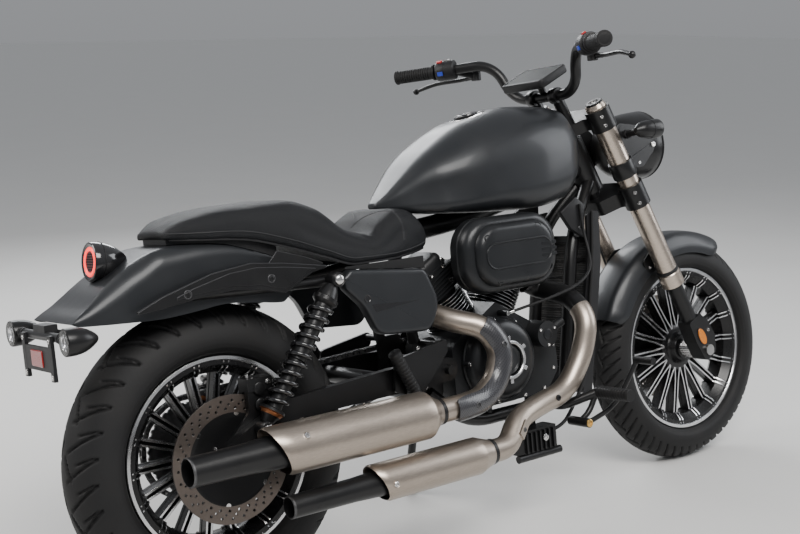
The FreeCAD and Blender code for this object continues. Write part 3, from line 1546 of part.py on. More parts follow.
def rear_indicators():
    """Crossbar behind the fender with bullet indicators, a reflector and the plate's clips."""
    radius = s.rear_indicator_radius
    bar = rod("indicator_bar", Vector(-318, -120, 605), Vector(-318, 120, 605), "rail_radius - 2")
    parts = [bar]
    for side, word in ((-1, "right"), (1, "left")):
        parts.append(turned("rear_bullet_" + word, [
            (0, 0), (0, radius - 2), (4, radius), (18, radius), (38, radius - 4), (52, radius - 11),
            dome(52, radius - 11, 66),
        ], "X", Placement(Vector(-332, side * 144, 602), Rotation())))
        parts.append(block("plate_clip_" + word, Vector(-335, side * 70 - 8, 522), Vector(-325, side * 70 + 8, 610)))
    parts.append(block("reflector_plate", Vector(-334, -80, 540), Vector(-326, 80, 588)))
    parts.append(block("bar_bracket", Vector(-322, -30, 598), Vector(-270, 30, 634)))
    return cut("rear_indicators", fuse("rear_indicators_whole", parts), [
        fender_cutter("bar_bracket_clear_below", -s.seat_gap), fender_cutter("bar_bracket_clear_above", s.seat_gap),
        fender_hollow_block("bar_bracket_inner_clear"),
    ])


def chain():
    """Drive chain as one loop of even height round both sprockets."""
    rear = s.sprocket_radius + s.chain_clearance
    front = s.drive_sprocket_radius

    def belt(name, extra, thickness):
        big = rear + extra
        small = front + extra
        away = SPROCKET_FRONT - Vector(REAR_AXLE.x, 0, REAR_AXLE.z)
        slope = math.atan2(away.z, away.x)
        spread = math.acos((big - small) / away.Length)

        def on(centre, radius, angle):
            return centre.x + radius * math.cos(angle), centre.z + radius * math.sin(angle)

        path = [
            on(REAR_AXLE, big, slope + spread),
            (*on(REAR_AXLE, big, slope + math.pi), *on(REAR_AXLE, big, slope - spread)),
            on(SPROCKET_FRONT, small, slope - spread),
            (*on(SPROCKET_FRONT, small, slope), *on(SPROCKET_FRONT, small, slope + spread)),
        ]
        return slab(name, path, thickness, Vector(0, s.sprocket_plane, 0))

    outer = belt("chain_outer", s.chain_height, "chain_width")
    return cut("chain", outer, [belt("chain_inner", 0, "chain_width * 2")])


def cord(name, points, radius):
    """A round cord along straight runs joined by tangent arcs, with the radius of each arc printed."""
    for before, here, after in zip(points, points[1:], points[2:]):
        back, on = before - here, after - here
        half_turn = (math.pi - back.getAngle(on)) / 2
        bend = CORD_SHARE * min(back.Length, on.Length) / math.tan(half_turn)
        print(f"{name}: radius {bend:.0f} mm at {here.x:.0f}, {here.y:.0f}, {here.z:.0f}")
    return tube(name, points, radius)


CORD_SHARE = 0.45


def cables():
    """The clutch cable over the neck cover to the clutch arm, and the regulator's harness down the shroud."""
    lay = -(s.radiator_width / 2 + 8 + s.seat_gap + s.harness_radius)
    rest = -(83.2 + (s.rail_radius + 2) / 2 + s.seat_gap + s.cable_radius)
    harness = cord("harness", [
        Vector(1050, lay, 706), Vector(1044, lay, 640), Vector(1036, lay, 570), Vector(1021, lay, 500),
        Vector(1008, lay, 430), Vector(994, lay, 362), Vector(972, lay - 8, 300), Vector(925, lay - 14, 248),
        Vector(874, -118, 202), Vector(REGULATOR.x + 52 + s.seat_gap + 0.3, -120, 202),
    ], "harness_radius")
    clutch = cord("clutch_cable", [
        Vector(1014, rest, 726), Vector(1018, rest, 662), Vector(1015, -112, 610), Vector(992, -138, 566),
        Vector(930, -150, 537), Vector(850, -147, 521), Vector(775, -138, 509),
        CLUTCH_ARM + Vector(s.clutch_arm_radius + s.seat_gap + 1, 0, 0),
    ], "cable_radius")
    return group("cables", [harness, clutch])


def front_hose():
    """The front brake's hose, from the lower clamp down inside the left leg to the caliper."""
    away = s.fork_tube_radius + s.hose_radius + s.seat_gap * 2
    ahead, side = -away * 0.66, leg(1) - away * 0.75
    foot = FRONT_CALIPER.z + CALIPER_HALF + s.seat_gap
    line = (
        (s.lower_clamp_low - s.seat_gap, ahead, side), (405, ahead - 4, side), (350, ahead - 9, side),
        (295, ahead - 16, side - 1), (245, ahead - 28, side - 6), (200, FRONT_CALIPER.x + 6, FRONT_CALIPER.y + 8),
        (foot, FRONT_CALIPER.x, FRONT_CALIPER.y + 6),
    )
    return cord("front_hose", [fork_place(*point) for point in line], "hose_radius")


def forward_controls():
    """Forward pegs on brackets, the brake pedal on the right and the shift lever on the left."""
    peg = Vector(930, 0, 284)
    sides = []
    for side, word in ((-1, "right"), (1, "left")):
        out = lambda point, y: Vector(point.x, side * y, point.z)
        foot = Vector(860, 0, s.cradle_height)
        parts = [
            tube("peg_bracket_" + word, [
                out(foot, s.cradle_side + s.down_tube_radius + s.seat_gap), out(foot, 140), out(peg, 192),
            ], "rail_radius"),
            rod("peg_" + word, out(peg, 190), out(peg, 296), "rail_radius + 3"),
            rod("pedal_shaft_" + word, out(Vector(872, 0, 222), 150), out(Vector(872, 0, 222), 214), "rail_radius"),
            tube("pedal_strut_" + word, [out(Vector(872, 0, 222), 182), out(Vector(905, 0, 240), 182),
                                         out(peg, 186)], "rail_radius - 4"),
            tube("pedal_arm_" + word, [out(Vector(872, 0, 222), 208), out(Vector(960, 0, 246), 214),
                                       out(Vector(1014, 0, 350), 244)], "rail_radius - 5"),
            rod("pedal_pad_" + word, out(Vector(1014, 0, 350), 238), out(Vector(1014, 0, 350), 296), "rail_radius - 2"),
        ]
        sides.append(fuse("forward_control_" + word, parts))
    return group("forward_controls", sides)


PILLION_SIDE = 148
PILLION_LUG = Vector(512, 0, 462)


def pillion_pegs():
    """Folded pillion pegs on brackets above the swingarm."""
    bracket = slab("pillion_bracket", rounded((
        (372, 382, 8), (440, 360, 8), (522, 446, 10), (522, 474, 8), (380, 450, 12),
    )), "rail_radius - 3", Vector(0, -PILLION_SIDE, 0))
    peg = rod("pillion_peg", Vector(418, -166, 368), Vector(364, -172, 470), "rail_radius + 2")
    knuckle = rod("pillion_knuckle", Vector(410, -146, 380), Vector(410, -172, 380), "rail_radius")
    return pair("pillion_pegs", fuse("pillion_peg_whole", [bracket, peg, knuckle]))


STAND_PIVOT = Vector(610, 104, 250)
STAND_FOOT_SIDE = 232


def stand_foot():
    """Where the stand's foot meets the ground under the leaning cycle."""
    return Vector(650, STAND_FOOT_SIDE, STAND_FOOT_SIDE * math.tan(LEAN))


def stand_hinge():
    """The stand's hinge axis and its swing in degrees, from the ground to along the frame."""
    down = (stand_foot() - STAND_PIVOT).normalize()
    folded = Vector(-0.985, 0.13, -0.02).normalize()
    level = down - folded
    axis = Vector(0, 1, 0) - level * (level.y / level.dot(level))
    axis.normalize()
    flat_down = down - axis * down.dot(axis)
    flat_folded = folded - axis * folded.dot(axis)
    return axis, round(math.degrees(flat_down.getAngle(flat_folded)))


def side_stand():
    """Bent leg with a flat foot, swung out on the left."""
    foot = stand_foot()
    up = Vector(0, -math.sin(LEAN), math.cos(LEAN))
    axis = stand_hinge()[0]
    parts = [
        rod("stand_boss", STAND_PIVOT, STAND_PIVOT + axis * 24, "stand_radius + 4"),
        tube("stand_leg", [STAND_PIVOT + axis * 14, STAND_PIVOT + Vector(14, 48, -60), foot + up * 8],
             "stand_radius - 1"),
        rod("stand_pad", foot, foot + up * 7, "stand_radius + 9"),
    ]
    return fuse("side_stand", parts)


NODES = (
    # node, in the fork's own frame, maker
    ("front_tyre", False, front_tyre),
    ("front_rim", False, front_rim),
    ("front_disc", False, front_disc),
    ("rear_tyre", False, rear_tyre),
    ("rear_rim", False, rear_rim),
    ("rear_disc", False, rear_disc),
    ("rear_sprocket", False, rear_sprocket),
    ("fork_tubes", True, fork_tubes),
    ("fork_sliders", True, fork_sliders),
    ("front_axle", True, front_axle),
    ("fork_clamps", True, fork_clamps),
    ("front_caliper", True, front_caliper),
    ("front_fender", False, front_fender),
    ("handlebar", False, handlebar),
    ("grips", False, grips),
    ("controls", False, controls),
    ("display", False, display),
    ("headlamp", False, headlamp),
    ("headlamp_lens", False, headlamp_lens),
    ("front_indicators", False, front_indicators),
    ("frame", False, frame),
    ("swingarm", False, swingarm),
    ("rear_axle", False, rear_axle),
    ("rear_caliper", False, rear_caliper),
    ("shocks", False, shocks),
    ("engine_case", False, engine_case),
    ("cylinders", False, cylinders),
    ("right_cover", False, right_cover),
    ("left_cover", False, left_cover),
    ("air_cleaner", False, air_cleaner),
    ("exhaust_pipes", False, exhaust_pipes),
    ("mufflers", False, mufflers),
    ("heat_shield", False, heat_shield),
    ("radiator", False, radiator),
    ("radiator_shroud", False, radiator_shroud),
    ("tank", False, tank),
    ("fuel_cap", False, fuel_cap),
    ("seat", False, seat),
    ("rear_fender", False, rear_fender),
    ("fender_struts", False, fender_struts),
    ("side_covers", False, side_covers),
    ("neck_covers", False, neck_covers),
    ("tail_lamp", False, tail_lamp),
    ("rear_indicators", False, rear_indicators),
    ("chain", False, chain),
    ("cables", False, cables),
    ("front_hose", False, front_hose),
    ("forward_controls", False, forward_controls),
    ("pillion_pegs", False, pillion_pegs),
    ("side_stand", False, side_stand),
)


def leaned():
    """The pose of the parked cycle: leaned to the left about the line its tyres stand on."""
    return Placement(Vector(0, 0, 0), Rotation(Vector(1, 0, 0), -s.lean_angle))


def build():
    """Make every node, lean the cycle on its stand and put the origin below the box's middle."""
    made = {}
    for label, in_fork, maker in NODES:
        item = maker()
        item.Label = label
        made[label] = item
    doc.recompute()
    lean = leaned()
    for label, in_fork, maker in NODES:
        item = made[label]
        pose = lean.multiply(FORK) if in_fork else lean
        item.Placement = pose.multiply(item.Placement)
    doc.recompute()
    box = FreeCAD.BoundBox()
    for item in made.values():
        box.add(item.Shape.optimalBoundingBox())
    shift = Placement(Vector(-box.Center.x, -box.Center.y, -box.ZMin), Rotation())
    for item in made.values():
        item.Placement = shift.multiply(item.Placement)
    doc.recompute()
    return made, shift.multiply(lean), box


def check(made):
    """Stop if any object failed or any piece is not a sound solid."""
    for item in doc.Objects:
        bad = [word for word in item.State if word in ("Invalid", "Error")]
        if bad:
            raise RuntimeError(f"{item.Name} {item.Label}: {bad}")
    for label, item in made.items():
        if item.Shape.isNull() or not item.Shape.isValid() or not item.Shape.Solids:
            raise RuntimeError(f"{label}: no sound solid")


def export(made):
    """Write each node's shape to its own file."""
    os.makedirs("parts", exist_ok=True)
    for label, item in made.items():
        item.Shape.exportStep(f"parts/{label}.step")


def main():
    """Build, check and write the whole cycle."""
    made, pose, box = build()
    check(made)
    export(made)
    print(f"{len(made)} nodes, box {box.XLength:.1f} x {box.YLength:.1f} x {box.ZLength:.1f} mm")
    return pose


POSE = main()
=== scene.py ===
"""Looks of a parked cruiser motorcycle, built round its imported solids.

Sizes are in millimetres on the cycle's own axes: X ahead, Y to the left, Z up, from the ground
under the rear axle. The cycle leans on its side stand, and CYCLE carries that lean.
"""

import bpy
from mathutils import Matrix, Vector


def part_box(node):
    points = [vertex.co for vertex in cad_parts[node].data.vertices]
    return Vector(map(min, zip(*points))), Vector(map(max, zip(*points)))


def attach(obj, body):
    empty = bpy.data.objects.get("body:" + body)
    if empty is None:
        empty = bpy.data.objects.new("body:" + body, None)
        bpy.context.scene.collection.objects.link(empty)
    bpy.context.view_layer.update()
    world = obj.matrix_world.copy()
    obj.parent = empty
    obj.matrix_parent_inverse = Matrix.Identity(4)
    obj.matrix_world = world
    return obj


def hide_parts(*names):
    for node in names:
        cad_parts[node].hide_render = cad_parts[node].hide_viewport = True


bl_info = {
    "name": "Cruiser motorcycle",
    "version": (1, 0, 0),
    "blender": (4, 5, 0),
    "location": "3D View > Sidebar > Cruiser",
    "description": "Dresses the solids of a cruiser motorcycle with detailed pieces and finishes",
    "category": "Object",
}

import math

import bmesh
import bpy
import numpy as np
from mathutils import Matrix, Vector

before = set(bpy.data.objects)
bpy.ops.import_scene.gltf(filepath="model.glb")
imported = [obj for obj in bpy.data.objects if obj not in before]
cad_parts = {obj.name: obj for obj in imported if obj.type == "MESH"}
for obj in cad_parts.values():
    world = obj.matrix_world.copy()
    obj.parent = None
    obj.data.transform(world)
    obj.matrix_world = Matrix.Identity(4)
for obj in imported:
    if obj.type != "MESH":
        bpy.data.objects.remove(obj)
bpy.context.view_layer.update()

MM = 0.001
LEAN = math.radians(9)
RAKE = math.radians(26.3)
REAR_AXLE = Vector((0, 0, 310.935))
FRONT_AXLE = Vector((1418, 0, 299.748))
CRANK = Vector((712, 0, 395))
VEE = math.radians(30)
LEG_OFFSET = 97
SHOCK_OFFSET = 149
MUFFLER_OFFSET = -215
CORNER_POINTS = 14


def cycle_place():
    """Where the cycle's own axes stand, from the middle of the rear tyre and the lean."""
    low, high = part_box("rear_tyre")
    turn = Matrix.Rotation(-LEAN, 4, "X")
    return Matrix.Translation((low + high) / 2 - turn @ (REAR_AXLE * MM)) @ turn


CYCLE = cycle_place()
TURN_FORK = Matrix.Translation(FRONT_AXLE) @ Matrix.Rotation(-RAKE, 4, "Y")


def fork_point(along, ahead, side):
    """A point given up the fork legs, ahead of them and sideways."""
    return TURN_FORK @ Vector((ahead, side, along))


def cylinder_turn(side):
    """The axes of a cylinder: from the crank, Z up its bore."""
    return Matrix.Translation(CRANK) @ Matrix.Rotation(side * VEE, 4, "Y")


def round_spot(degrees, reach=1.0):
    """A point in the plane of the wheels, given the way round from ahead and how far out."""
    angle = math.radians(degrees)
    return Vector((reach * math.cos(angle), 0, reach * math.sin(angle)))


def facing(spot, way):
    """A place whose Z points along a way."""
    return Matrix.Translation(spot) @ way.to_track_quat("Z", "Y").to_matrix().to_4x4()


def circle(radius, count, u=0.0, v=0.0):
    """Points evenly round a circle about (u, v)."""
    angles = [2 * math.pi * k / count for k in range(count)]
    return [(u + radius * math.cos(angle), v + radius * math.sin(angle)) for angle in angles]


def rounded(corners, step=12.0):
    """An outline of (u, v, radius) corners with its corners turned into arcs."""
    path = []
    count = len(corners)
    for index, (u, v, radius) in enumerate(corners):
        here = Vector((u, v))
        back = Vector(corners[index - 1][:2]) - here
        on = Vector(corners[(index + 1) % count][:2]) - here
        if radius <= 0 or back.length < 1e-6 or on.length < 1e-6:
            path.append((u, v))
            continue
        between = back.angle(on, math.pi)
        if between > math.pi - 0.02:
            path.append((u, v))
            continue
        reach = min(radius / math.tan(between / 2), 0.48 * back.length, 0.48 * on.length)
        actual = reach * math.tan(between / 2)
        middle = here + (back.normalized() + on.normalized()).normalized() * (actual / math.sin(between / 2))
        start = here + back.normalized() * reach - middle
        end = here + on.normalized() * reach - middle
        sweep = start.angle_signed(end)
        steps = max(2, int(abs(math.degrees(sweep)) / step))
        for k in range(steps + 1):
            spin = -sweep * k / steps
            c, s = math.cos(spin), math.sin(spin)
            path.append((middle.x + start.x * c - start.y * s, middle.y + start.x * s + start.y * c))
    return path


def rectangle(half_u, half_v, radius, u=0.0, v=0.0, step=12.0):
    """A rectangle about (u, v) with round corners."""
    corners = ((u - half_u, v - half_v), (u + half_u, v - half_v), (u + half_u, v + half_v),
               (u - half_u, v + half_v))
    return rounded([(*corner, radius) for corner in corners], step)


def layers(outline, steps):
    """Copies of an XZ outline at each (y, how far drawn in)."""
    return [[(u, y, v) for u, v in inset(outline, draw)] for y, draw in steps]


def route(points, step=8.0, reach=0.45):
    """Points along straight runs joined by arcs, which leave each corner by a share of the shorter run."""
    points = [Vector(p) for p in points]
    line = [points[0]]
    for before, here, after in zip(points, points[1:], points[2:]):
        back, on = before - here, after - here
        between = back.angle(on)
        if between > math.pi - 0.02:
            line.append(here)
            continue
        away = reach * min(back.length, on.length)
        radius = away * math.tan(between / 2)
        middle = here + (back.normalized() + on.normalized()).normalized() * (radius / math.sin(between / 2))
        a = here + back.normalized() * away - middle
        b = here + on.normalized() * away - middle
        sweep = a.angle(b)
        steps = max(3, int(math.degrees(sweep) / step))
        for k in range(steps + 1):
            t = k / steps
            line.append(middle + (a * math.sin((1 - t) * sweep) + b * math.sin(t * sweep)) / math.sin(sweep))
    line.append(points[-1])
    return line


class Form:
    """Points and faces of one piece in the making, each face with the number of its finish."""

    def __init__(self, turn=None):
        self.points = []
        self.faces = []
        self.inks = []
        self.turn = turn or Matrix()

    def add(self, points, faces, ink=0, turn=None):
        base = len(self.points)
        place = self.turn @ turn if turn is not None else self.turn
        self.points += [place @ Vector(p) for p in points]
        self.faces += [tuple(base + i for i in face) for face in faces]
        self.inks += list(ink) if isinstance(ink, (list, tuple)) else [ink] * len(faces)

    def rings(self, rings, ink=0, caps=(True, True), closed=False, turn=None):
        """Skins rings of equal count, one after the other."""
        size = len(rings[0])
        points = [p for ring in rings for p in ring]
        faces = []
        inks = []
        count = len(rings)
        for r in range(count if closed else count - 1):
            a, b = r * size, ((r + 1) % count) * size
            for k in range(size):
                n = (k + 1) % size
                faces.append((a + k, a + n, b + n, b + k))
                inks.append(ink[r] if isinstance(ink, (list, tuple)) else ink)
        if not closed and caps[0]:
            faces.append(tuple(reversed(range(size))))
            inks.append(ink[0] if isinstance(ink, (list, tuple)) else ink)
        if not closed and caps[1]:
            faces.append(tuple(range((count - 1) * size, count * size)))
            inks.append(ink[-1] if isinstance(ink, (list, tuple)) else ink)
        self.add(points, faces, inks, turn)

    def box(self, low, high, ink=0, turn=None):
        x0, y0, z0 = low
        x1, y1, z1 = high
        ring = [(x0, y0), (x1, y0), (x1, y1), (x0, y1)]
        self.rings([[(x, y, z) for x, y in ring] for z in (z0, z1)], ink, turn=turn)

    def tube(self, line, radius, sides=20, ink=0, caps=(True, True), flat=1.0):
        """A round bar along a line of points; radius may be a list, one for each point."""
        line = [Vector(p) for p in line]
        radii = radius if isinstance(radius, (list, tuple)) else [radius] * len(line)
        forward = (line[1] - line[0]).normalized()
        up = Vector((0, 0, 1)) if abs(forward.z) < 0.9 else Vector((1, 0, 0))
        side = forward.cross(up).normalized()
        rings = []
        for index, point in enumerate(line):
            a = line[max(index - 1, 0)]
            b = line[min(index + 1, len(line) - 1)]
            forward = (b - a).normalized()
            side = (side - forward * side.dot(forward)).normalized()
            rise = side.cross(forward)
            rings.append([point + side * u + rise * (v * flat) for u, v in circle(radii[index], sides)])
        self.rings(rings, ink, caps)

    def rod(self, start, end, radius, ink=0, sides=28, end_radius=None):
        self.tube([start, end], [radius, radius if end_radius is None else end_radius], sides, ink)

    def lathe(self, profile, centre=(0, 0, 0), axis="Y", sides=64, ink=0, closed=False, turn=None,
              arc=(0, 360)):
        """Turns (along, radius) points about an axis through the centre."""
        centre = Vector(centre)
        start, end = math.radians(arc[0]), math.radians(arc[1])
        whole = abs(arc[1] - arc[0]) >= 359.9
        steps = sides if whole else sides + 1
        rings = []
        for k in range(steps):
            angle = start + (end - start) * k / sides
            c, s = math.cos(angle), math.sin(angle)
            ring = []
            for along, radius in profile:
                if axis == "Y":
                    ring.append(centre + Vector((radius * c, along, radius * s)))
                elif axis == "X":
                    ring.append(centre + Vector((along, radius * c, radius * s)))
                else:
                    ring.append(centre + Vector((radius * c, radius * s, along)))
            rings.append(ring)
        size = len(profile)
        points = [p for ring in rings for p in ring]
        faces = []
        inks = []
        spans = size if closed else size - 1
        for r in range(steps if whole else steps - 1):
            a, b = r * size, ((r + 1) % steps) * size
            for k in range(spans):
                n = (k + 1) % size
                faces.append((a + k, a + n, b + n, b + k))
                inks.append(ink[k] if isinstance(ink, (list, tuple)) else ink)
        self.add(points, faces, inks, turn)

    def plate(self, outline, low, high, ink=0, turn=None, lip=0.0):
        """An XZ outline from one Y to another, its high face drawn in by a lip."""
        first = [(u, low, v) for u, v in outline]
        rings = [first]
        if lip:
            rings.append([(u, high - math.copysign(lip, high - low), v) for u, v in outline])
            rings.append([(u, high, v) for u, v in inset(outline, lip)])
        else:
            rings.append([(u, high, v) for u, v in outline])
        self.rings(rings, ink, turn=turn)

    def bolt(self, at, out, radius=5.0, height=4.0, ink=0, kind="hex"):
        """A bolt head standing out from a face: hex, or round with a socket."""
        place = facing(Vector(at), Vector(out).normalized())
        if kind == "hex":
            washer = radius * 1.25
            self.lathe([(-1, 0), (-1, washer), (0.8, washer), (0.8, 0)], axis="Z", sides=20, ink=ink,
                       turn=place)
            self.lathe([(0.8, 0), (0.8, radius), (height - 0.8, radius), (height, radius - 1), (height, 0)],
                       axis="Z", sides=6, ink=ink, turn=place)
        else:
            well = radius * 0.5
            self.lathe([(-1, 0), (-1, radius), (height * 0.6, radius), (height, radius * 0.78),
                        (height, well)],
                       axis="Z", sides=20, ink=ink, turn=place)
            self.lathe([(height, well), (height * 0.25, well), (height * 0.25, 0)], axis="Z", sides=6,
                       ink=ink, turn=place)


def inset(outline, amount):
    """An outline drawn in by an amount along its own normals."""
    count = len(outline)
    area = sum(outline[i - 1][0] * outline[i][1] - outline[i][0] * outline[i - 1][1] for i in range(count))
    sign = 1.0 if area > 0 else -1.0
    drawn = []
    for index in range(count):
        a, b = Vector(outline[index - 1]), Vector(outline[(index + 1) % count])
        along = (b - a)
        if along.length < 1e-6:
            drawn.append(outline[index])
            continue
        along.normalize()
        drawn.append((outline[index][0] - along.y * amount * sign,
                      outline[index][1] + along.x * amount * sign))
    return drawn


def finishes_of(names):
    return [bpy.data.materials[name] for name in ([names] if isinstance(names, str) else names)]


def build(form, name, body, finish, replaces=(), bevel=0.0, sharp=38, levels=0, weld=True,
          mirror=False):
    """Makes the piece: one mesh, in place on the cycle, riding on its body."""
    mesh = bpy.data.meshes.new(name)
    points = [p * MM for p in form.points]
    mesh.from_pydata(points, [], form.faces)
    mesh.polygons.foreach_set("material_index", form.inks)
    for material in finishes_of(finish):
        mesh.materials.append(material)
    net = bmesh.new()
    net.from_mesh(mesh)
    if mirror:
        twin = bmesh.ops.duplicate(net, geom=net.verts[:] + net.edges[:] + net.faces[:])["geom"]
        moved = [v for v in twin if isinstance(v, bmesh.types.BMVert)]
        for v in moved:
            v.co.y = -v.co.y
        bmesh.ops.reverse_faces(net, faces=[f for f in twin if isinstance(f, bmesh.types.BMFace)])
    if weld:
        bmesh.ops.remove_doubles(net, verts=net.verts, dist=0.00001)
    bmesh.ops.recalc_face_normals(net, faces=net.faces)
    net.to_mesh(mesh)
    net.free()
    mesh.shade_smooth()
    mesh.set_sharp_from_angle(angle=math.radians(sharp))
    item = bpy.data.objects.new(name, mesh)
    bpy.context.scene.collection.objects.link(item)
    item.matrix_world = CYCLE
    if bevel:
        edge = item.modifiers.new("Edge", "BEVEL")
        edge.width = bevel * MM
        edge.segments = 2
        edge.limit_method = "ANGLE"
        edge.angle_limit = math.radians(sharp)
        edge.harden_normals = True
    if levels:
        soft = item.modifiers.new("Soft", "SUBSURF")
        soft.levels = levels
        soft.render_levels = levels
    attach(item, body)
    if replaces:
        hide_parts(*([replaces] if isinstance(replaces, str) else replaces))
    return item


def dress(node, finish):
    """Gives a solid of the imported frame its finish."""
    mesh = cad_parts[node].data
    mesh.materials.clear()
    for material in finishes_of(finish):
        mesh.materials.append(material)


def rounded_section(half, low, high, low_corner, high_corner):
    """A section across the cycle with round corners, as points (y, z), its low corners first."""
    corners = [(-half, low, low_corner), (half, low, low_corner), (half, high, high_corner),
               (-half, high, high_corner)]
    ring = []
    for index, (y, z, radius) in enumerate(corners):
        radius = max(radius, 0.5)
        cy = y + (radius if y < 0 else -radius)
        cz = z + (radius if z == low else -radius)
        begin = (180, 270, 0, 90)[index]
        for k in range(CORNER_POINTS):
            angle = math.radians(begin + 90 * k / (CORNER_POINTS - 1))
            ring.append((cy + radius * math.cos(angle), cz + radius * math.sin(angle)))
    return ring


class CruiserPaint(bpy.types.PropertyGroup):
    """Colours of the cycle's finishes."""

    body: bpy.props.FloatVectorProperty(
        name="Body paint", description="Satin paint of the tank, fenders and side covers",
        subtype="COLOR", size=3, default=(0.0165, 0.018, 0.0205), min=0, max=1)
    exhaust: bpy.props.FloatVectorProperty(
        name="Exhaust metal", description="Satin metal of the pipes, mufflers and upper fork tubes",
        subtype="COLOR", size=3, default=(0.42, 0.36, 0.305), min=0, max=1)
    seat: bpy.props.FloatVectorProperty(
        name="Seat cover", description="Grained seat cover",
        subtype="COLOR", size=3, default=(0.0095, 0.0102, 0.0118), min=0, max=1)
    black: bpy.props.FloatVectorProperty(
        name="Black metal", description="Powder coat of the frame, wheels and clamps",
        subtype="COLOR", size=3, default=(0.0075, 0.0075, 0.008), min=0, max=1)
    engine: bpy.props.FloatVectorProperty(
        name="Engine", description="Enamel of the crankcase, cylinders and covers",
        subtype="COLOR", size=3, default=(0.0110, 0.0118, 0.0132), min=0, max=1)
    rubber: bpy.props.FloatVectorProperty(
        name="Rubber", description="Tyres, grips and hoses",
        subtype="COLOR", size=3, default=(0.0105, 0.0105, 0.011), min=0, max=1)
    tail_light: bpy.props.FloatVectorProperty(
        name="Tail light", description="Lit ring of the tail lamp",
        subtype="COLOR", size=3, default=(1.0, 0.05, 0.04), min=0, max=1)


class CruiserSizes(bpy.types.PropertyGroup):
    """Sizes of the detail that a user would change, in metres."""

    groove: bpy.props.FloatProperty(
        name="Tread depth", description="Depth of the grooves in both tyres",
        unit="LENGTH", default=0.0062, min=0.001, max=0.008)
    tread_pitch: bpy.props.FloatProperty(
        name="Tread pitch", description="Length of one repeat of the tread",
        unit="LENGTH", default=0.058, min=0.02, max=0.1)
    spokes: bpy.props.IntProperty(
        name="Spokes", description="Double ribs in each wheel", default=18, min=5, max=30)
    fins: bpy.props.IntProperty(
        name="Cylinder fins", description="Cooling fins on each cylinder", default=9, min=3, max=12)
    coils: bpy.props.IntProperty(
        name="Shock coils", description="Turns of each rear spring", default=11, min=5, max=16)
    stitch: bpy.props.FloatProperty(
        name="Stitch length", description="Length of one stitch in the seat's seams",
        unit="LENGTH", default=0.0055, min=0.002, max=0.012)


def node_group(name, inputs, outputs):
    """An empty shader node group with its sockets; gives the group and its two ends."""
    group = bpy.data.node_groups.new(name, "ShaderNodeTree")
    for label, value in inputs:
        socket = group.interface.new_socket(label, in_out="INPUT", socket_type="NodeSocketFloat")
        socket.default_value = value
    for label in outputs:
        group.interface.new_socket(label, in_out="OUTPUT", socket_type="NodeSocketFloat")
    return group, group.nodes.new("NodeGroupInput"), group.nodes.new("NodeGroupOutput")


def math_node(tree, operation, a, b=None, clamp=False):
    node = tree.nodes.new("ShaderNodeMath")
    node.operation = operation
    node.use_clamp = clamp
    for socket, value in zip(node.inputs, (a, b)):
        if value is None:
            continue
        if isinstance(value, bpy.types.NodeSocket):
            tree.links.new(value, socket)
        else:
            socket.default_value = value
    return node.outputs[0]


def noise_node(tree, scale, detail=3.0, vector=None):
    node = tree.nodes.new("ShaderNodeTexNoise")
    node.inputs["Detail"].default_value = detail
    if isinstance(scale, bpy.types.NodeSocket):
        tree.links.new(scale, node.inputs["Scale"])
    else:
        node.inputs["Scale"].default_value = scale
    if vector is None:
        vector = tree.nodes.new("ShaderNodeTexCoord").outputs["Object"]
    tree.links.new(vector, node.inputs["Vector"])
    return node.outputs["Fac"]


def ramp_node(tree, value, low, high):
    node = tree.nodes.new("ShaderNodeMapRange")
    tree.links.new(value, node.inputs["Value"])
    node.inputs["From Min"].default_value = low
    node.inputs["From Max"].default_value = high
    return node.outputs["Result"]


def make_groups():
    """The shared effects: fine grain, worn edges, settled dust and moulded prisms."""
    grain, given, out = node_group("Fine grain", [("Scale", 400.0)], ["Value", "Height"])
    fine = noise_node(grain, given.outputs["Scale"], 4.0)
    broad = noise_node(grain, math_node(grain, "MULTIPLY", given.outputs["Scale"], 0.02), 3.0)
    grain.links.new(math_node(grain, "ADD", math_node(grain, "MULTIPLY", fine, 0.35),
                              math_node(grain, "MULTIPLY", broad, 0.65)), out.inputs["Value"])
    grain.links.new(fine, out.inputs["Height"])

    wear, given, out = node_group("Worn edges", [("Amount", 0.5), ("Scale", 60.0)], ["Mask"])
    point = wear.nodes.new("ShaderNodeNewGeometry").outputs["Pointiness"]
    edge = ramp_node(wear, point, 0.52, 0.62)
    rough = ramp_node(wear, noise_node(wear, given.outputs["Scale"], 6.0), 0.4, 0.62)
    mask = math_node(wear, "MULTIPLY", edge, rough)
    wear.links.new(math_node(wear, "MULTIPLY", mask, given.outputs["Amount"], True), out.inputs["Mask"])

    dust, given, out = node_group("Settled dust", [("Amount", 0.2), ("Scale", 14.0)], ["Mask"])
    normal = dust.nodes.new("ShaderNodeNewGeometry").outputs["Normal"]
    split = dust.nodes.new("ShaderNodeSeparateXYZ")
    dust.links.new(normal, split.inputs[0])
    flat = ramp_node(dust, split.outputs["Z"], -0.2, 1.0)
    cloud = ramp_node(dust, noise_node(dust, given.outputs["Scale"], 5.0), 0.35, 0.75)
    mask = math_node(dust, "MULTIPLY", math_node(dust, "ADD", math_node(dust, "MULTIPLY", flat, 0.7), 0.3),
                     cloud)
    dust.links.new(math_node(dust, "MULTIPLY", mask, given.outputs["Amount"], True), out.inputs["Mask"])

    prisms, given, out = node_group("Moulded prisms", [("Scale", 300.0)], ["Slope", "Height"])
    cells = prisms.nodes.new("ShaderNodeTexVoronoi")
    cells.inputs["Randomness"].default_value = 0.15
    prisms.links.new(given.outputs["Scale"], cells.inputs["Scale"])
    prisms.links.new(prisms.nodes.new("ShaderNodeTexCoord").outputs["Object"], cells.inputs["Vector"])
    prisms.links.new(ramp_node(prisms, cells.outputs["Distance"], 0.0, 0.6), out.inputs["Slope"])
    prisms.links.new(cells.outputs["Distance"], out.inputs["Height"])


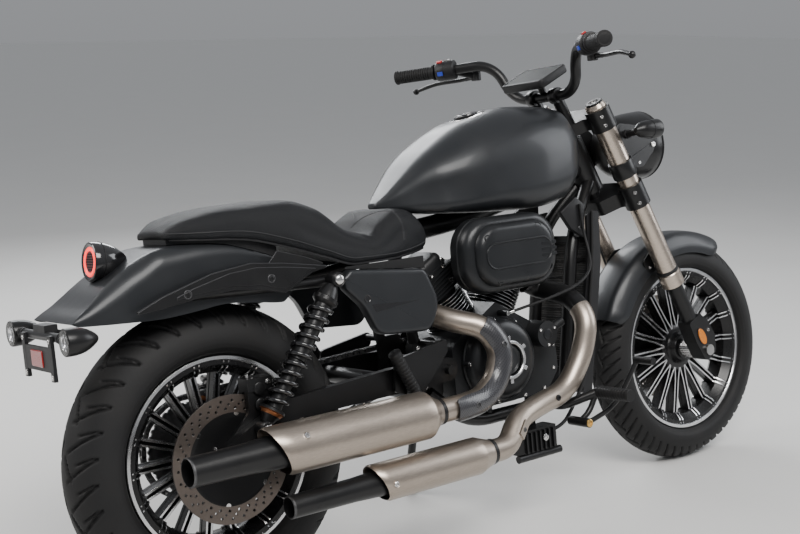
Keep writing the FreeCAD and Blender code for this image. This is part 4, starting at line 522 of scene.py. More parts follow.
def use_group(tree, name, **values):
    node = tree.nodes.new("ShaderNodeGroup")
    node.node_tree = bpy.data.node_groups[name]
    for label, value in values.items():
        node.inputs[label].default_value = value
    return node


def blend_colour(tree, factor, a, b):
    node = tree.nodes.new("ShaderNodeMix")
    node.data_type = "RGBA"
    for socket, value in ((node.inputs["Factor"], factor), (node.inputs[6], a), (node.inputs[7], b)):
        if isinstance(value, bpy.types.NodeSocket):
            tree.links.new(value, socket)
        elif isinstance(value, (int, float)):
            socket.default_value = value
        else:
            socket.default_value = (*tuple(value)[:3], 1.0)
    return node.outputs[2]


def lighter(colour, factor):
    return tuple(min(1.0, c * factor) for c in tuple(colour)[:3])


def finish(name, colour, rough, metal=0.0, grain=400.0, vary=0.12, bump=0.05, wear=0.0,
           wear_colour=(0.3, 0.3, 0.3), dust=0.05, coat=0.0, pattern=None, specular=0.5,
           dust_colour=(0.22, 0.19, 0.16)):
    """A finish with grain in its colour and gloss, worn edges and a little dust."""
    material = bpy.data.materials.new(name)
    material.use_nodes = True
    tree = material.node_tree
    shader = tree.nodes["Principled BSDF"]
    shader.inputs["Metallic"].default_value = metal
    shader.inputs["Specular IOR Level"].default_value = specular
    shader.inputs["Coat Weight"].default_value = coat
    shader.inputs["Coat Roughness"].default_value = 0.12
    fine = use_group(tree, "Fine grain", Scale=grain)
    height = fine.outputs["Height"]
    base = blend_colour(tree, fine.outputs["Value"], lighter(colour, 1 - vary * 1.6),
                        lighter(colour, 1 + vary * 1.6))
    gloss = fine.outputs["Value"]
    if pattern:
        base, height, gloss = pattern(tree, base, height, gloss, colour)
    if wear:
        worn = use_group(tree, "Worn edges", Amount=wear)
        base = blend_colour(tree, worn.outputs["Mask"], base, wear_colour)
    if dust:
        settled = use_group(tree, "Settled dust", Amount=dust)
        base = blend_colour(tree, settled.outputs["Mask"], base, dust_colour)
    tree.links.new(base, shader.inputs["Base Color"])
    spread = tree.nodes.new("ShaderNodeMapRange")
    tree.links.new(gloss, spread.inputs["Value"])
    spread.inputs["From Min"].default_value = 0.25
    spread.inputs["From Max"].default_value = 0.75
    spread.inputs["To Min"].default_value = max(0.02, rough - 0.07)
    spread.inputs["To Max"].default_value = min(1.0, rough + 0.07)
    tree.links.new(spread.outputs["Result"], shader.inputs["Roughness"])
    if bump:
        relief = tree.nodes.new("ShaderNodeBump")
        relief.inputs["Strength"].default_value = min(1.0, bump * 4)
        relief.inputs["Distance"].default_value = 0.0006
        tree.links.new(height, relief.inputs["Height"])
        tree.links.new(relief.outputs["Normal"], shader.inputs["Normal"])
    return material


def leather_pattern(tree, base, height, gloss, colour):
    """Pebbled grain with fine creases between the pebbles; the creases are painted darker, as painted shade.
    """
    coords = tree.nodes.new("ShaderNodeTexCoord").outputs["Object"]
    cells = tree.nodes.new("ShaderNodeTexVoronoi")
    cells.feature = "DISTANCE_TO_EDGE"
    cells.inputs["Scale"].default_value = 620.0
    tree.links.new(coords, cells.inputs["Vector"])
    crease = ramp_node(tree, cells.outputs["Distance"], 0.0, 0.22)
    height = math_node(tree, "ADD", crease, math_node(tree, "MULTIPLY", height, 0.4))
    # The creases are darkened to 0.6 of the cover's colour: painted shade in them.
    base = blend_colour(tree, crease, lighter(colour, 0.6), base)
    return base, height, gloss


def brushed_pattern(tree, base, height, gloss, colour):
    """Fine scratches drawn out along the cycle, as on blasted and brushed tube."""
    coords = tree.nodes.new("ShaderNodeTexCoord").outputs["Object"]
    mapping = tree.nodes.new("ShaderNodeMapping")
    mapping.inputs["Scale"].default_value = (0.16, 1.0, 1.0)
    tree.links.new(coords, mapping.inputs["Vector"])
    streak = noise_node(tree, 520.0, 5.0, mapping.outputs["Vector"])
    base = blend_colour(tree, ramp_node(tree, streak, 0.3, 0.7), lighter(colour, 0.86), base)
    gloss = math_node(tree, "MULTIPLY", gloss, 0.4)
    gloss = math_node(tree, "ADD", math_node(tree, "MULTIPLY", streak, 0.6), gloss)
    height = math_node(tree, "MULTIPLY", streak, 0.7)
    return base, height, gloss


def weave_pattern(tree, base, height, gloss, colour):
    """Twill of fine bands laid across each other, as in carbon cloth."""
    coords = tree.nodes.new("ShaderNodeTexCoord").outputs["Object"]
    mapping = tree.nodes.new("ShaderNodeMapping")
    mapping.inputs["Rotation"].default_value = (0.0, 0.7854, 0.0)
    tree.links.new(coords, mapping.inputs["Vector"])
    bands = []
    for direction in ("X", "Z"):
        wave = tree.nodes.new("ShaderNodeTexWave")
        wave.bands_direction = direction
        wave.inputs["Scale"].default_value = 62.0
        wave.inputs["Distortion"].default_value = 0.4
        tree.links.new(mapping.outputs["Vector"], wave.inputs["Vector"])
        bands.append(wave.outputs["Fac"])
    cloth = math_node(tree, "MAXIMUM", math_node(tree, "MULTIPLY", bands[0], 0.7), bands[1])
    base = blend_colour(tree, cloth, lighter(colour, 0.45), lighter(colour, 1.9))
    return base, cloth, gloss


def fin_light_and_shade_pattern(tree, base, height, gloss, colour):
    """Close rows of folded cooling fins, painted as light bands for lit fins and dark bands for the shade
    between them.
    """
    coords = tree.nodes.new("ShaderNodeTexCoord").outputs["Object"]
    wave = tree.nodes.new("ShaderNodeTexWave")
    wave.bands_direction = "Z"
    wave.inputs["Scale"].default_value = 55.0
    tree.links.new(coords, wave.inputs["Vector"])
    # Bands from 0.3 to 2.4 times the fins' colour: painted shade in the gaps and a painted highlight on the
    # fins.
    base = blend_colour(tree, wave.outputs["Fac"], lighter(colour, 0.3), lighter(colour, 2.4))
    return base, wave.outputs["Fac"], gloss


def prism_pattern(tree, base, height, gloss, colour):
    """Small moulded prisms of a lens or reflector."""
    prisms = use_group(tree, "Moulded prisms", Scale=300.0)
    base = blend_colour(tree, prisms.outputs["Slope"], lighter(colour, 1.5), lighter(colour, 0.6))
    return base, prisms.outputs["Height"], gloss


def glass_finish(name, colour, rough=0.03):
    """Clear or tinted moulded glass with faint flow in its surface."""
    material = bpy.data.materials.new(name)
    material.use_nodes = True
    tree = material.node_tree
    shader = tree.nodes["Principled BSDF"]
    shader.inputs["Metallic"].default_value = 0.0
    shader.inputs["Transmission Weight"].default_value = 1.0
    shader.inputs["IOR"].default_value = 1.45
    flow = noise_node(tree, 180.0, 2.0)
    tree.links.new(blend_colour(tree, flow, colour, lighter(colour, 0.93)), shader.inputs["Base Color"])
    spread = tree.nodes.new("ShaderNodeMapRange")
    tree.links.new(flow, spread.inputs["Value"])
    spread.inputs["To Min"].default_value = rough
    spread.inputs["To Max"].default_value = rough + 0.04
    tree.links.new(spread.outputs["Result"], shader.inputs["Roughness"])
    return material


def light_finish(name, colour, strength):
    """A lit lens: its glow varies a little over the surface."""
    material = finish(name, colour, 0.25, grain=220.0, vary=0.1, bump=0.02, dust=0.0)
    tree = material.node_tree
    shader = tree.nodes["Principled BSDF"]
    glow = blend_colour(tree, noise_node(tree, 90.0, 2.0), lighter(colour, 0.8), colour)
    tree.links.new(glow, shader.inputs["Emission Color"])
    shader.inputs["Emission Strength"].default_value = strength
    return material


class CRUISER_OT_finishes(bpy.types.Operator):
    """Makes the finishes of the cycle"""

    bl_idname = "cruiser.finishes"
    bl_label = "Finishes"

    def execute(self, context):
        paint = context.scene.cruiser_paint
        make_groups()
        body, exhaust, black = tuple(paint.body), tuple(paint.exhaust), tuple(paint.black)
        finish("Body paint", body, 0.38, 0.3, grain=900, vary=0.05, bump=0.012, coat=0.12, dust=0.015,
               specular=0.4)
        finish("Seat cover", tuple(paint.seat), 0.52, pattern=leather_pattern, grain=300, bump=0.14,
               dust=0.006, specular=0.2)
        finish("Seat piping", lighter(paint.seat, 0.8), 0.55, grain=500, bump=0.05, dust=0.02)
        finish("Seat thread", (0.05, 0.05, 0.055), 0.7, grain=900, bump=0.1, dust=0.0)
        finish("Exhaust metal", exhaust, 0.34, 0.92, pattern=brushed_pattern, vary=0.06, bump=0.015,
               dust=0.05)
        finish("Fork metal", lighter(exhaust, 1.25), 0.27, 0.95, grain=1400, vary=0.03, bump=0.004, dust=0.01)
        finish("Bright steel", (0.62, 0.61, 0.6), 0.18, 1.0, grain=700, vary=0.04, bump=0.008, dust=0.03)
        finish("Machined edge", (0.66, 0.66, 0.67), 0.25, 1.0, grain=900, vary=0.06, bump=0.02, dust=0.03)
        finish("Disc steel", (0.33, 0.3, 0.275), 0.33, 1.0, grain=300, vary=0.16, bump=0.03, dust=0.06,
               dust_colour=(0.16, 0.08, 0.045))
        finish("Gold bolt", (0.72, 0.46, 0.16), 0.3, 1.0, grain=500, vary=0.05, bump=0.01)
        finish("Tarnished disc", (0.15, 0.125, 0.11), 0.36, 0.9, grain=260, vary=0.2, bump=0.03, dust=0.05,
               dust_colour=(0.12, 0.06, 0.04))
        finish("Dark steel", (0.075, 0.075, 0.078), 0.42, 0.9, grain=500, vary=0.15, bump=0.05, wear=0.5)
        finish("Black metal", black, 0.32, 0.1, grain=1100, vary=0.1, bump=0.03, dust=0.012, specular=0.38)
        # The chamfered rims of the strut covers get this lighter, half metallic black: a painted highlight
        # along their edges.
        finish("Black with painted edge highlight", lighter(black, 6.0), 0.3, 0.5, grain=900, vary=0.08, bump=0.02, dust=0.01)
        finish("Wheel black", black, 0.26, 0.15, grain=900, vary=0.08, bump=0.02, dust=0.015, specular=0.4)
        finish("Black plastic", (0.010, 0.010, 0.011), 0.46, grain=700, vary=0.1, bump=0.06, dust=0.012,
               specular=0.3)
        finish("Gloss black", (0.008, 0.008, 0.009), 0.12, grain=500, vary=0.05, bump=0.0, coat=0.5,
               dust=0.02)
        finish("Rubber", tuple(paint.rubber), 0.6, grain=500, vary=0.14, bump=0.1, dust=0.015, specular=0.25)
        finish("Tyre rubber", tuple(paint.rubber), 0.62, grain=160, vary=0.22, bump=0.12, dust=0.07,
               specular=0.25, dust_colour=(0.10, 0.085, 0.07))
        finish("Engine enamel", tuple(paint.engine), 0.44, 0.2, grain=600, vary=0.14, bump=0.08, dust=0.025,
               specular=0.4)
        finish("Cover enamel", lighter(paint.engine, 1.15), 0.32, 0.3, grain=700, vary=0.08, bump=0.03,
               dust=0.015, specular=0.45)
        finish("Carbon cloth", (0.022, 0.022, 0.025), 0.3, 0.2, pattern=weave_pattern, bump=0.1, coat=0.4,
               dust=0.01)
        finish("Radiator fins", (0.02, 0.02, 0.02), 0.55, 0.6, pattern=fin_light_and_shade_pattern, bump=0.16, dust=0.08)
        finish("Copper band", (0.36, 0.14, 0.06), 0.35, 0.9, grain=400, vary=0.15, bump=0.03)
        finish("Red switch", (0.45, 0.02, 0.02), 0.35, grain=500, bump=0.03)
        finish("Blue switch", (0.02, 0.05, 0.4), 0.35, grain=500, bump=0.03)
        finish("Grey switch", (0.2, 0.2, 0.2), 0.45, grain=500, bump=0.03)
        finish("Screen", (0.007, 0.0085, 0.0085), 0.5, grain=60, vary=0.1, bump=0.0, specular=0.06, dust=0.0)
        finish("Mirror bowl", (0.8, 0.8, 0.82), 0.08, 1.0, grain=200, vary=0.03, bump=0.004, dust=0.0)
        finish("Amber lens", (0.75, 0.22, 0.015), 0.2, pattern=prism_pattern, bump=0.1, coat=0.5, dust=0.02)
        finish("Red reflector", (0.4, 0.012, 0.01), 0.2, pattern=prism_pattern, bump=0.1, coat=0.5, dust=0.02)
        finish("Floor", (0.62, 0.615, 0.6), 0.72, grain=120, vary=0.03, bump=0.02, dust=0.0)
        glass_finish("Clear lens", (0.96, 0.97, 0.98))
        light_finish("Lit red ring", tuple(paint.tail_light), 2.2)
        light_finish("Lit white ring", (0.9, 0.92, 1.0), 0.6)
        finish("Red lens", (0.16, 0.006, 0.006), 0.15, pattern=prism_pattern, bump=0.08, coat=0.6, dust=0.0)
        return {"FINISHED"}


NO_TREAD = 1e4
ROUND_STEPS = 880


def tread_depth(around, across, crown, pitch, depth):
    """How deep the tread is cut at each point, from the way round and the way across, in millimetres."""
    size = crown / 75
    side = np.where(across > 0, 1.0, -1.0)
    away = np.abs(across) / size
    shifted = around + np.where(side > 0, pitch / 2, 0.0)

    def cut(value, period, width, low, high):
        width *= size
        gap = np.abs((value + period / 2) % period - period / 2)
        line = np.clip(1.6 - gap / width, 0, 1)
        ends = np.clip((away - low) / 3, 0, 1) * np.clip((high - away) / 3, 0, 1)
        return line * ends

    slanted = cut(shifted + 0.75 * away * size, pitch, 3.3, 12, 84)
    short = cut(shifted + pitch * 0.5 + 0.45 * away * size, pitch, 2.6, 36, 76)
    long = cut(shifted - 2.3 * (away - 6) * size, pitch * 2, 5.4, 5, 28)
    return depth * np.clip(np.maximum(np.maximum(slanted, long), short * 0.8), 0, 1)


def tyre_form(axle, radius, crown, flange, rim_width, pitch, depth):
    """A road tyre: a cut tread over a round crown, ridged walls and beads in the rim.

    Its section holds (across, radius, way round the crown), where NO_TREAD marks the walls.
    """
    heel = rim_width / 2 - 7.3
    middle = radius - crown
    wall = ((heel * 0.3 + crown * 0.7), (flange + middle) / 2 - 3)
    bend = (2 * wall[0] - (crown + heel) / 2, 2 * wall[1] - (middle + flange + 1) / 2)
    section = []
    for k in range(65):
        angle = math.radians(-86 + 172 * k / 64)
        section.append((crown * math.sin(angle), middle + crown * math.cos(angle), crown * angle))
    lower = []
    for k in range(1, 15):
        t = k / 14
        y = crown * (1 - t) ** 2 + 2 * bend[0] * t * (1 - t) + heel * t * t
        r = middle * (1 - t) ** 2 + 2 * bend[1] * t * (1 - t) + (flange + 1) * t * t
        ridge = 0.9 if k in (5, 9) else 0.0
        lower.append((y + ridge, r, NO_TREAD))
    lower += [(heel, flange - 8, NO_TREAD), (heel - 9, flange - 9, NO_TREAD), (heel - 9, flange, NO_TREAD)]
    section = [(-y, r, -s) for y, r, s in reversed(lower)] + section + lower
    ys, rs, ss = (np.array(column) for column in zip(*section))
    angles = np.linspace(0, 2 * math.pi, ROUND_STEPS, endpoint=False)
    turns = max(1, round(2 * math.pi * radius / (pitch * 2))) * 2
    step = 2 * math.pi * radius / turns
    across = np.tile(ss, (ROUND_STEPS, 1))
    spin = np.repeat((angles / (2 * math.pi) * turns * step)[:, None], len(section), 1)
    cut = np.where(np.abs(across) < NO_TREAD, tread_depth(spin, across, crown, step, depth), 0.0)
    lean = np.arctan2(ys, rs - middle)
    sunk_y = ys[None, :] - cut * np.sin(lean)[None, :]
    sunk_r = rs[None, :] - cut * np.cos(lean)[None, :]
    x = sunk_r * np.cos(angles)[:, None]
    z = sunk_r * np.sin(angles)[:, None]
    form = Form(Matrix.Translation(axle))
    points = np.stack([x, np.broadcast_to(sunk_y, x.shape), z], -1).reshape(-1, 3)
    size = len(section)
    faces = []
    for r in range(ROUND_STEPS):
        a, b = r * size, ((r + 1) % ROUND_STEPS) * size
        faces += [(a + k, a + k + 1, b + k + 1, b + k) for k in range(size - 1)]
    form.add(points.tolist(), faces)
    return form


class CRUISER_OT_tyres(bpy.types.Operator):
    """Makes both tyres with their cut tread"""

    bl_idname = "cruiser.tyres"
    bl_label = "Tyres"

    def execute(self, context):
        sizes = context.scene.cruiser_sizes
        pitch, depth = sizes.tread_pitch / MM, sizes.groove / MM
        rear = tyre_form(REAR_AXLE, 310, 75, 205, 104, pitch, depth)
        build(rear, "rear_tyre_tread", "rear_wheel", "Tyre rubber", "rear_tyre", sharp=60,
              weld=False)
        front = tyre_form(FRONT_AXLE, 299, 60, 217, 84, pitch * 0.55, depth * 0.85)
        build(front, "front_tyre_tread", "front_wheel", "Tyre rubber", "front_tyre", sharp=60,
              weld=False)
        return {"FINISHED"}


def rib(form, stations, e_r, e_t, ink=0):
    """A square rib through stations (radius, offset round, half width, low y, high y)."""
    rings = []
    for reach, offset, half, low, high in stations:
        middle = e_r * reach + e_t * offset
        rings.append([
            middle - e_t * half + Vector((0, low, 0)), middle + e_t * half + Vector((0, low, 0)),
            middle + e_t * half + Vector((0, high, 0)), middle - e_t * half + Vector((0, high, 0)),
        ])
    form.rings(rings, ink)


def wheel_form(axle, flange, rim_width, hub_half, spokes):
    """A cast wheel: black rim, hub and double ribs with machined edges."""
    form = Form(Matrix.Translation(axle))
    half = rim_width / 2
    seat = flange - 14
    well = seat - 16
    wall = 6
    rim = [
        (-half, flange - 8), (-half, flange - 1.5), (-half + 1.5, flange), (-half + 7, flange),
        (-half + 7, seat), (-half / 2 - 4, seat - 3), (-half / 2 + 8, well), (half / 2 - 8, well),
        (half / 2 + 4, seat - 3), (half - 7, seat), (half - 7, flange), (half - 1.5, flange),
        (half, flange - 1.5), (half, flange - 8), (half - 2.5, flange - 10), (half - 2.5, seat - wall + 1),
        (half - 6, seat - wall - 2), (half / 2, well - wall), (-half / 2, well - wall),
        (-half + 6, seat - wall - 2), (-half + 2.5, seat - wall + 1), (-half + 2.5, flange - 10),
    ]
    inks = [1, 1] + [0] * 9 + [1, 1, 1] + [0] * 7 + [1]
    form.lathe(rim, axis="Y", sides=144, ink=inks, closed=True)
    depth, floor, foot = 15, 7, 58
    shoulder = hub_half - 6
    hub = [
        (-hub_half, 10), (-hub_half, 26), (-hub_half + 1, 28), (-shoulder, 28), (-shoulder, 34),
        (-shoulder + 2, 36), (-depth - 6, 39), (-depth, 44), (-depth, 58), (-depth + 2, 62), (depth - 2, 62),
        (depth, 58), (depth, 44), (depth + 6, 39), (shoulder - 2, 36), (shoulder, 34), (shoulder, 28),
        (hub_half - 1, 28), (hub_half, 26), (hub_half, 10),
    ]
    form.lathe(hub, axis="Y", sides=72, ink=0)
    for index in range(spokes):
        angle = 2 * math.pi * index / spokes
        e_r = Vector((math.cos(angle), 0, math.sin(angle)))
        e_t = Vector((-math.sin(angle), 0, math.cos(angle)))
        rib(form, [(foot - 4, 0, 9.4, -floor, floor), (80, 0, 7.4, -floor, floor),
                   (well - 3, 0, 7, -floor, floor)], e_r, e_t)
        for side in (-1, 1):
            for sign in (-1, 1):
                low, high = side * (floor - 1), side * depth
                path = ((foot - 3, 8.9), (72, 7.2), (92, 5.8), (well - 4, 5.6))
                rib(form, [(r, sign * t, 2.4, low, high) for r, t in path], e_r, e_t)
                rib(form, [(r, sign * t, 2.0, high - side * 0.8, high + side * 0.15) for r, t in path], e_r,
                    e_t, 1)
                lip = ((depth - 1, well - wall - 3.5), (half / 2, well - wall - 3.5),
                       (half - 6, seat - wall - 5), (half - 1.2, flange - 12))
                for drop, wide, thick, ink in ((0, 1.9, 5, 0), (0.2, 1.45, 0.8, 1)):
                    rings = []
                    for y, r in lip:
                        middle = e_r * (r - drop) + e_t * sign * 5.6 + Vector((0, side * y, 0))
                        low, high = middle, middle + e_r * thick
                        rings.append([low - e_t * wide, low + e_t * wide, high + e_t * wide,
                                      high - e_t * wide])
                    form.rings(rings, ink)
    valve = Vector((math.cos(0.4), 0, math.sin(0.4)))
    form.rod(valve * (well - 30) + Vector((0, 8, 0)), valve * well, 3, 0, 12)
    return form


class CRUISER_OT_wheels(bpy.types.Operator):
    """Makes the cast wheels with their machined ribs"""

    bl_idname = "cruiser.wheels"
    bl_label = "Wheels"

    def execute(self, context):
        spokes = context.scene.cruiser_sizes.spokes
        front = wheel_form(FRONT_AXLE, 217, 84, 40, spokes)
        build(front, "front_wheel_casting", "front_wheel", ["Wheel black", "Machined edge"], "front_rim",
              bevel=0.5)
        rear = wheel_form(REAR_AXLE, 205, 104, 84, spokes)
        build(rear, "rear_wheel_casting", "rear_wheel", ["Wheel black", "Machined edge"], "rear_rim",
              bevel=0.5)
        return {"FINISHED"}


def pierced_ring(form, inner, outer, low, high, holes, sides=144):
    """A flat ring about Y with round holes: each (reach, angle, radius) hole sits in its own cell."""
    loops = [circle(inner, sides), circle(outer, sides)]
    for reach, angle, radius in holes:
        loops.append(circle(radius, 14, reach * math.cos(angle), reach * math.sin(angle)))
    net = bmesh.new()
    edges = []
    for loop in loops:
        ring = [net.verts.new((x, 0, z)) for x, z in loop]
        edges += [net.edges.new(pair) for pair in zip(ring, ring[1:] + ring[:1])]
    bmesh.ops.triangle_fill(net, use_beauty=True, edges=edges, normal=(0, 1, 0))
    net.verts.index_update()
    flat = [v.co.copy() for v in net.verts]
    faces = [tuple(v.index for v in f.verts) for f in net.faces]
    rim_edges = [tuple(v.index for v in e.verts) for e in net.edges if len(e.link_faces) == 1]
    net.free()
    count = len(flat)
    points = [(p.x, low, p.z) for p in flat] + [(p.x, high, p.z) for p in flat]
    solid = [tuple(reversed(f)) for f in faces] + [tuple(i + count for i in f) for f in faces]
    solid += [(a, b, b + count, a + count) for a, b in rim_edges]
    form.add(points, solid)


def disc_form(axle, radius, band, plane, side, hub_half):
    """A drilled brake disc on a dark carrier with its buttons and bolts."""
    form = Form(Matrix.Translation(axle))
    low, high = side * (plane - 2.25), side * (plane + 2.25)
    inner = radius - band
    holes = []
    for index in range(30):
        base = 2 * math.pi * index / 30
        for step, share in enumerate((0.2, 0.42, 0.64)):
            holes.append((radius - band * (0.12 + share), base + step * 0.07, 2.6 if step % 2 else 3.1))
    pierced_ring(form, inner, radius, low, high, holes)
    shoulder = hub_half - 6
    form.lathe([
        (side * shoulder, 28.4), (side * (shoulder + 6), 28.4), (side * (shoulder + 6), 44),
        (side * (plane - 1), inner - 12), (side * (plane + 1.6), inner - 6),
        (side * (plane + 1.6), inner + 1), (side * (plane - 1.6), inner + 1),
        (side * (plane - 3), inner - 10), (side * shoulder, 48),
    ], axis="Y", sides=96, ink=1, closed=True)
    for index in range(6):
        out = round_spot(60 * (index + 0.3))
        form.bolt(out * 37 + Vector((0, side * (shoulder + 6), 0)), (0, side, 0), 4.2, 3.0, 2, "socket")
        spot, way = out * (inner - 1) + Vector((0, side * plane, 0)), Vector((0, side * 2.2, 0))
        form.rod(spot - way, spot + way, 5.5, 2, 20)
    return form


class CRUISER_OT_brakes(bpy.types.Operator):
    """Makes the brake discs and finishes the calipers"""

    bl_idname = "cruiser.brakes"
    bl_label = "Brakes"

    def execute(self, context):
        front = disc_form(FRONT_AXLE, 140, 40, 58, 1, 40)
        build(front, "front_brake_disc", "front_wheel", ["Disc steel", "Black metal", "Bright steel"],
              "front_disc", bevel=0.25)
        rear = disc_form(REAR_AXLE, 130, 36, 96, -1, 84)
        build(rear, "rear_brake_disc", "rear_wheel", ["Tarnished disc", "Black metal", "Bright steel"],
              "rear_disc", bevel=0.25)
        dress("front_caliper", "Black metal")
        dress("rear_caliper", "Black metal")
        front = Form(TURN_FORK)
        for z in (-20, 20):
            front.lathe([(85, 0), (85, 15), (87, 15), (88, 13), (88, 0)], centre=(-86, 0, 104 + z), axis="Y",
                        sides=28, ink=0)
        front.bolt((-46, 84, 83), (0, 1, 0), 5, 4, 1)
        build(front, "front_caliper_caps", "fork", ["Black metal", "Bright steel"], bevel=0.4)
        rear = Form()
        for x, z in ((58, 412), (58, 444)):
            rear.lathe([(-117, 0), (-117, 13), (-119.5, 13), (-120.5, 11), (-120.5, 0)], centre=(x + 8, 0, z),
                       axis="Y", sides=24, ink=0)
        rear.bolt((86, -118, 455), (0, -1, 0), 4.5, 4, 1)
        rear.rod((50, -100, 466), (50, -100, 474), 3.5, 1, 12)
        build(rear, "rear_caliper_caps", "frame", ["Black metal", "Bright steel"], bevel=0.4)
        return {"FINISHED"}


DRIVE_SPROCKET = Vector((612, 406))
CHAIN_PITCH = 15.875
CHAIN_PLANE = 92


def chain_line(big, small):
    """The chain's middle line round both sprockets, as points (x, z), from their radii."""
    a, b = Vector((0, REAR_AXLE.z)), DRIVE_SPROCKET
    away = b - a
    slope = math.atan2(away.y, away.x)
    spread = math.acos((big - small) / away.length)
    line = []
    for k in range(41):
        angle = slope + spread + (2 * math.pi - 2 * spread) * k / 40
        line.append(a + Vector((math.cos(angle), math.sin(angle))) * big)
    for k in range(31):
        angle = slope - spread + 2 * spread * k / 30
        line.append(b + Vector((math.cos(angle), math.sin(angle))) * small)
    line.append(line[0])
    return line


def spaced(line, pitch):
    """An even number of points about one pitch apart along a closed line."""
    lengths = [0.0]
    for p, q in zip(line, line[1:]):
        lengths.append(lengths[-1] + (q - p).length)
    count = int(lengths[-1] / pitch / 2) * 2
    result = []
    index = 0
    for k in range(count):
        want = lengths[-1] * k / count
        while lengths[index + 1] < want:
            index += 1
        share = (want - lengths[index]) / (lengths[index + 1] - lengths[index])
        result.append(line[index] + (line[index + 1] - line[index]) * share)
    return result


class CRUISER_OT_drive(bpy.types.Operator):
    """Makes the drive chain link by link and finishes the sprocket"""

    bl_idname = "cruiser.drive"
    bl_label = "Chain drive"

    def execute(self, context):
        spots = spaced(chain_line(107, 42), CHAIN_PITCH)
        form = Form()
        for index, (here, there) in enumerate(zip(spots, spots[1:] + spots[:1])):
            along = (there - here).normalized()
            across = Vector((-along.y, along.x))
            outline = []
            for centre, sign in ((here, -1), (there, 1)):
                for k in range(7):
                    angle = math.radians(-90 + 180 * k / 6)
                    way = along * math.cos(angle) + across * math.sin(angle)
                    outline.append(centre + way * (sign * 5.6))
            reach = 6.6 if index % 2 else 4.9
            for side in (-1, 1):
                low, high = CHAIN_PLANE + side * (reach - 1.6), CHAIN_PLANE + side * reach
                form.plate([(p.x, p.y) for p in outline], low, high, 0)
            for half, radius, sides in ((6.9, 2.6, 10), (3.4, 4.6, 12)):
                form.rod((here.x, CHAIN_PLANE - half, here.y), (here.x, CHAIN_PLANE + half, here.y), radius,
                         1, sides)
        build(form, "drive_chain", "frame", ["Dark steel", "Bright steel"], "chain", sharp=30,
              weld=False)
        dress("rear_sprocket", "Dark steel")
        return {"FINISHED"}


class CRUISER_OT_fork(bpy.types.Operator):
    """Finishes the fork legs and adds their caps, bolts and reflectors"""

    bl_idname = "cruiser.fork"
    bl_label = "Fork"

    def execute(self, context):
        dress("fork_tubes", "Fork metal")
        dress("fork_sliders", "Black metal")
        dress("fork_clamps", "Black metal")
        dress("front_axle", "Bright steel")
        trim = Form(TURN_FORK)
        names = ["Black metal", "Bright steel", "Amber lens", "Black plastic"]
        for out in (-1, 1):
            side = out * LEG_OFFSET
            trim.lathe([(745, 0), (745, 22), (748, 22), (750, 20), (750, 12)], (0, side, 0), "Z", 36, 0)
            trim.lathe([(750, 12), (747, 12), (747, 0)], (0, side, 0), "Z", 6, 1)
            trim.lathe([(246, 26.6), (250, 28.6), (256, 28.6), (258, 26.7)], (0, side, 0), "Z", 48, 3)
            for low, high in ((453, 515), (676, 732)):
                for height in (low + 16, high - 16):
                    trim.bolt((-20, side + out * 26, height), (-0.25, out, 0), 5.2, 4.5, 1, "socket")
            oval = [(u * 0.5, v) for u, v in circle(24, 28)]
            trim.plate([(u - 2, v + 44) for u, v in oval], side + out * 21, side + out * 25, 2, lip=1.2)
            back = [(u * 1.14 - 2, v * 1.1 + 44) for u, v in oval]
            trim.plate(back, side + out * 20.5, side + out * 22.5, 3)
            trim.bolt((26, side + out * 21, 46), (0, out, 0), 4.6, 4, 1, "socket")
            trim.bolt((10, side + out * 21, -14), (0, out, 0), 4.6, 4, 1, "socket")
            nut = [(20, 15), (23.5, 15), (25, 13), (25, 7)]
            trim.lathe([(side + out * along, r) for along, r in nut], axis="Y", sides=6, ink=1)
        trim.lathe([(732, 0), (732, 19), (736, 19), (742, 15), (742, 0)], centre=(-40, 0, 0), axis="Z",
                   sides=6, ink=1)
        trim.lathe([(-75.5, 9.8), (-75.5, 15.5), (-74, 17), (-56, 17), (-54, 15), (-46, 15), (-44, 13),
                    (-44, 9.8)],
                   axis="Y", sides=48, ink=1)
        build(trim, "fork_trim", "fork", names, bevel=0.3)
        return {"FINISHED"}


def front_fender_section(half, outer, wall):
    """The fender's section as (across, radius) points: out over the crown and back inside."""
    out = []
    for k in range(29):
        t = -1 + 2 * k / 28
        y = half * math.sin(t * math.pi / 2)
        edge = abs(y) / half
        r = outer - 2.2 * (edge / 0.5) ** 2 if edge < 0.5 else outer - 2.2 - 34 * ((edge - 0.5) / 0.5) ** 2.4
        out.append((y, r))
    out = [(-half, outer - 60), (-half, outer - 48)] + out + [(half, outer - 48), (half, outer - 60)]
    inner = [(y * (half - wall) / half, r - (wall if abs(y) < half * 0.97 else 0)) for y, r in reversed(out)]
    return out, inner


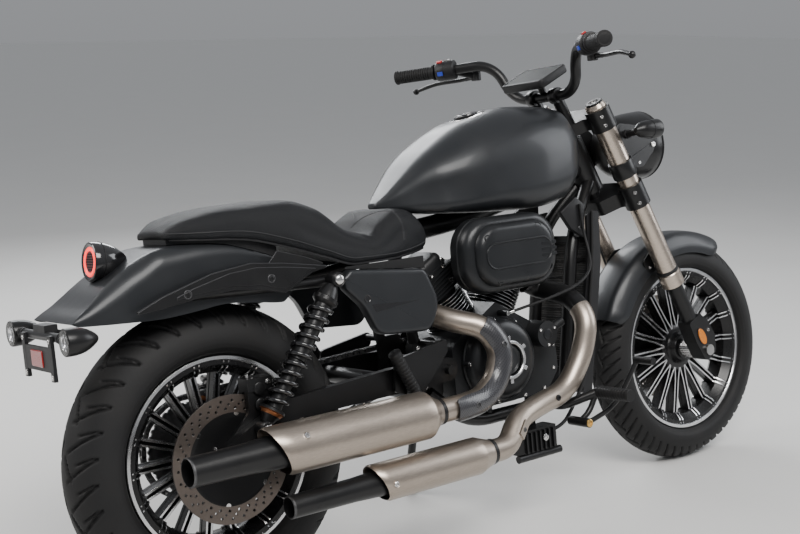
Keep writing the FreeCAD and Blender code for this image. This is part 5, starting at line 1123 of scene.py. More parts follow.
class CRUISER_OT_front_fender(bpy.types.Operator):
    """Makes the front fender as a thin painted shell, with its stays"""

    bl_idname = "cruiser.front_fender"
    bl_label = "Front fender"

    def execute(self, context):
        form = Form(Matrix.Translation(FRONT_AXLE))
        half, outer, wall = 66, 318, 3
        start, sweep = 61.5, 96.5
        out, inner = front_fender_section(half, outer, wall)
        steps = 72
        rings = []
        for k in range(steps + 1):
            share = k / steps
            angle = math.radians(start + sweep * share)
            near = min(share, 1 - share) * sweep
            narrow = 1 - 0.12 * max(0, 1 - near / 5) ** 2
            ring = []
            for y, r in out + inner:
                r = outer - (outer - r) * (1 - 0.30 * max(0, 1 - near / 9) ** 2)
                ring.append((r * math.cos(angle), y * narrow, r * math.sin(angle)))
            rings.append(ring)
        form.rings(rings, 0)
        build(form, "front_fender_shell", "fork", "Body paint", "front_fender", bevel=0.5, sharp=35)
        stays = Form(TURN_FORK)
        for side in (-1, 1):
            stays.rod((0, side * 62, 288), (0, side * 70.7, 288), 11.8, 0, 32)
            plate = [(-34, 262, 10), (30, 266, 10), (34, 300, 14), (0, 312, 16), (-40, 300, 12)]
            stays.plate(rounded(plate), side * 64.2, side * 66.5, 0)
            for ahead, along in ((-24, 276), (22, 280), (0, 301)):
                stays.bolt((ahead, side * 66.5, along), (0, side, 0), 4.6, 3.4, 1, "socket")
        build(stays, "front_fender_stays", "fork", ["Black metal", "Bright steel"], bevel=0.4)
        return {"FINISHED"}


BAR_END = Vector((846, -383, 1092))
BAR_TOP = Vector((985, -150, 1098))
BAR_FOOT = Vector((1016, -112, 996))
BAR_WAY = (BAR_TOP - BAR_END).normalized()


def flip(point):
    return Vector((point[0], -point[1], point[2]))


def along_bar(distance):
    """A point on the right half of the bar, measured inwards from its end."""
    return BAR_END + BAR_WAY * distance


class CRUISER_OT_handlebar(bpy.types.Operator):
    """Makes the bar, its clamps, the ribbed grips, the switch housings and the levers"""

    bl_idname = "cruiser.handlebar"
    bl_label = "Handlebar and controls"

    def execute(self, context):
        self.make_bar()
        self.make_grips()
        self.make_controls()
        return {"FINISHED"}

    def make_bar(self):
        half = [along_bar(2), BAR_TOP, BAR_FOOT]
        line = route(half + [flip(point) for point in reversed(half)], 5)
        form = Form()
        form.tube(line, 12.8, 32, 0)
        turn = TURN_FORK.inverted()
        for side in (-40, 40):
            top = Vector((BAR_FOOT.x, side, BAR_FOOT.z))
            foot = fork_point(720, (turn @ top).x, side)
            axis = (top - foot).normalized()
            form.tube([foot, foot + axis * 6, top - axis * 10, top], [16, 15.8, 14, 14], 32, 0)
            form.lathe([(side - 12, 12.9), (side - 12, 19), (side - 10.5, 20), (side + 10.5, 20),
                        (side + 12, 19), (side + 12, 12.9)],
                       centre=(BAR_FOOT.x, 0, BAR_FOOT.z), axis="Y", sides=48, ink=0)
            for angle in (40, 140):
                out = round_spot(angle)
                form.bolt(top + out * 17.5, out, 4.2, 2.4, 1, "socket")
        build(form, "handlebar_and_risers", "fork", ["Black metal", "Bright steel"], "handlebar", bevel=0.3)

    def make_grips(self):
        form = Form()
        line, radii = [], []
        along = 0.0
        while along < 105.5:
            phase = (along - 7) % 6.4
            if along < 7:
                radius = 18.2 if along > 1 else 16.5
            elif along < 12 or along > 98:
                radius = 16.6
            else:
                radius = 16.9 if phase < 4.2 else 15.3
            line.append(along_bar(along))
            radii.append(radius)
            along += 0.8
        for along, radius in ((106, 16.6), (107, 20.2), (110.6, 20.6), (111.8, 19.8)):
            line.append(along_bar(along))
            radii.append(radius)
        form.tube(line, radii, 40, 0)
        form.tube([along_bar(0.4), along_bar(0), along_bar(-0.2)], [16.4, 13, 6], 32, 1)
        build(form, "ribbed_grips", "fork", ["Rubber", "Black metal"], "grips", sharp=50,
              mirror=True)

    def make_controls(self):
        form = Form()
        line, radii = [], []
        for along, radius in ((118, 20), (119, 24), (122, 25.8), (142.6, 25.8), (143, 25), (143.4, 25),
                              (143.8, 25.8), (160, 25.8), (167, 24.5), (169, 20), (170, 14)):
            line.append(along_bar(along))
            radii.append(radius)
        form.tube(line, radii, 44, 0)
        rise = (Vector((0, 0, 1)) - BAR_WAY * BAR_WAY.z).normalized()
        fore = BAR_WAY.cross(rise).normalized()
        back = -fore if fore.x > 0 else fore
        for along, angle, size, ink in ((130, 62, (7, 4.5), 3), (143, 88, (4, 4), 5), (134, -18, (7, 5), 4),
                                        (156, 70, (4, 3), 5)):
            out = back * math.cos(math.radians(angle)) + rise * math.sin(math.radians(angle))
            u, v = BAR_WAY * size[0], out.cross(BAR_WAY) * size[1]
            base = along_bar(along) + out * 24
            ring = [base - u - v, base + u - v, base + u + v, base - u + v]
            form.rings([ring, [p + out * 5.0 for p in ring]], ink)
        pivot = along_bar(168) + Vector((46, 26, -22))
        form.tube([along_bar(158), along_bar(158) + (pivot - along_bar(158)) * 0.5, pivot], [10.9, 10.2, 9],
                  28, 0)
        form.lathe([(-12, 0), (-12, 11), (-10.5, 12.8), (10.5, 12.8), (12, 11), (12, 0)], centre=pivot,
                   axis="Z", sides=40, ink=0)
        form.bolt(pivot + Vector((0, 0, 11.5)), (0, 0, 1), 5.5, 2.2, 2)
        tip = along_bar(-12) + Vector((76, 0, -38))
        knuckle = pivot + (tip - pivot) * 0.25 + Vector((10, 0, 0))
        middle = pivot + (tip - pivot) * 0.7 + Vector((5, 0, 8))
        path = route([pivot, knuckle, middle, tip], 6)
        form.tube(path, [6.6] * (len(path) - 1) + [5.2], 20, 1, flat=0.8)
        turns = np.linspace(-math.pi / 2, math.pi / 2, 17)
        form.lathe([(8.4 * math.sin(a), 8.4 * math.cos(a)) for a in turns],
                   centre=tip, axis="Z", sides=24, ink=1)
        reach = (tip - knuckle).normalized()
        form.tube([pivot - reach * 3, pivot + (knuckle - pivot) * 0.8], [7.5, 6], 16, 1)
        build(form, "switches_and_levers", "fork",
              ["Black plastic", "Black metal", "Bright steel", "Red switch", "Blue switch", "Grey switch"],
              "controls", bevel=0.4, mirror=True)


class CRUISER_OT_display(bpy.types.Operator):
    """Makes the flat dash with its dark screen and its arm"""

    bl_idname = "cruiser.display"
    bl_label = "Display"

    def execute(self, context):
        place = Matrix.Translation((985, 0, 1042)) @ Matrix.Rotation(math.radians(-24), 4, "Y")
        form = Form(place)
        outline = rectangle(50, 74, 12)
        rings = []
        for height, draw in ((-11, 5), (-9.5, 1.5), (-7, 0), (7.5, 0), (10, 1.5), (11, 4.5), (11, 7),
                             (9.8, 7.6)):
            rings.append([(u, v, height) for u, v in inset(outline, draw)])
        form.rings(rings, 0)
        glass = ((9.4, 7.6), (10.2, 8.4))
        form.rings([[(u, v, height) for u, v in inset(outline, draw)] for height, draw in glass], 1)
        form.turn = Matrix()
        middle = Vector((BAR_FOOT.x, 0, BAR_FOOT.z))
        back = Vector((997, 0, 1042))
        away = (back - middle).normalized()
        form.rod(middle + away * 13.3, back - away * 4, 8.8, 2, 28)
        form.turn = place
        for y in (-40, 40):
            form.box((-24, y - 9, -13.5), (10, y + 9, -10.5), 2)
            form.bolt((-8, y, -13.4), (0, 0, -1), 4, 2.2, 2, "socket")
        build(form, "dash_display", "fork", ["Black plastic", "Screen", "Black metal"], "display", bevel=0.4)
        return {"FINISHED"}


class CRUISER_OT_headlamp(bpy.types.Operator):
    """Makes the headlamp: bucket, trim ring, lit ring, reflector bowl, lens and side plates"""

    bl_idname = "cruiser.headlamp"
    bl_label = "Headlamp"

    def execute(self, context):
        centre = Vector((1290, 0, 855))
        form = Form()
        bucket = [(-88, 0), (-87, 16), (-84, 30), (-78, 46), (-70, 60), (-58, 70.5), (-44, 78), (-24, 82.6),
                  (0, 86), (24, 88), (42, 89.4), (44.5, 87.8), (46.5, 87.8), (47.5, 89.8), (50, 89.4),
                  (51, 88), (50, 86.2), (42, 85.6), (0, 81), (-44, 72), (-80, 20), (-80, 0)]
        inks = [0] * 12 + [1] * 5 + [0] * 5
        form.lathe(bucket, centre, "X", 96, inks)
        for side in (-1, 1):
            low, high = fork_point(539, 0, side * LEG_OFFSET), fork_point(581, 0, side * LEG_OFFSET)
            collar = [low, low.lerp(high, 0.04), low.lerp(high, 0.96), high]
            form.tube(collar, [30.6, 31.4, 31.4, 30.6], 48, 0)
            plate = rounded([(1150, 800, 4), (1250, 800, 20), (1306, 850, 20), (1250, 905, 20),
                             (1175, 915, 15), (1150, 880, 8)])
            form.plate(plate, side * 88.6, side * 93.4, 0)
            form.plate(inset(plate, 6), side * 93.2, side * 94.2, 0)
            form.rod(centre + Vector((0, side * 80, 0)), centre + Vector((0, side * 94, 0)), 9, 0, 24)
            form.bolt(centre + Vector((0, side * 94, 0)), (0, side, 0), 7.2, 4.6, 2, "socket")
            for x, z in ((1204, 884), (1204, 822), (1236, 812)):
                form.bolt((x, side * 93.4, z), (0, side, 0), 4.4, 3, 2, "socket")
        build(form, "headlamp_bucket", "fork", ["Black metal", "Black plastic", "Bright steel"], "headlamp",
              bevel=0.3)
        inside = Form()
        inside.lathe([(40, 84), (30, 80), (6, 66), (-8, 44), (-12, 26), (-12, 0)], centre, "X", 72, 0)
        inside.lathe([(42, 82), (43, 78), (42, 74), (38, 76)], centre, "X", 72, 1, closed=True)
        inside.lathe([(-10, 0), (-10, 20), (2, 26), (14, 25), (20, 20), (24, 10), (25, 0)], centre, "X", 48,
                     2)
        inside.box(centre + Vector((-4, -72, -5)), centre + Vector((34, 72, 5)), 3)
        for sign in (-1, 1):
            inside.lathe([(-8, 14), (10, 24), (34, 28), (35, 26), (30, 8), (30, 0)],
                         centre + Vector((0, 0, sign * 38)), "X", 40, 0)
        build(inside, "headlamp_inside", "fork", ["Mirror bowl", "Lit white ring", "Screen", "Black plastic"])
        lens = Form()
        reaches = (80, 72, 62, 50, 36, 20, 8, 0.0)
        outer = [(44, 84.6), (48, 84.8)] + [(48 + 16 * (1 - (r / 84) ** 2), r) for r in reaches]
        inner = [(45 + 15 * (1 - (r / 84) ** 2), r) for r in reversed(reaches)]
        lens.lathe(outer + inner, centre, "X", 96, 0, closed=True)
        build(lens, "headlamp_glass", "fork", "Clear lens", "headlamp_lens")
        return {"FINISHED"}


class CRUISER_OT_indicators(bpy.types.Operator):
    """Makes the four bullet indicators, the plate clips and the reflector bracket"""

    bl_idname = "cruiser.indicators"
    bl_label = "Indicators"

    def execute(self, context):
        names = ["Black metal", "Clear lens", "Mirror bowl", "Black plastic", "Red reflector", "Bright steel"]
        self.make_front(names)
        self.make_rear(names)
        return {"FINISHED"}

    def make_front(self, names):
        form = Form()
        centre = Vector((1232, -165, 893))
        shell = [(-78, 0), (-78, 6), (-70, 12.4), (-60, 18.4), (-50, 20.8), (-40, 22), (-26, 23.4), (-14, 24),
                 (-3, 24), (0, 23.4), (1, 22.4), (0, 21.6), (-3, 21.4), (-14, 20), (-22, 0)]
        form.lathe(shell, centre, "X", 48, 0)
        form.lathe([(-3, 21.3), (0, 21.2), (2.4, 18), (4, 12), (4.8, 5), (5, 0)], centre, "X", 48, 1)
        form.lathe([(-12, 0), (-12, 8), (-6, 12), (-4, 16), (-5, 19)], centre, "X", 32, 2)
        form.lathe([(-30, 23.3), (-30, 23.9), (-28, 23.9), (-28, 23.4)], centre, "X", 48, 3)
        start, end = Vector((1198, -96.4, 886)), centre + Vector((-45, 0, 0))
        way = (end - start).normalized()
        form.tube([start, start + way * 3, start + way * 3.2, end], [11.5, 11.5, 8.6, 8.6], 28, 3)
        build(form, "front_bullet_indicators", "fork", names, "front_indicators", bevel=0.2,
              mirror=True)

    def make_rear(self, names):
        form = Form()
        centre = Vector((-332, -144, 602))
        shell = [(12, 0), (8, 20), (1, 23.4), (0, 24.4), (1.2, 25.6), (4, 26), (18, 26), (30, 24.2), (38, 22),
                 (46, 18.6), (52, 15), (60, 9.4), (64, 5), (66, 0)]
        form.lathe(shell, centre, "X", 48, 0)
        form.lathe([(0.6, 23.6), (0.3, 18), (0.0, 10), (0.0, 0)], centre, "X", 48, 1)
        form.lathe([(9, 0), (8, 8), (5, 12), (3, 16)], centre, "X", 32, 2)
        form.rod((-318, -140, 605), (-318, 0, 605), 8.9, 0, 28)
        for x in (-96, -108):
            form.lathe([(x - 3, 9), (x - 3, 10.6), (x + 3, 10.6), (x + 3, 9)], (-318, 0, 605), "Y", 28, 3)
        form.box((-332.6, -78, 524), (-325.4, -62, 610), 3)
        form.bolt((-332.6, -70, 532), (-1, 0, 0), 4.4, 2.3, 5)
        form.bolt((-332.6, -70, 600), (-1, 0, 0), 4.4, 2.3, 5, "socket")
        form.box((-324, -30, 599), (-284.6, 0, 611.7), 3)
        form.box((-324, -30, 599), (-298, 0, 626), 3)
        build(form, "rear_bullet_indicators", "frame", names, "rear_indicators", bevel=0.3,
              mirror=True)
        sign = Form()
        sign.box((-332.4, -80, 540.5), (-326.2, 80, 587.5), 3)
        red = rectangle(30, 16, 3, 0, 564)
        steps = ((-332.2, 0), (-333.8, 0), (-334.8, 1.2))
        sign.rings([[(x, u, v) for u, v in inset(red, draw)] for x, draw in steps], 4)
        build(sign, "reflector_bracket", "frame", names, bevel=0.8)


def smooth_table(rows, stations):
    """Rows (x, values...) carried smoothly to each station."""
    rows = np.array(rows, float)
    x = rows[:, 0]
    step = np.diff(x)
    rate = np.diff(rows[:, 1:], axis=0) / step[:, None]
    slope = np.zeros_like(rows[:, 1:])
    slope[0], slope[-1] = rate[0], rate[-1]
    for k in range(1, len(x) - 1):
        w1, w2 = 2 * step[k] + step[k - 1], step[k] + 2 * step[k - 1]
        same = rate[k - 1] * rate[k] > 0
        safe = np.where(same, w1 / np.where(same, rate[k - 1], 1) + w2 / np.where(same, rate[k], 1), 1)
        slope[k] = np.where(same, (w1 + w2) / safe, 0)
    result = []
    for station in stations:
        k = int(np.clip(np.searchsorted(x, station) - 1, 0, len(step) - 1))
        h = step[k]
        t = (station - x[k]) / h
        a, b = rows[k, 1:], rows[k + 1, 1:]
        value = ((1 + 2 * t) * (1 - t) ** 2 * a + t * (1 - t) ** 2 * h * slope[k]
                 + t * t * (3 - 2 * t) * b + t * t * (t - 1) * h * slope[k + 1])
        result.append((station, *value))
    return result


def notched(half, low, high, low_corner, high_corner, notch_half, notch_top, arch=True):
    """A rounded section with a channel up its underside, as points (y, z)."""
    ring = rounded_section(half, low, high, low_corner, high_corner)
    top = max(low + 0.6, min(notch_top, high - 6))
    channel = [(-notch_half, low)]
    for k in range(13):
        angle = math.pi * (1 - k / 12)
        rise = min(notch_half if arch else 3.0, top - low)
        channel.append((notch_half * math.cos(angle), top - rise + rise * math.sin(angle)))
    channel.append((notch_half, low))
    return ring[:CORNER_POINTS] + channel + ring[CORNER_POINTS:]


TANK = (
    # x, half width, low, high, low corner, high corner
    (462, 16, 770, 780, 3, 5),
    (485, 38, 762, 799, 10, 16),
    (520, 66, 753, 831, 20, 36),
    (560, 94, 748, 866, 26, 60),
    (600, 119, 744, 894, 30, 85),
    (720, 143, 736, 952, 48, 118),
    (850, 149, 731, 977, 60, 125),
    (950, 138, 740, 972, 66, 112),
    (1006, 112, 778, 960, 56, 84),
    (1022, 92, 800, 947, 44, 66),
)
FILLER = Vector((760, 0, 961))
FILLER_UP = Vector((-0.16, 0, 1)).normalized()


def clear_of_lock(point):
    """Moves a point of the tank's nose back out of the room that the turned fork needs."""
    local = TURN_FORK.inverted() @ Vector(point)
    ahead, side, along = local.x + 40, local.y, local.z
    if not 545 < along < 820:
        return Vector(point)
    limit = -math.sqrt(max(0.0, 81.5 ** 2 - side * side))
    if 570 < along < 782:
        limit = min(limit, -0.625 * abs(side) - 1.5)
    if ahead > limit:
        local.x -= ahead - limit
    return TURN_FORK @ local


def bore_height(x):
    """The height of the backbone's middle line."""
    return 722 + (x - 720) * (0.239 if x > 720 else 0.085)


class CRUISER_OT_tank(bpy.types.Operator):
    """Makes the teardrop tank with its knee hollows and the filler cap in its hoop"""

    bl_idname = "cruiser.tank"
    bl_label = "Fuel tank"

    def execute(self, context):
        form = Form()
        spans = ((462, 540, 22), (548, 940, 44), (948, 1022, 22))
        stations = np.concatenate([np.linspace(*span) for span in spans])
        rings = []
        for x, half, low, high, low_corner, high_corner in smooth_table(TANK, stations):
            notch = min(26, (half - low_corner) * 0.9)
            ring = notched(half, low, high, low_corner, high_corner, notch, bore_height(x) + 26)
            shaped = []
            for y, z in ring:
                hollow = math.exp(-((x - 590) / 95) ** 2 - ((z - 798) / 34) ** 2) * 7 * min(1, abs(y) / 60)
                shaped.append(Vector((x, y - math.copysign(hollow, y), z)))
            rings.append(shaped)
        last = rings[-1]
        middle = sum(last, Vector()) / len(last)
        for share in (0.9, 0.78, 0.62, 0.45, 0.28, 0.12):
            nose = middle + Vector((min(1 + 9 * (1 - share), 5), 0, 0))
            rings.append([nose + (p - middle) * share for p in last])
        rings = [[clear_of_lock(p) for p in ring] for ring in rings]
        form.rings(rings, 0)
        shell = build(form, "tank_shell", "frame", "Body paint", "tank", sharp=50)
        bpy.context.view_layer.update()

        trim = Form()
        turn = Matrix.Translation(FILLER) @ FILLER_UP.to_track_quat("Z", "X").to_matrix().to_4x4()
        trim.lathe([(-6, 0), (-6, 31.8), (3.2, 31.8), (4.2, 30.8), (4.4, 27.4), (3.6, 26.6), (4.4, 25.8),
                    (6.8, 25), (7.8, 23), (8, 20), (7.2, 17.6), (7.2, 0)], axis="Z", sides=72,
                   ink=[2, 2, 2, 2, 2, 0, 0, 0, 0, 0, 0], turn=turn)
        for u, v in circle(28.8, 6):
            trim.bolt(turn @ Vector((u, v, 4.2)), FILLER_UP, 1.9, 1.2, 1, "socket")
        trim.box((-11, -4, 7.2), (11, 4, 7.9), 1, turn=turn)
        hoop = []
        for u, v in circle(1, 72):
            out = turn.to_3x3() @ Vector((u, v, 0))
            starts = [FILLER + out * reach + FILLER_UP * 60 for reach in (34.4, 35, 43.6, 44.2)]
            found = surface_hits(shell, starts, [-FILLER_UP] * 4)
            hoop.append([p + n * lift for (p, n), lift in zip(found, (-0.3, 0.7, 0.7, -0.3))])
        trim.rings(hoop, 1, closed=True)
        build(trim, "filler_cap", "frame", ["Gloss black", "Bright steel", "Black metal"], "fuel_cap",
              bevel=0.2)
        return {"FINISHED"}


SEAT = (
    # x, half width, low, high, low corner, high corner
    (-84, 66, 757, 776, 4, 12),
    (-40, 96, 753, 800, 5, 26),
    (70, 110, 742, 815, 8, 36),
    (180, 120, 711, 816, 10, 40),
    (255, 124, 684, 791, 10, 44),
    (330, 126, 661, 737, 10, 30),
    (385, 125, 661, 722, 10, 26),
    (425, 120, 661, 752, 10, 30),
    (462, 114, 663, 772, 10, 36),
    (500, 106, 667, 768, 10, 42),
    (534, 94, 674, 744, 10, 34),
    (546, 84, 682, 718, 8, 16),
)


def seat_hollow(x, low):
    """The half width and the top of the room under the seat."""
    if x < 302:
        return 84, low + 4
    if x < 426:
        return 84, 703
    if x < 528:
        return 84, 735
    return 26.5, bore_height(x) + 26.5


def below_tank(x, y, z):
    """The height that a point of the seat keeps to where the tank's tail lies on it."""
    if x < 463:
        return z
    half, low, corner = (smooth_table(TANK, [x])[0][column] for column in (1, 2, 4))
    away = abs(y) - (half - corner)
    if away > corner:
        return z
    under = low if away < 0 else low + corner - math.sqrt(corner ** 2 - away ** 2)
    return min(z, under - 1.0)


def swell(item, pressure, cap, firm):
    """Fills a closed pad like foam under its cover: cloth under pressure, each point's move capped."""
    mesh = item.data
    remesh = item.modifiers.new("Even", "REMESH")
    remesh.mode = "VOXEL"
    remesh.voxel_size = 0.0055
    remesh.use_smooth_shade = True
    depsgraph = bpy.context.evaluated_depsgraph_get()
    even = bpy.data.meshes.new_from_object(item.evaluated_get(depsgraph))
    item.modifiers.clear()
    item.data = even
    rest = np.array([v.co for v in even.vertices], float)
    group = item.vertex_groups.new(name="firm")
    for index, point in enumerate(rest):
        weight = firm(point / MM)
        if weight > 0:
            group.add([index], weight, "REPLACE")
    cloth = item.modifiers.new("Fill", "CLOTH")
    setting = cloth.settings
    setting.quality = 5
    setting.mass = 0.3
    setting.tension_stiffness = 25
    setting.compression_stiffness = 25
    setting.shear_stiffness = 12
    setting.bending_stiffness = 2.5
    setting.use_pressure = True
    setting.uniform_pressure_force = pressure
    setting.effector_weights.gravity = 0
    setting.vertex_group_mass = "firm"
    cloth.point_cache.frame_start = 1
    cloth.point_cache.frame_end = 20
    scene = bpy.context.scene
    for frame_number in range(1, 21):
        scene.frame_set(frame_number)
    shaped = item.evaluated_get(bpy.context.evaluated_depsgraph_get()).to_mesh()
    moved = np.array([v.co for v in shaped.vertices], float)
    item.evaluated_get(bpy.context.evaluated_depsgraph_get()).to_mesh_clear()
    item.modifiers.clear()
    scene.frame_set(1)
    shift = moved - rest
    length = np.linalg.norm(shift, axis=1)
    keep = np.minimum(1.0, cap * MM / np.maximum(length, 1e-9))
    even.vertices.foreach_set("co", (rest + shift * keep[:, None]).ravel())
    even.update()
    if mesh.users == 0:
        bpy.data.meshes.remove(mesh)


def surface_hits(item, starts, ways):
    """Where rays, in cycle axes and millimetres, meet a piece; None where they miss."""
    hits = []
    for start, way in zip(starts, ways):
        found, spot, normal, _ = item.ray_cast(Vector(start) * MM, Vector(way).normalized(), distance=1.0)
        hits.append((spot / MM, normal) if found else None)
    return hits


def stitch_row(form, hits, every, size=(3.4, 0.65), ink=0, lift=0.3, shift=0.0):
    """Stitches laid along a row of hits, one after every given step."""
    travelled = 0.0
    for (p, normal), (q, _) in zip(hits, hits[1:]):
        step = (q - p).length
        travelled += step
        if travelled < every or step < 1e-6:
            continue
        travelled = 0.0
        along = (q - p).normalized()
        across = normal.cross(along).normalized()
        middle = p + across * shift + normal * lift
        line = [middle - along * size[0] / 2 - normal * 0.6, middle - along * size[0] / 4,
                middle + along * size[0] / 4, middle + along * size[0] / 2 - normal * 0.6]
        form.tube(line, [size[1] * 0.7, size[1], size[1], size[1] * 0.7], 8, ink)


class CRUISER_OT_seat(bpy.types.Operator):
    """Makes the stepped padded seat with its welt, seams, stitches and pan"""

    bl_idname = "cruiser.seat"
    bl_label = "Seat"

    def execute(self, context):
        stitch = context.scene.cruiser_sizes.stitch / MM
        form = Form()
        stations = np.linspace(-82, 544, 134)
        rings = []
        for x, half, low, high, low_corner, high_corner in smooth_table(SEAT, stations):
            half, high = half - 3.5, high - 2.5
            room, top = seat_hollow(x, low)
            ring = notched(half, low + 2, high, low_corner, high_corner, min(room, half - 12), top, False)
            right, left = ring[-CORNER_POINTS - 1], ring[-CORNER_POINTS]
            between = [(right[0] + (left[0] - right[0]) * k / 17, right[1]) for k in range(1, 17)]
            ring[-CORNER_POINTS:-CORNER_POINTS] = between
            bent = []
            for y, z in ring:
                z -= 9 * max(0, (z - low) / (high - low) - 0.4) * (abs(y) / half) ** 2.5
                bent.append(Vector((x, y, below_tank(x, y, z))))
            rings.append(bent)
        form.rings(rings, 0)
        pad = build(form, "seat_pad", "frame", "Seat cover", "seat", sharp=60)
        rows = smooth_table(SEAT, np.arange(-84, 547, 2.0))
        lows = {round(row[0]): row[2] for row in rows}

        def firm(point):
            low = lows[int(np.clip(round(point[0] / 2) * 2, -84, 546))]
            inside = abs(point[1]) < 86 and point[0] > 300 and point[2] < (706 if point[0] < 426 else 738)
            under_tank = point[0] > 462 and point[2] > below_tank(point[0], point[1], 1e3) - 6
            return 1.0 if point[2] < low + 15 or inside or under_tank else 0.0

        swell(pad, 4.0, 4.5, firm)
        pad.data.shade_smooth()
        soft = pad.modifiers.new("Soft", "SMOOTH")
        soft.factor = 0.5
        soft.iterations = 2
        pad.data.materials.clear()
        pad.data.materials.append(bpy.data.materials["Seat cover"])
        bpy.context.view_layer.update()
        self.make_seams(pad, stitch)
        self.make_pan()
        return {"FINISHED"}

    def make_seams(self, pad, stitch):
        rows = smooth_table(SEAT, np.linspace(-76, 534, 226))
        form = Form()
        for side in (-1, 1):
            starts = [(row[0], side * 220, row[2] + 16 + 3 * math.sin(row[0] / 90)) for row in rows]
            hits = [hit for hit in surface_hits(pad, starts, [(0, -side, 0)] * len(starts)) if hit]
            form.tube([p - n * 0.1 for p, n in hits], 1.5, 10, 0)
        starts, ways = [], []
        for k in range(161):
            angle = math.radians(196 * k / 160 - 8)
            across, rise = 300 * math.cos(angle), 300 * math.sin(angle)
            bow = 62 * (1 - abs(math.cos(angle))) ** 0.8
            starts.append((462 - bow, across, 715 + rise))
            ways.append(Vector((0, -across, -rise)))
        hits = [hit for hit in surface_hits(pad, starts, ways) if hit and hit[0].z > 684]
        form.tube([p - n * 0.5 for p, n in hits], 1.2, 10, 0)
        stitch_row(form, hits, stitch, ink=1, shift=3.4)
        build(form, "seat_seams", "frame", ["Seat piping", "Seat thread"], weld=False)

    def make_pan(self):
        pan = Form()
        rings = []
        for x, half, low, *_ in smooth_table(SEAT, np.linspace(-70, 530, 60)):
            wide = half - 8
            corners = ((0, -0.2), (0, 8), (5, 8), (5, -0.2))
            rings.append([(x, across - wide, low + up) for across, up in corners])
        pan.rings(rings, 0)
        stations = np.linspace(-72, 150, 48)
        rings = []
        rows = smooth_table(SEAT, stations)
        for (x, half, low, *_), (_, top) in zip(rows, smooth_table(FENDER_TOP_LINE, stations)):
            wide, foot = half - 22, max(top + 0.4, low - 26)
            rings.append([(x, -wide, foot), (x, wide, foot), (x, wide, low + 4), (x, -wide, low + 4)])
        pan.rings(rings, 0)
        for side in (-1, 1):
            edge = [(289, 656.2), (292, 660.9), (496, 660.9), (498, 633.6), (486, 635.6)]
            pan.plate(edge, side * 124.4, side * 128.6, 1)
        build(pan, "seat_pan", "frame", ["Black plastic", "Rubber"], bevel=0.6)


FENDER_TOP_LINE = (
    (-297, 628), (-290, 634), (-262, 652), (-226, 680), (-190, 704), (-150, 726), (-100, 744.5), (-60, 747.5),
    (0, 743), (40, 737), (90, 721), (140, 701), (160, 688), (176, 668), (188, 642),
)
FENDER_FOOT_LINE = (
    (-297, 627), (-286, 621.5), (-250, 618), (-190, 614), (-120, 611), (-50, 615), (20, 621), (90, 614),
    (150, 606.5), (172, 622), (188, 638),
)
FENDER_CROWN = (
    # x, top, corner radius
    (-300, 629, 4),
    (-262, 655, 24),
    (-226, 682, 38),
    (-190, 707, 46),
    (-145, 730, 46),
    (-100, 750, 44),
    (-30, 750, 36),
    (40, 743, 28),
    (100, 726, 20),
    (150, 708, 14),
    (195, 692, 12),
)


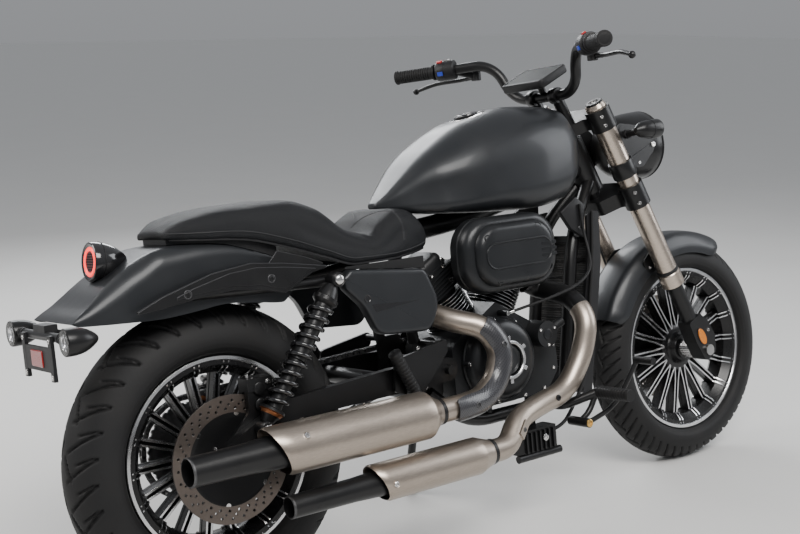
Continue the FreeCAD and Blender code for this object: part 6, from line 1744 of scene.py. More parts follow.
class CRUISER_OT_rear_fender(bpy.types.Operator):
    """Makes the rear fender, the strut covers and the tail lamp"""

    bl_idname = "cruiser.rear_fender"
    bl_label = "Rear fender"

    def execute(self, context):
        form = Form()
        half, wall = 100.6, 3.0
        stations = np.concatenate([np.linspace(-297, -250, 14), np.linspace(-244, 140, 62),
                                   np.linspace(146, 188, 16)])
        tops = smooth_table(FENDER_TOP_LINE, stations)
        feet = smooth_table(FENDER_FOOT_LINE, stations)
        crowns = smooth_table(FENDER_CROWN, stations)
        rings = []
        for (x, top), (_, foot), (_, crown, corner) in zip(tops, feet, crowns):
            foot = min(foot, top - 1.2)
            crown = max(crown, top)
            corner = min(corner, (top - foot) * 0.8)
            shoulder = []
            for k in range(13):
                angle = math.radians(180 - 90 * k / 12)
                shoulder.append((corner - half + corner * math.cos(angle),
                                 crown - corner + corner * math.sin(angle)))
            crest = [((corner - half) * (1 - k / 6), crown) for k in range(1, 12)]
            right = [(-half, foot), *shoulder]
            outer = right + crest + [(-y, z) for y, z in reversed(right)]
            outer = [(y, max(min(z, top - 1.5 * (y / half) ** 2), foot)) for y, z in outer]
            inner = [(y * (half - wall) / half, z if z <= foot + 0.01 else max(foot, z - wall))
                     for y, z in reversed(outer)]
            rings.append([(x, y, z) for y, z in outer + inner])
        form.rings(rings, 0)
        build(form, "rear_fender_shell", "frame", "Body paint", "rear_fender", bevel=0.5, sharp=40)
        self.make_struts()
        self.make_lamp()
        return {"FINISHED"}

    def make_struts(self):
        outline = rounded([
            (-193, 628, 3), (-126, 656, 30), (-18, 687, 30), (70, 697, 30), (146, 688, 30), (262, 668, 3),
            (210, 660, 8), (143, 627, 8), (82, 642, 20), (20, 648, 30), (-55, 642, 20), (-136, 631, 20),
        ])
        panel = rounded([
            (-128, 641, 4), (-60, 664, 30), (20, 683, 30), (80, 687, 30), (146, 680, 30), (228, 667, 4),
            (203, 664, 8), (143, 635, 8), (84, 650, 20), (20, 656, 30), (-52, 650, 20),
        ])
        plate = rounded([(108, 688, 3), (132, 714, 5), (193, 696, 30), (256, 671, 3), (150, 680, 10)])
        form = Form()
        for shape, steps in (
            (outline, ((-123.3, 0), (-128.0, 0), (-129.6, 1.5))),
            (panel, ((-129.0, 0), (-130.0, 0.1), (-131.2, 1.4))),
            (plate, ((-123.9, 0), (-125.8, 0), (-126.8, 1.0))),
        ):
            # Each layer's chamfer, between its side and its drawn-in face, takes the lighter black: a painted
            # highlight along the rims.
            form.rings(layers(shape, steps), [0, 2, 0])
        for x, z in ((-74, 653), (112, 660)):
            form.lathe([(-129, 9.4), (-131.0, 9.2), (-131.8, 8.2), (-131.6, 6.6), (-130.4, 6.2)], (x, 0, z),
                       "Y", 32, 1)
            form.bolt((x, -130.4, z), (0, -1, 0), 5.4, 1.4, 0, "socket")
        build(form, "strut_covers", "frame", ["Black metal", "Dark steel", "Black with painted edge highlight"], "fender_struts",
              bevel=0.3, mirror=True)

    def make_lamp(self):
        place = Matrix.Translation((-212, 0, 732)) @ Matrix.Rotation(math.radians(6), 4, "Y")
        form = Form(place)
        shell = [(2.5, 29), (0.4, 33.8), (0, 36), (1.2, 38), (4, 39), (16, 39), (27, 37.6), (38, 35),
                 (48, 31.2), (58, 25), (68, 18.6), (76, 11.4), (80, 6), (82, 0)]
        form.lathe(shell, axis="X", sides=72, ink=0)
        form.lathe([(3, 21), (1.2, 22.4), (0.8, 25), (0.9, 27.6), (2.6, 29.2)], axis="X", sides=72, ink=1)
        form.lathe([(3, 0), (2.6, 10), (2.8, 21)], axis="X", sides=48, ink=2)
        for row in range(-3, 4):
            for column in range(-3, 4):
                y, z = column * 5.6 + (2.8 if row % 2 else 0), row * 5
                if math.hypot(y, z) < 18:
                    form.lathe([(2.8, 0), (1.9, 1.1), (1.8, 1.7), (2.8, 2.2)], (0, y, z), "X", 12, 3)
        form.lathe([(20, 38.7), (20, 39.4), (22, 39.2), (22, 38.4)], axis="X", sides=72, ink=3)
        form.turn = Matrix()
        form.box((-194, -13, 704), (-152, 13, 722), 0)
        build(form, "bullet_tail_lamp", "frame", ["Gloss black", "Lit red ring", "Red lens", "Black plastic"],
              "tail_lamp", bevel=0.3)


class CRUISER_OT_covers(bpy.types.Operator):
    """Makes the side covers below the seat and the panels beside the steering head"""

    bl_idname = "cruiser.covers"
    bl_label = "Side covers"

    def execute(self, context):
        form = Form()
        outline = rounded([
            (272, 640, 8), (292, 655, 12), (485, 634, 22), (520, 556, 70), (488, 497, 32), (350, 508, 34),
            (318, 574, 70), (276, 616, 12),
        ])
        steps = ((-123.4, 0), (-141, 0), (-145.4, 1.2), (-147.6, 3.4), (-148.6, 6.4), (-148.9, 12))
        form.rings(layers(outline, steps), 0)
        # The hole in the cover is a gloss black disc inside a rubber ring: a dark disc that stands for the
        # shade in the hole.
        form.lathe([(-149.1, 0), (-149.3, 6.4), (-150, 7.4), (-149.3, 8.6), (-148, 8.8)], (326, 0, 590), "Y",
                   32, [2, 2, 1, 1])
        # A thin gloss black wedge on the cover's face: painted shade for the lower facet of a dart.
        ridge = [(334, 577), (345, 557), (462, 569), (462, 570)]
        form.rings([[(u, -148.0, v) for u, v in ridge],
                    [(335, -149.2, 576), (345, -149.2, 558.5), (458, -149.0, 569.2), (458, -149.0, 569.8)]],
                   2)
        form.rod((474, -132, 560), (474, -104.2, 560), 7, 1, 20)
        build(form, "side_cover_panels", "frame", ["Body paint", "Rubber", "Gloss black"], "side_covers",
              bevel=0.4, sharp=30, mirror=True)
        form = Form()
        outline = rounded([(952, 712, 5), (1008, 746, 8), (1034, 724, 6), (1029, 640, 6), (984, 668, 8)])
        form.rings(layers(outline, ((-76.8, 0), (-86, 0), (-88.6, 1.2), (-89.6, 3.4))), 0)
        form.bolt((1012, -89.6, 668), (0, -1, 0), 5.4, 2.6, 1, "socket")
        form.rod((1014, -80, 652), (1014, -72, 652), 7, 1, 20)
        build(form, "neck_panels", "frame", ["Black plastic", "Dark steel"], "neck_covers", bevel=0.4,
              sharp=30, mirror=True)
        return {"FINISHED"}


def cylinder_form(form, side, fins):
    """One finned cylinder with its head, rocker cover, side plug and bolts, on its own tilted axes."""
    form.turn = cylinder_turn(side)
    form.lathe([(112, 0), (112, 50), (196, 50), (196, 0)], axis="Z", sides=64, ink=0)
    base, reach = 49.0, 62.0
    for k in range(fins):
        z = 117 + 74 * k / fins
        form.lathe([(z - 1.6, base), (z - 0.9, reach - 1), (z - 0.5, reach), (z + 0.5, reach),
                    (z + 0.9, reach - 1), (z + 1.6, base)],
                   axis="Z", sides=80, ink=[0, 1, 1, 1, 0])
    outline = rectangle(52, 62, 16)
    slim = inset(outline, 5)
    rings = []
    z = 196.0
    while z < 252:
        for lift, loop in ((0, slim), (1.4, outline), (3.0, outline), (4.4, slim)):
            rings.append([(u, v, z + lift) for u, v in loop])
        z += 8.2
    form.rings(rings, 0)
    cover = rectangle(38, 50, 18)
    steps = ((250, -3), (256, -3), (257, 0), (272, 0), (279, 2.4), (282.6, 6), (284, 11))
    form.rings([[(u, v, z) for u, v in inset(cover, draw)] for z, draw in steps], 0)
    for u, v in ((-32, -44), (32, -44), (32, 44), (-32, 44)):
        form.lathe([(256, 0), (256, 7.4), (262, 7.4), (263, 6)], centre=(u, v, 0), axis="Z", sides=24, ink=0)
        form.bolt((u, v, 263), (0, 0, 1), 5, 4, 2, "socket")
    for v in (-22, 0, 22):
        form.box((-30, v - 1.6, 280), (30, v + 1.6, 283.8), 0)
    for v in (-56, 56):
        for u in (-20, 20):
            form.bolt((u, v, 252), (0, 0, 1), 4.4, 3, 2)
    form.rod((side * -20, -58, 214), (side * -20, -61.5, 214), 9, 2, 6)
    form.turn = Matrix()


CLUTCH_ARM = (722, 500)


def boss_ring(form, centre, reach, degrees, foot, face):
    """Tapered bosses along Y round a cover, each with its socket bolt."""
    out = math.copysign(1, face)
    for angle in degrees:
        x, _, z = Vector(centre) + round_spot(angle, reach)
        form.lathe([(foot, 0), (foot, 8.4), (face - out, 7.8), (face, 6.6), (face, 0)], (x, 0, z), "Y", 24, 3)
        form.bolt((x, face, z), (0, out, 0), 5, 4, 2, "socket")


class CRUISER_OT_engine(bpy.types.Operator):
    """Makes the vee engine: finned cylinders, the covers with their bosses and the case bolts"""

    bl_idname = "cruiser.engine"
    bl_label = "Engine"

    def execute(self, context):
        fins = context.scene.cruiser_sizes.fins
        names = ["Engine enamel", "Machined edge", "Bright steel", "Cover enamel", "Dark steel",
                 "Black plastic"]
        form = Form()
        for side in (-1, 1):
            cylinder_form(form, side, fins)
        build(form, "finned_cylinders", "frame", names, "cylinders", sharp=32,
              weld=False)
        dress("engine_case", "Engine enamel")
        self.right_cover(names)
        self.left_cover(names)
        trim = Form()
        for x, z in ((604, 330), (640, 300), (700, 296), (780, 296), (842, 302), (876, 345), (880, 400),
                     (868, 440)):
            for out in (-1, 1):
                trim.bolt((x, out * 99.5, z), (0, out, 0), 5, 4, 2, "socket")
        pump = Vector((826, 0, 436))
        for angle in (30, 150, 270):
            trim.bolt(pump + round_spot(angle, 25) + Vector((0, -146, 0)), (0, -1, 0), 4.2, 3, 2, "socket")
        trim.lathe([(-146, 0), (-148, 0), (-148.6, 10), (-147.6, 13), (-146, 13)], pump, "Y", 32, 3)
        build(trim, "case_bolts", "frame", names, bevel=0.2)
        return {"FINISHED"}

    def right_cover(self, names):
        form = Form()
        centre = (694, 0, 398)
        form.lathe([(-100.4, 0), (-100.4, 97), (-108, 98), (-109.5, 97.2), (-111, 94.5), (-113, 94.5),
                    (-115, 97), (-126, 96), (-138, 91), (-146, 82), (-149.4, 71), (-150.2, 60), (-150.3, 46)],
                   centre, "Y", 128, 3)
        form.lathe([(-148, 45), (-158, 45.4), (-161.6, 44.4), (-163.1, 42.6), (-163.1, 38.4), (-161.4, 36.6),
                    (-156, 36.2)],
                   centre, "Y", 96, [3, 1, 1, 1, 1, 1])
        form.lathe([(-150, 36.4), (-153.6, 35.4), (-155.6, 32), (-156.3, 27), (-155.2, 25.6), (-155.2, 10),
                    (-156, 8.6), (-156, 0)],
                   centre, "Y", 80, 3)
        for k in range(6):
            out = round_spot(30 + 60 * k)
            across = Vector((-out.z, 0, out.x))
            base = Vector(centre) + out * 47
            rings = []
            for y, draw in ((-149.4, 0), (-159.4, 0), (-160, 0.6)):
                ring = [(-4, draw - 4.6), (7.6 - draw, draw - 4.6), (7.6 - draw, 4.6 - draw),
                        (-4, 4.6 - draw)]
                rings.append([base + out * u + across * v + Vector((0, y, 0)) for u, v in ring])
            form.rings(rings, 1)
        x, z = CLUTCH_ARM
        form.rod((x, -100.4, z), (x, -132.6, z), 6.9, 3, 32)
        form.bolt((x, -132.4, z), (0, -1, 0), 4.0, 0.5, 2)
        boss_ring(form, centre, 91.5, [18 + 40 * k for k in range(9)], -108, -128)
        build(form, "clutch_cover", "frame", names, "right_cover", bevel=0.4, sharp=34)

    def left_cover(self, names):
        form = Form()
        centre = (720, 0, 392)
        form.lathe([(100.4, 0), (100.4, 85), (104, 86), (120, 85.4), (131, 81), (138, 72), (141.4, 60),
                    (142.2, 50), (141, 48), (139.6, 46), (139.6, 0)], centre, "Y", 112, 3)
        form.lathe([(139, 0), (139, 26), (141.4, 26), (142, 24.6), (142, 14), (141, 13), (141, 0)], centre,
                   "Y", 64, 3)
        form.box((709, 140.6, 389), (731, 142.1, 395), 4)
        boss_ring(form, centre, 79, [10 + 360 * k / 7 for k in range(7)], 101, 127)
        outline = rounded([
            (640, 330, 16), (650, 330, 8), (650, 455, 8), (640, 462, 14), (585, 470, 26), (566, 440, 22),
            (566, 372, 22), (600, 325, 26),
        ])
        form.rings(layers(outline, ((100.4, 0), (117, 0), (120.6, 1.2), (122.2, 4))), 5)
        for x, z in ((580, 452), (576, 384), (606, 342), (632, 448)):
            form.bolt((x, 122, z), (0, 1, 0), 4.4, 3.4, 2, "socket")
        build(form, "generator_cover", "frame", names, "left_cover", bevel=0.4, sharp=34)


class CRUISER_OT_air_cleaner(bpy.types.Operator):
    """Makes the air cleaner: the lipped base, the domed face with bolt pockets, its slot and its fins"""

    bl_idname = "cruiser.air_cleaner"
    bl_label = "Air cleaner"

    def execute(self, context):
        form = Form()
        x, z = 723, 641

        def dome(half_length, half_height, radius, steps):
            """Layers with round ends at each (y, added half length, added half height)."""
            rings = []
            for y, longer, taller in steps:
                outline = rectangle(half_length + longer, half_height + taller, radius + taller, x, z, 6)
                rings.append([(u, y, v) for u, v in outline])
            return rings

        form.rings(dome(139, 86, 70, (
            (-104, -9, -9), (-110, -2, -2), (-128, 0, 0), (-134, 0, 0), (-136.5, -2.2, -2.2),
            (-138.5, -2.2, -2.2), (-140.5, 0, 0), (-152, -0.6, -0.6), (-161, -4, -3.5), (-166.6, -10, -7.5),
            (-169.4, -17, -12), (-170.2, -22, -15),
        )), 0)
        rings = dome(115, 71, 58, (
            (-168, 0, 0), (-172, 0, 0), (-174.6, -1.2, -1.2), (-181, -4, -3.4), (-186, -8.6, -7),
            (-189, -14.5, -12), (-190, -21, -17),
        ))
        rings.append([(u, -190, v) for u, v in rectangle(93.5, 26, 25.9, x, z, 6)])
        form.rings(rings, 0)
        slot = ((-189.8, -5), (-192.4, -4), (-192.6, -2), (-190.4, 0), (-183.5, 1.0), (-182.2, 2.5))
        form.rings([[(u, y, v) for u, v in rectangle(94 - draw, 26 - draw, 25.4 - draw, x, z, 6)]
                    for y, draw in slot], 0, caps=(False, True))
        badge = ((-182, 0), (-187.4, 0), (-188.6, 1.2), (-188.8, 2.4))
        form.rings([[(u, y, v) for u, v in rectangle(72 - draw, 17.5 - draw, 17 - draw, x - 8, z, 6)]
                    for y, draw in badge], 1)
        fin = ((62, 3.6, -188), (70, 4.4, -192), (112, 4.4, -190.5), (118, 3.6, -184), (120, 2.6, -178))
        for dz in (-13, 0, 13):
            rings = []
            for dx, half, top in fin:
                sides = ((-172, -half), (top, -half * 0.8), (top, half * 0.8), (-172, half))
                rings.append([(x + dx, y, z + dz + across) for y, across in sides])
            form.rings(rings, 0)
        for dx, dz in ((-88, 40), (62, 54), (-62, -54), (88, -40)):
            pocket = [(-180, 9.6), (-188.6, 9.8), (-189.6, 8.8), (-189.6, 7.8), (-181, 6.8), (-181, 0)]
            form.lathe(pocket, (x + dx, 0, z + dz), "Y", 32, 0)
            form.bolt((x + dx, -181, z + dz), (0, -1, 0), 5, 4, 2, "socket")
        build(form, "air_cleaner_housing", "frame", ["Cover enamel", "Gloss black", "Dark steel"],
              "air_cleaner", bevel=0.5, sharp=32)
        neck = Form()
        meet = Vector((712, -40, 655))
        neck.rod((meet.x, -106, meet.z), meet, 21.8, 0, 40)
        for side in (-1, 1):
            port = cylinder_turn(side) @ Vector((-side * 52.3, -40, 225))
            way = (meet - port).normalized()
            neck.tube([port, port + way * 6, port + way * 6.2, meet], [17.9, 17.9, 16.6, 16.6], 32, 0)
            neck.lathe([(12, 17), (12, 19), (22, 19), (22, 17)], axis="Z", sides=36, ink=1,
                       turn=facing(port, way))
        build(neck, "intake_neck", "frame", ["Rubber", "Bright steel"], bevel=0.3)
        return {"FINISHED"}


def exhaust_port(side):
    """The middle of a head's outer face, and the way out of its port."""
    turn = cylinder_turn(side)
    port = turn @ Vector((side * 52.3, -34, 215))
    return port, turn.to_3x3() @ Vector((side, 0, 0))


def rear_pipe_points():
    port, outward = exhaust_port(-1)
    return [
        port, port + outward * 34, Vector((548, -118, 512)), Vector((612, -176, 488)),
        Vector((640, -190, 432)), Vector((616, -193, 368)), Vector((560, -203, 337)),
        Vector((500, MUFFLER_OFFSET, 335)), Vector((430.3, MUFFLER_OFFSET, 335)),
    ]


class CRUISER_OT_exhaust(bpy.types.Operator):
    """Makes both exhaust pipes, the two slash-cut mufflers with dark cores, bolts and the heat shield"""

    bl_idname = "cruiser.exhaust"
    bl_label = "Exhaust"

    def execute(self, context):
        names = ["Exhaust metal", "Black metal", "Bright steel", "Dark steel", "Copper band"]
        port, outward = exhaust_port(1)
        front = [
            port, port + outward * 46, Vector((930, -122, 512)), Vector((926, -178, 460)),
            Vector((903, -178, 383)), Vector((838, -178, 302)), Vector((742, -180, 285)),
            Vector((672, -192, 270)), Vector((615, MUFFLER_OFFSET, 220)),
            Vector((560.3, MUFFLER_OFFSET, 220)),
        ]
        form = Form()
        for corners in (front, rear_pipe_points()):
            line = route(corners, 5)
            bare = [point.z > 488 if corners is front else point.y > -84 for point in line]
            form.tube(line, [24.6 if dark else 25.9 for dark in bare], 40,
                      [1 if dark else 0 for dark in bare])
        for spot, way in ((port, outward), exhaust_port(-1)):
            turn = facing(spot, way)
            form.lathe([(0.2, 24), (0.2, 29.5), (5, 29.5), (6, 28.5), (9, 27.4), (9, 24)], axis="Z", sides=40,
                       ink=3, turn=turn)
            for sign in (-1, 1):
                form.rod(turn @ Vector((sign * 33, 0, -0.2)), turn @ Vector((sign * 33, 0, 11)), 3, 2, 12)
                form.bolt(turn @ Vector((sign * 33, 0, 6)), way, 5, 4.6, 2)
            form.box((-38, -9, 2.5), (38, 9, 6), 3, turn=turn)
        build(form, "exhaust_headers", "frame", names, "exhaust_pipes", sharp=34)
        self.make_mufflers(names)
        self.make_bolts(names)
        self.make_shield()
        return {"FINISHED"}

    def make_mufflers(self, names):
        form = Form()
        slope = math.tan(math.radians(24))
        for radius, height, front, back, tip in ((51, 335, 430, 8, -154), (41, 220, 560, 240, 50)):
            centre = Vector((0, MUFFLER_OFFSET, height))
            profile = [(front, 24), (front, 28), (front - 1.2, 29.2), (front - 6, 30.5),
                       (front - 20, 39.5 if radius > 45 else 35), (front - 33, radius - 1.2),
                       (front - 37, radius), (front - 60, radius)]
            rings = [[centre + Vector((along, u, v)) for u, v in circle(reach, 96)]
                     for along, reach in profile]
            barrel = front - 60
            outside = [(share, radius) for share in (0.2, 0.45, 0.7, 0.9, 0.975)]
            inside = [(share, radius - 3.2) for share in (1.0, 1.0, 0.985, 0.9)]
            for share, reach in outside + inside:
                ring = []
                for u, v in circle(reach, 96):
                    end = back + (radius - v) * slope
                    ring.append(centre + Vector((barrel + (end - barrel) * share, u, v)))
                rings.append(ring)
            form.rings(rings, 0, caps=(True, False))
            end = radius * 0.56
            shoulder = back + 8
            form.lathe([(back + 80, 0), (back + 80, radius * 0.715), (shoulder, radius * 0.66),
                        (back - 40, radius * 0.6), (tip + 5, end), (tip + 1.2, end), (tip, end - 1.2),
                        (tip, end - 2.6), (tip + 30, end - 3), (tip + 88, end + 0.6), (tip + 88, 0)],
                       centre, "X", 72, [1, 1, 1, 1, 3, 3, 3, 1, 1, 1])
            form.lathe([(front - 4, 28), (front - 4, 28.9), (front + 9, 28.4), (front + 9, 26)], centre, "X",
                       56, 1)
        build(form, "muffler_covers", "frame", names, "mufflers", sharp=34)

    def make_bolts(self, names):
        form = Form()
        for x, height, radius, rise in ((82, 335, 51, 33), (281, 220, 41, 0)):
            out = Vector((0, -math.cos(math.radians(rise)), math.sin(math.radians(rise))))
            spot = Vector((x, MUFFLER_OFFSET, height)) + out * radius
            form.lathe([(-1.5, 8.4), (0.3, 8.6), (0.5, 7.8), (-0.6, 6.6)], axis="Z", sides=32,
                       turn=facing(spot, out))
            form.bolt(spot - out * 0.6, out, 6.0, 2.9, 2, "socket")
        out = Vector((0.05, -1, 0.12)).normalized()
        form.bolt(Vector((788, -179, 294)) + out * 25.6, out, 7.4, 2.2, 1, "socket")
        start, end = Vector((665, -193.5, 264)), Vector((634, -206.5, 237))
        way = (end - start).normalized()
        out = Vector((0, -1, 0)) - way * way.dot(Vector((0, -1, 0)))
        out = (out.normalized() + way.cross(out).normalized() * -0.25).normalized()
        across = way.cross(out)
        strap = start + way * 20
        rings = []
        for lift, draw in ((22.5, 0), (28.2, 0), (28.8, 0.6)):
            long, wide = way * (20 - draw), across * (11 - draw)
            middle = strap + out * lift
            rings.append([middle - long - wide, middle + long - wide, middle + long + wide,
                          middle - long + wide])
        form.rings(rings, 0)
        form.bolt(start + way * 21 + out * 28.6, out, 5.6, 2.4, 3, "socket")
        build(form, "muffler_bolts", "frame", names)

    def make_shield(self):
        line = route(rear_pipe_points(), 3)
        form = Form()
        outward = Vector((0, -1, 0))
        step = 4
        keep = []
        for a, b in zip(line, line[1:]):
            count = max(1, int((b - a).length / step))
            for k in range(count):
                keep.append(a + (b - a) * k / count)
        keep = [p for p in keep if 468 < p.x < 760 and p.z < 494 and p.y < -170]
        rings = []
        for index, point in enumerate(keep):
            a, b = keep[max(index - 1, 0)], keep[min(index + 1, len(keep) - 1)]
            way = (b - a).normalized()
            out = (outward - way * way.dot(outward)).normalized()
            rise = way.cross(out)
            near = min(index, len(keep) - 1 - index) * step
            spread = 78 - 20 * max(0, 1 - near / 34) ** 2
            ring = []
            for reach, turn in ((31.8, range(-14, 15)), (29.8, range(14, -15, -1))):
                for k in turn:
                    angle = math.radians(spread * (k / 14 if k * rise.x > 0 else k / 20))
                    ring.append(point + (out * math.cos(angle) + rise * math.sin(angle)) * reach)
            rings.append(ring)
        form.rings(rings, 0)
        for share in (0.22, 0.82):
            index = int(len(keep) * share)
            point = keep[index]
            way = (keep[index + 1] - keep[index - 1]).normalized()
            out = (outward - way * way.dot(outward)).normalized()
            form.bolt(point + out * 31.0, out, 7.4, 2.4, 1, "socket")
        build(form, "carbon_heat_shield", "frame", ["Carbon cloth", "Dark steel"], "heat_shield", bevel=0.2)


class CRUISER_OT_shocks(bpy.types.Operator):
    """Makes the rear shocks: coil, body, collars, nuts and copper band"""

    bl_idname = "cruiser.shocks"
    bl_label = "Rear shocks"

    def execute(self, context):
        coils = context.scene.cruiser_sizes.coils
        foot, top = Vector((50, 0, 370)), Vector((250, 0, 641))
        names = ["Black metal", "Bright steel", "Copper band", "Rubber", "Dark steel", "Gloss black"]
        form = Form()
        for out in (-1, 1):
            away = Vector((0, out * SHOCK_OFFSET, 0))
            a, b = foot + away, top + away
            length = (b - a).length
            turn = facing(a, (b - a).normalized())
            form.lathe([(12, 0), (12, 12), (24, 17), (28, 21), (34, 23), (36, 26.6), (41, 26.6), (43, 24),
                        (44, 15.5), (150, 15.5), (152, 18.8), (length - 96, 18.8), (length - 60, 18.8),
                        (length - 54, 25), (length - 52, 26.8), (length - 44, 26.8), (length - 42, 23),
                        (length - 26, 18), (length - 14, 12), (length - 14, 0)],
                       axis="Z", sides=48, ink=[0] * 3 + [2, 2] + [0] * 14, turn=turn)
            low, high = 49.0, length - 60
            line = []
            for k in range(coils * 22 + 1):
                share = k / (coils * 22)
                angle = 2 * math.pi * coils * share
                line.append(turn @ Vector((21.9 * math.cos(angle), 21.9 * math.sin(angle),
                                           low + (high - low) * share)))
            form.tube(line, 4.9, 14, 5)
            for at, nut_sides in ((a, 6), (b, 40)):
                form.lathe([(-13, 0), (-13, 13), (-11, 15), (11, 15), (13, 13), (13, 0)], at, "Y", 40, 0)
                form.lathe([(-14.2, 9), (-14.2, 11.4), (14.2, 11.4), (14.2, 9)], at, "Y", 32, 3)
                form.lathe([(out * 13, 14.6), (out * 16, 14.6), (out * 17, 13.4), (out * 16, 11.8),
                            (out * 14.6, 0)], at, "Y", 40, 0)
                form.lathe([(out * 14.6, 0), (out * 14.6, 11), (out * 18, 11), (out * 20.5, 9.4),
                            (out * 22, 6), (out * 22.4, 0)],
                           at, "Y", nut_sides, 1)
        build(form, "rear_shocks", "frame", names, "shocks", sharp=34, weld=False)
        return {"FINISHED"}


class CRUISER_OT_radiator(bpy.types.Operator):
    """Makes the radiator core with its lugs and finishes the shroud"""

    bl_idname = "cruiser.radiator"
    bl_label = "Radiator"

    def execute(self, context):
        place = Matrix.Translation((1030, 0, 480)) @ Matrix.Rotation(math.radians(9.5), 4, "Y")
        form = Form(place)
        form.box((-10, -82, -148), (12, 82, 148), 1)
        for k in range(15):
            z = -140 + 20 * k
            form.box((-13, -82, z - 1.2), (15.2, 82, z + 1.2), 0)
        for z in (148, -165):
            form.box((-16, -85, z), (16, 85, z + 17), 0)
        for y in (-85, 81):
            form.box((-16, y, -150), (16, y + 4, 150), 0)
        build(form, "radiator_core", "frame", ["Black metal", "Radiator fins"], "radiator", bevel=0.6)
        tubes = Form()
        for side in (-1, 1):
            for height, back, front in ((400, 992, 1015), (585, 1016, 1045)):
                tubes.rod((back, side * 60, height), (front, side * 60, height), 7, 0, 20)
        build(tubes, "radiator_lugs", "frame", "Black metal")
        dress("radiator_shroud", "Black plastic")
        return {"FINISHED"}


class CRUISER_OT_frame(bpy.types.Operator):
    """Finishes the frame, swingarm, rear axle, stand and pegs, and adds their bolts and ribbed rubbers"""

    bl_idname = "cruiser.frame"
    bl_label = "Frame and stand"

    def execute(self, context):
        for node in ("frame", "swingarm", "side_stand", "forward_controls", "pillion_pegs"):
            dress(node, "Black metal")
        dress("rear_axle", "Bright steel")
        names = ["Black metal", "Bright steel", "Rubber", "Dark steel", "Gold bolt"]
        form = Form()
        for side in (-1, 1):
            form.lathe([(side * 78, 17), (side * 80, 17), (side * 81.5, 15.5), (side * 81.5, 0)],
                       (533, 0, 402), "Y", 6, 1)
            for x, z in ((500, 452), (560, 372), (512, 360)):
                form.bolt((x, side * 71, z), (0, side, 0), 5.5, 3.6, 1, "socket")
            form.rod((10, side * 134, 311), (10, side * 138.4, 311), 13, 1, 6)
            low, high = sorted((side * 134, side * 132))
            form.box((-28, low, 300), (-12, high, 322), 3)
            form.bolt((-34, side * 124, 311), (-1, 0, 0), 5, 7, 1)
        form.bolt((789, -150.2, 198), (0, -1, 0), 8, 2.6, 1, "socket")
        form.bolt((872, -214.2, 222), (0, -1, 0), 9.5, 2.6, 4, "socket")
        build(form, "frame_bolts", "frame", names, bevel=0.3)
        self.make_pegs(names)
        self.make_stand(names)
        return {"FINISHED"}

    def make_pegs(self, names):
        form = Form()
        ribs = [(196 + k, 14.9 if k % 9 < 6 else 13.6) for k in range(93)]
        ribs += [(290, 15.2), (293, 15.2), (295.6, 12)]
        form.tube([(930, y, 284) for y, _ in ribs], [radius for _, radius in ribs], 32, 2)
        start, end = Vector((418, 166, 368)), Vector((364, 172, 470))
        way = (end - start).normalized()
        line = [start.lerp(end, 0.12 + 0.86 * k / 83) for k in range(84)]
        form.tube(line, [13.9 if k % 7 < 5 else 12.9 for k in range(84)], 28, 2)
        form.tube([end - way * 4, end, end + way * 2], [14.4, 14.4, 11], 28, 0)
        build(form, "ribbed_pegs", "frame", names, sharp=50, mirror=True)

    def make_stand(self, names):
        form = Form()
        form.lathe([(117, 8), (119, 8), (119, 0)], (610, 0, 250), "Y", 6, 1)
        build(form, "stand_bolt", "stand", names)


HARNESS = (
    (1050, -97.8, 706), (1044, -97.8, 640), (1036, -97.8, 570), (1021, -97.8, 500), (1008, -97.8, 430),
    (994, -97.8, 362), (972, -105.8, 300), (925, -111.8, 248), (874, -118, 202), (828.6, -120, 202),
)
CLUTCH_CABLE = (
    (1014, -93.5, 726), (1018, -93.5, 662), (1015, -112, 610), (992, -138, 566), (930, -150, 537),
    (850, -147, 521), (775, -138, 509), (730.3, -125, 500),
)
FRONT_HOSE = (
    # along, ahead and sideways on the fork
    (452.7, -19.866, 74.425), (405, -23.866, 74.425), (350, -28.866, 74.425), (295, -35.866, 73.425),
    (245, -47.866, 68.425), (200, -80, 66), (140.3, -86, 64),
)


class CRUISER_OT_cables(bpy.types.Operator):
    """Lays the clutch cable, the harness and the front brake's hose along their routes"""

    bl_idname = "cruiser.cables"
    bl_label = "Cables and hose"

    def execute(self, context):
        self.lay("held_cables", "frame", "cables", ((HARNESS, 4.4), (CLUTCH_CABLE, 3.4)))
        hose = [fork_point(*point) for point in FRONT_HOSE]
        self.lay("front_brake_hose", "fork", "front_hose", ((hose, 2.9),))
        ends = Form()
        ends.rod((828.6, -120, 202), (840, -119.5, 202), 6.4, 0, 24)
        ends.rod((730.2, -125, 500), (742, -128.4, 502.4), 4.6, 1, 24)
        build(ends, "cable_ends", "frame", ["Black plastic", "Bright steel"], bevel=0.3)
        return {"FINISHED"}

    def lay(self, name, body, node, routes):
        curve = bpy.data.curves.new(name, "CURVE")
        curve.dimensions = "3D"
        curve.bevel_depth = MM
        curve.bevel_resolution = 5
        curve.resolution_u = 10
        curve.use_fill_caps = True
        for points, radius in routes:
            spline = curve.splines.new("NURBS")
            spline.points.add(len(points) - 1)
            for knot, point in zip(spline.points, points):
                knot.co = (*(Vector(point) * MM), 1.0)
                knot.radius = radius
            spline.order_u = 3
            spline.use_endpoint_u = True
        curve.materials.append(bpy.data.materials["Rubber"])
        item = bpy.data.objects.new(name, curve)
        bpy.context.scene.collection.objects.link(item)
        item.matrix_world = CYCLE
        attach(item, body)
        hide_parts(node)


# The photograph's viewpoint: from the ground under the rear axle in metres, and its lens in millimetres
EYE = Vector((-1.10394, -2.09705, 1.20336))
EYE_HEADING = math.radians(53.447)
EYE_DIP = math.radians(11.991)
EYE_LENS = 55.03


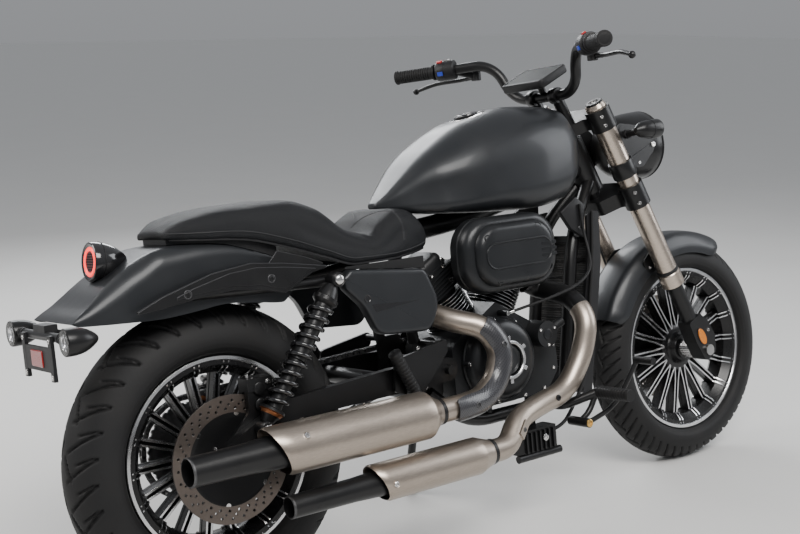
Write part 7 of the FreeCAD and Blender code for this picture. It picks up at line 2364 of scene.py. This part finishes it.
class CRUISER_OT_stage(bpy.types.Operator):
    """Sets out the floor, the sky, the softboxes and the camera"""

    bl_idname = "cruiser.stage"
    bl_label = "Stage"

    def execute(self, context):
        self.make_floor(context.scene)
        self.make_sky(context.scene)
        self.make_lights(context.scene)
        self.make_camera(context.scene)
        return {"FINISHED"}

    def make_floor(self, scene):
        mesh = bpy.data.meshes.new("floor")
        reach = 40
        corners = [(-reach, -reach, 0), (reach, -reach, 0), (reach, reach, 0), (-reach, reach, 0)]
        mesh.from_pydata(corners, [], [(0, 1, 2, 3)])
        mesh.materials.append(bpy.data.materials["Floor"])
        floor = bpy.data.objects.new("floor", mesh)
        scene.collection.objects.link(floor)

    def make_sky(self, scene):
        world = bpy.data.worlds.new("Soft sky")
        scene.world = world
        world.use_nodes = True
        tree = world.node_tree
        back = tree.nodes["Background"]
        coords = tree.nodes.new("ShaderNodeTexCoord")
        split = tree.nodes.new("ShaderNodeSeparateXYZ")
        tree.links.new(coords.outputs["Generated"], split.inputs["Vector"])
        ramp = tree.nodes.new("ShaderNodeValToRGB")
        ramp.color_ramp.elements[0].color = (0.50, 0.51, 0.53, 1)
        ramp.color_ramp.elements[0].position = 0.42
        ramp.color_ramp.elements[1].color = (0.86, 0.89, 0.94, 1)
        ramp.color_ramp.elements[1].position = 0.78
        lift = tree.nodes.new("ShaderNodeMapRange")
        lift.inputs["From Min"].default_value = -1
        lift.inputs["From Max"].default_value = 1
        tree.links.new(split.outputs["Z"], lift.inputs["Value"])
        tree.links.new(lift.outputs["Result"], ramp.inputs["Fac"])
        tree.links.new(ramp.outputs["Color"], back.inputs["Color"])
        back.inputs["Strength"].default_value = 0.52

    def make_lights(self, scene):
        for name, place, aim, size, power, colour in (
            ("Key softbox", (-0.8, -2.6, 3.4), (0, 0, 0.4), (2.6, 1.6), 175, (1.0, 0.98, 0.95)),
            ("Front softbox", (2.9, -1.5, 2.0), (0.3, 0, 0.5), (1.6, 2.2), 55, (0.95, 0.97, 1.0)),
            ("Rear softbox", (-2.6, 1.4, 2.4), (-0.2, 0, 0.6), (1.4, 2.2), 70, (1.0, 0.97, 0.94)),
            ("Far strip", (0.6, 3.0, 2.2), (0, 0, 0.6), (3.0, 0.8), 80, (0.96, 0.98, 1.0)),
        ):
            light = bpy.data.lights.new(name, "AREA")
            light.shape = "RECTANGLE"
            light.size, light.size_y = size
            light.energy = power
            light.color = colour
            lamp = bpy.data.objects.new(name, light)
            lamp.location = place
            lamp.rotation_euler = (Vector(aim) - Vector(place)).to_track_quat("-Z", "Y").to_euler()
            scene.collection.objects.link(lamp)

    def make_camera(self, scene):
        eye = Vector((CYCLE.translation.x, CYCLE.translation.y, 0)) + EYE
        heading, dip = EYE_HEADING, EYE_DIP
        way = Vector((math.cos(dip) * math.cos(heading), math.cos(dip) * math.sin(heading), -math.sin(dip)))
        lens = bpy.data.cameras.new("Camera")
        lens.sensor_width = 36
        lens.lens = EYE_LENS
        lens.clip_start = 0.05
        lens.clip_end = 100
        camera = bpy.data.objects.new("Camera", lens)
        camera.location = eye
        camera.rotation_euler = way.to_track_quat("-Z", "Y").to_euler()
        scene.collection.objects.link(camera)
        scene.camera = camera


PIECES = (
    CRUISER_OT_finishes, CRUISER_OT_tyres, CRUISER_OT_wheels, CRUISER_OT_brakes, CRUISER_OT_drive,
    CRUISER_OT_fork, CRUISER_OT_front_fender, CRUISER_OT_handlebar, CRUISER_OT_display, CRUISER_OT_headlamp,
    CRUISER_OT_indicators, CRUISER_OT_tank, CRUISER_OT_seat, CRUISER_OT_rear_fender, CRUISER_OT_covers,
    CRUISER_OT_engine, CRUISER_OT_air_cleaner, CRUISER_OT_exhaust, CRUISER_OT_shocks, CRUISER_OT_radiator,
    CRUISER_OT_frame, CRUISER_OT_cables, CRUISER_OT_stage,
)


class CRUISER_PT_panel(bpy.types.Panel):
    """Lists the cruiser's pieces with their colours and sizes"""

    bl_idname = "CRUISER_PT_panel"
    bl_label = "Cruiser motorcycle"
    bl_space_type = "VIEW_3D"
    bl_region_type = "UI"
    bl_category = "Cruiser"

    def draw(self, context):
        layout = self.layout
        for settings in (context.scene.cruiser_paint, context.scene.cruiser_sizes):
            box = layout.box()
            for key in settings.bl_rna.properties.keys():
                if key not in ("rna_type", "name"):
                    box.prop(settings, key)
        column = layout.column(align=True)
        for piece in PIECES:
            column.operator(piece.bl_idname)


CLASSES = (CruiserPaint, CruiserSizes, *PIECES, CRUISER_PT_panel)


def register():
    for item in CLASSES:
        bpy.utils.register_class(item)
    bpy.types.Scene.cruiser_paint = bpy.props.PointerProperty(type=CruiserPaint)
    bpy.types.Scene.cruiser_sizes = bpy.props.PointerProperty(type=CruiserSizes)


def unregister():
    del bpy.types.Scene.cruiser_sizes
    del bpy.types.Scene.cruiser_paint
    for item in reversed(CLASSES):
        bpy.utils.unregister_class(item)


def main():
    register()
    for piece in PIECES:
        area, word = piece.bl_idname.split(".")
        getattr(getattr(bpy.ops, area), word)()


if __name__ == "__main__":
    main()
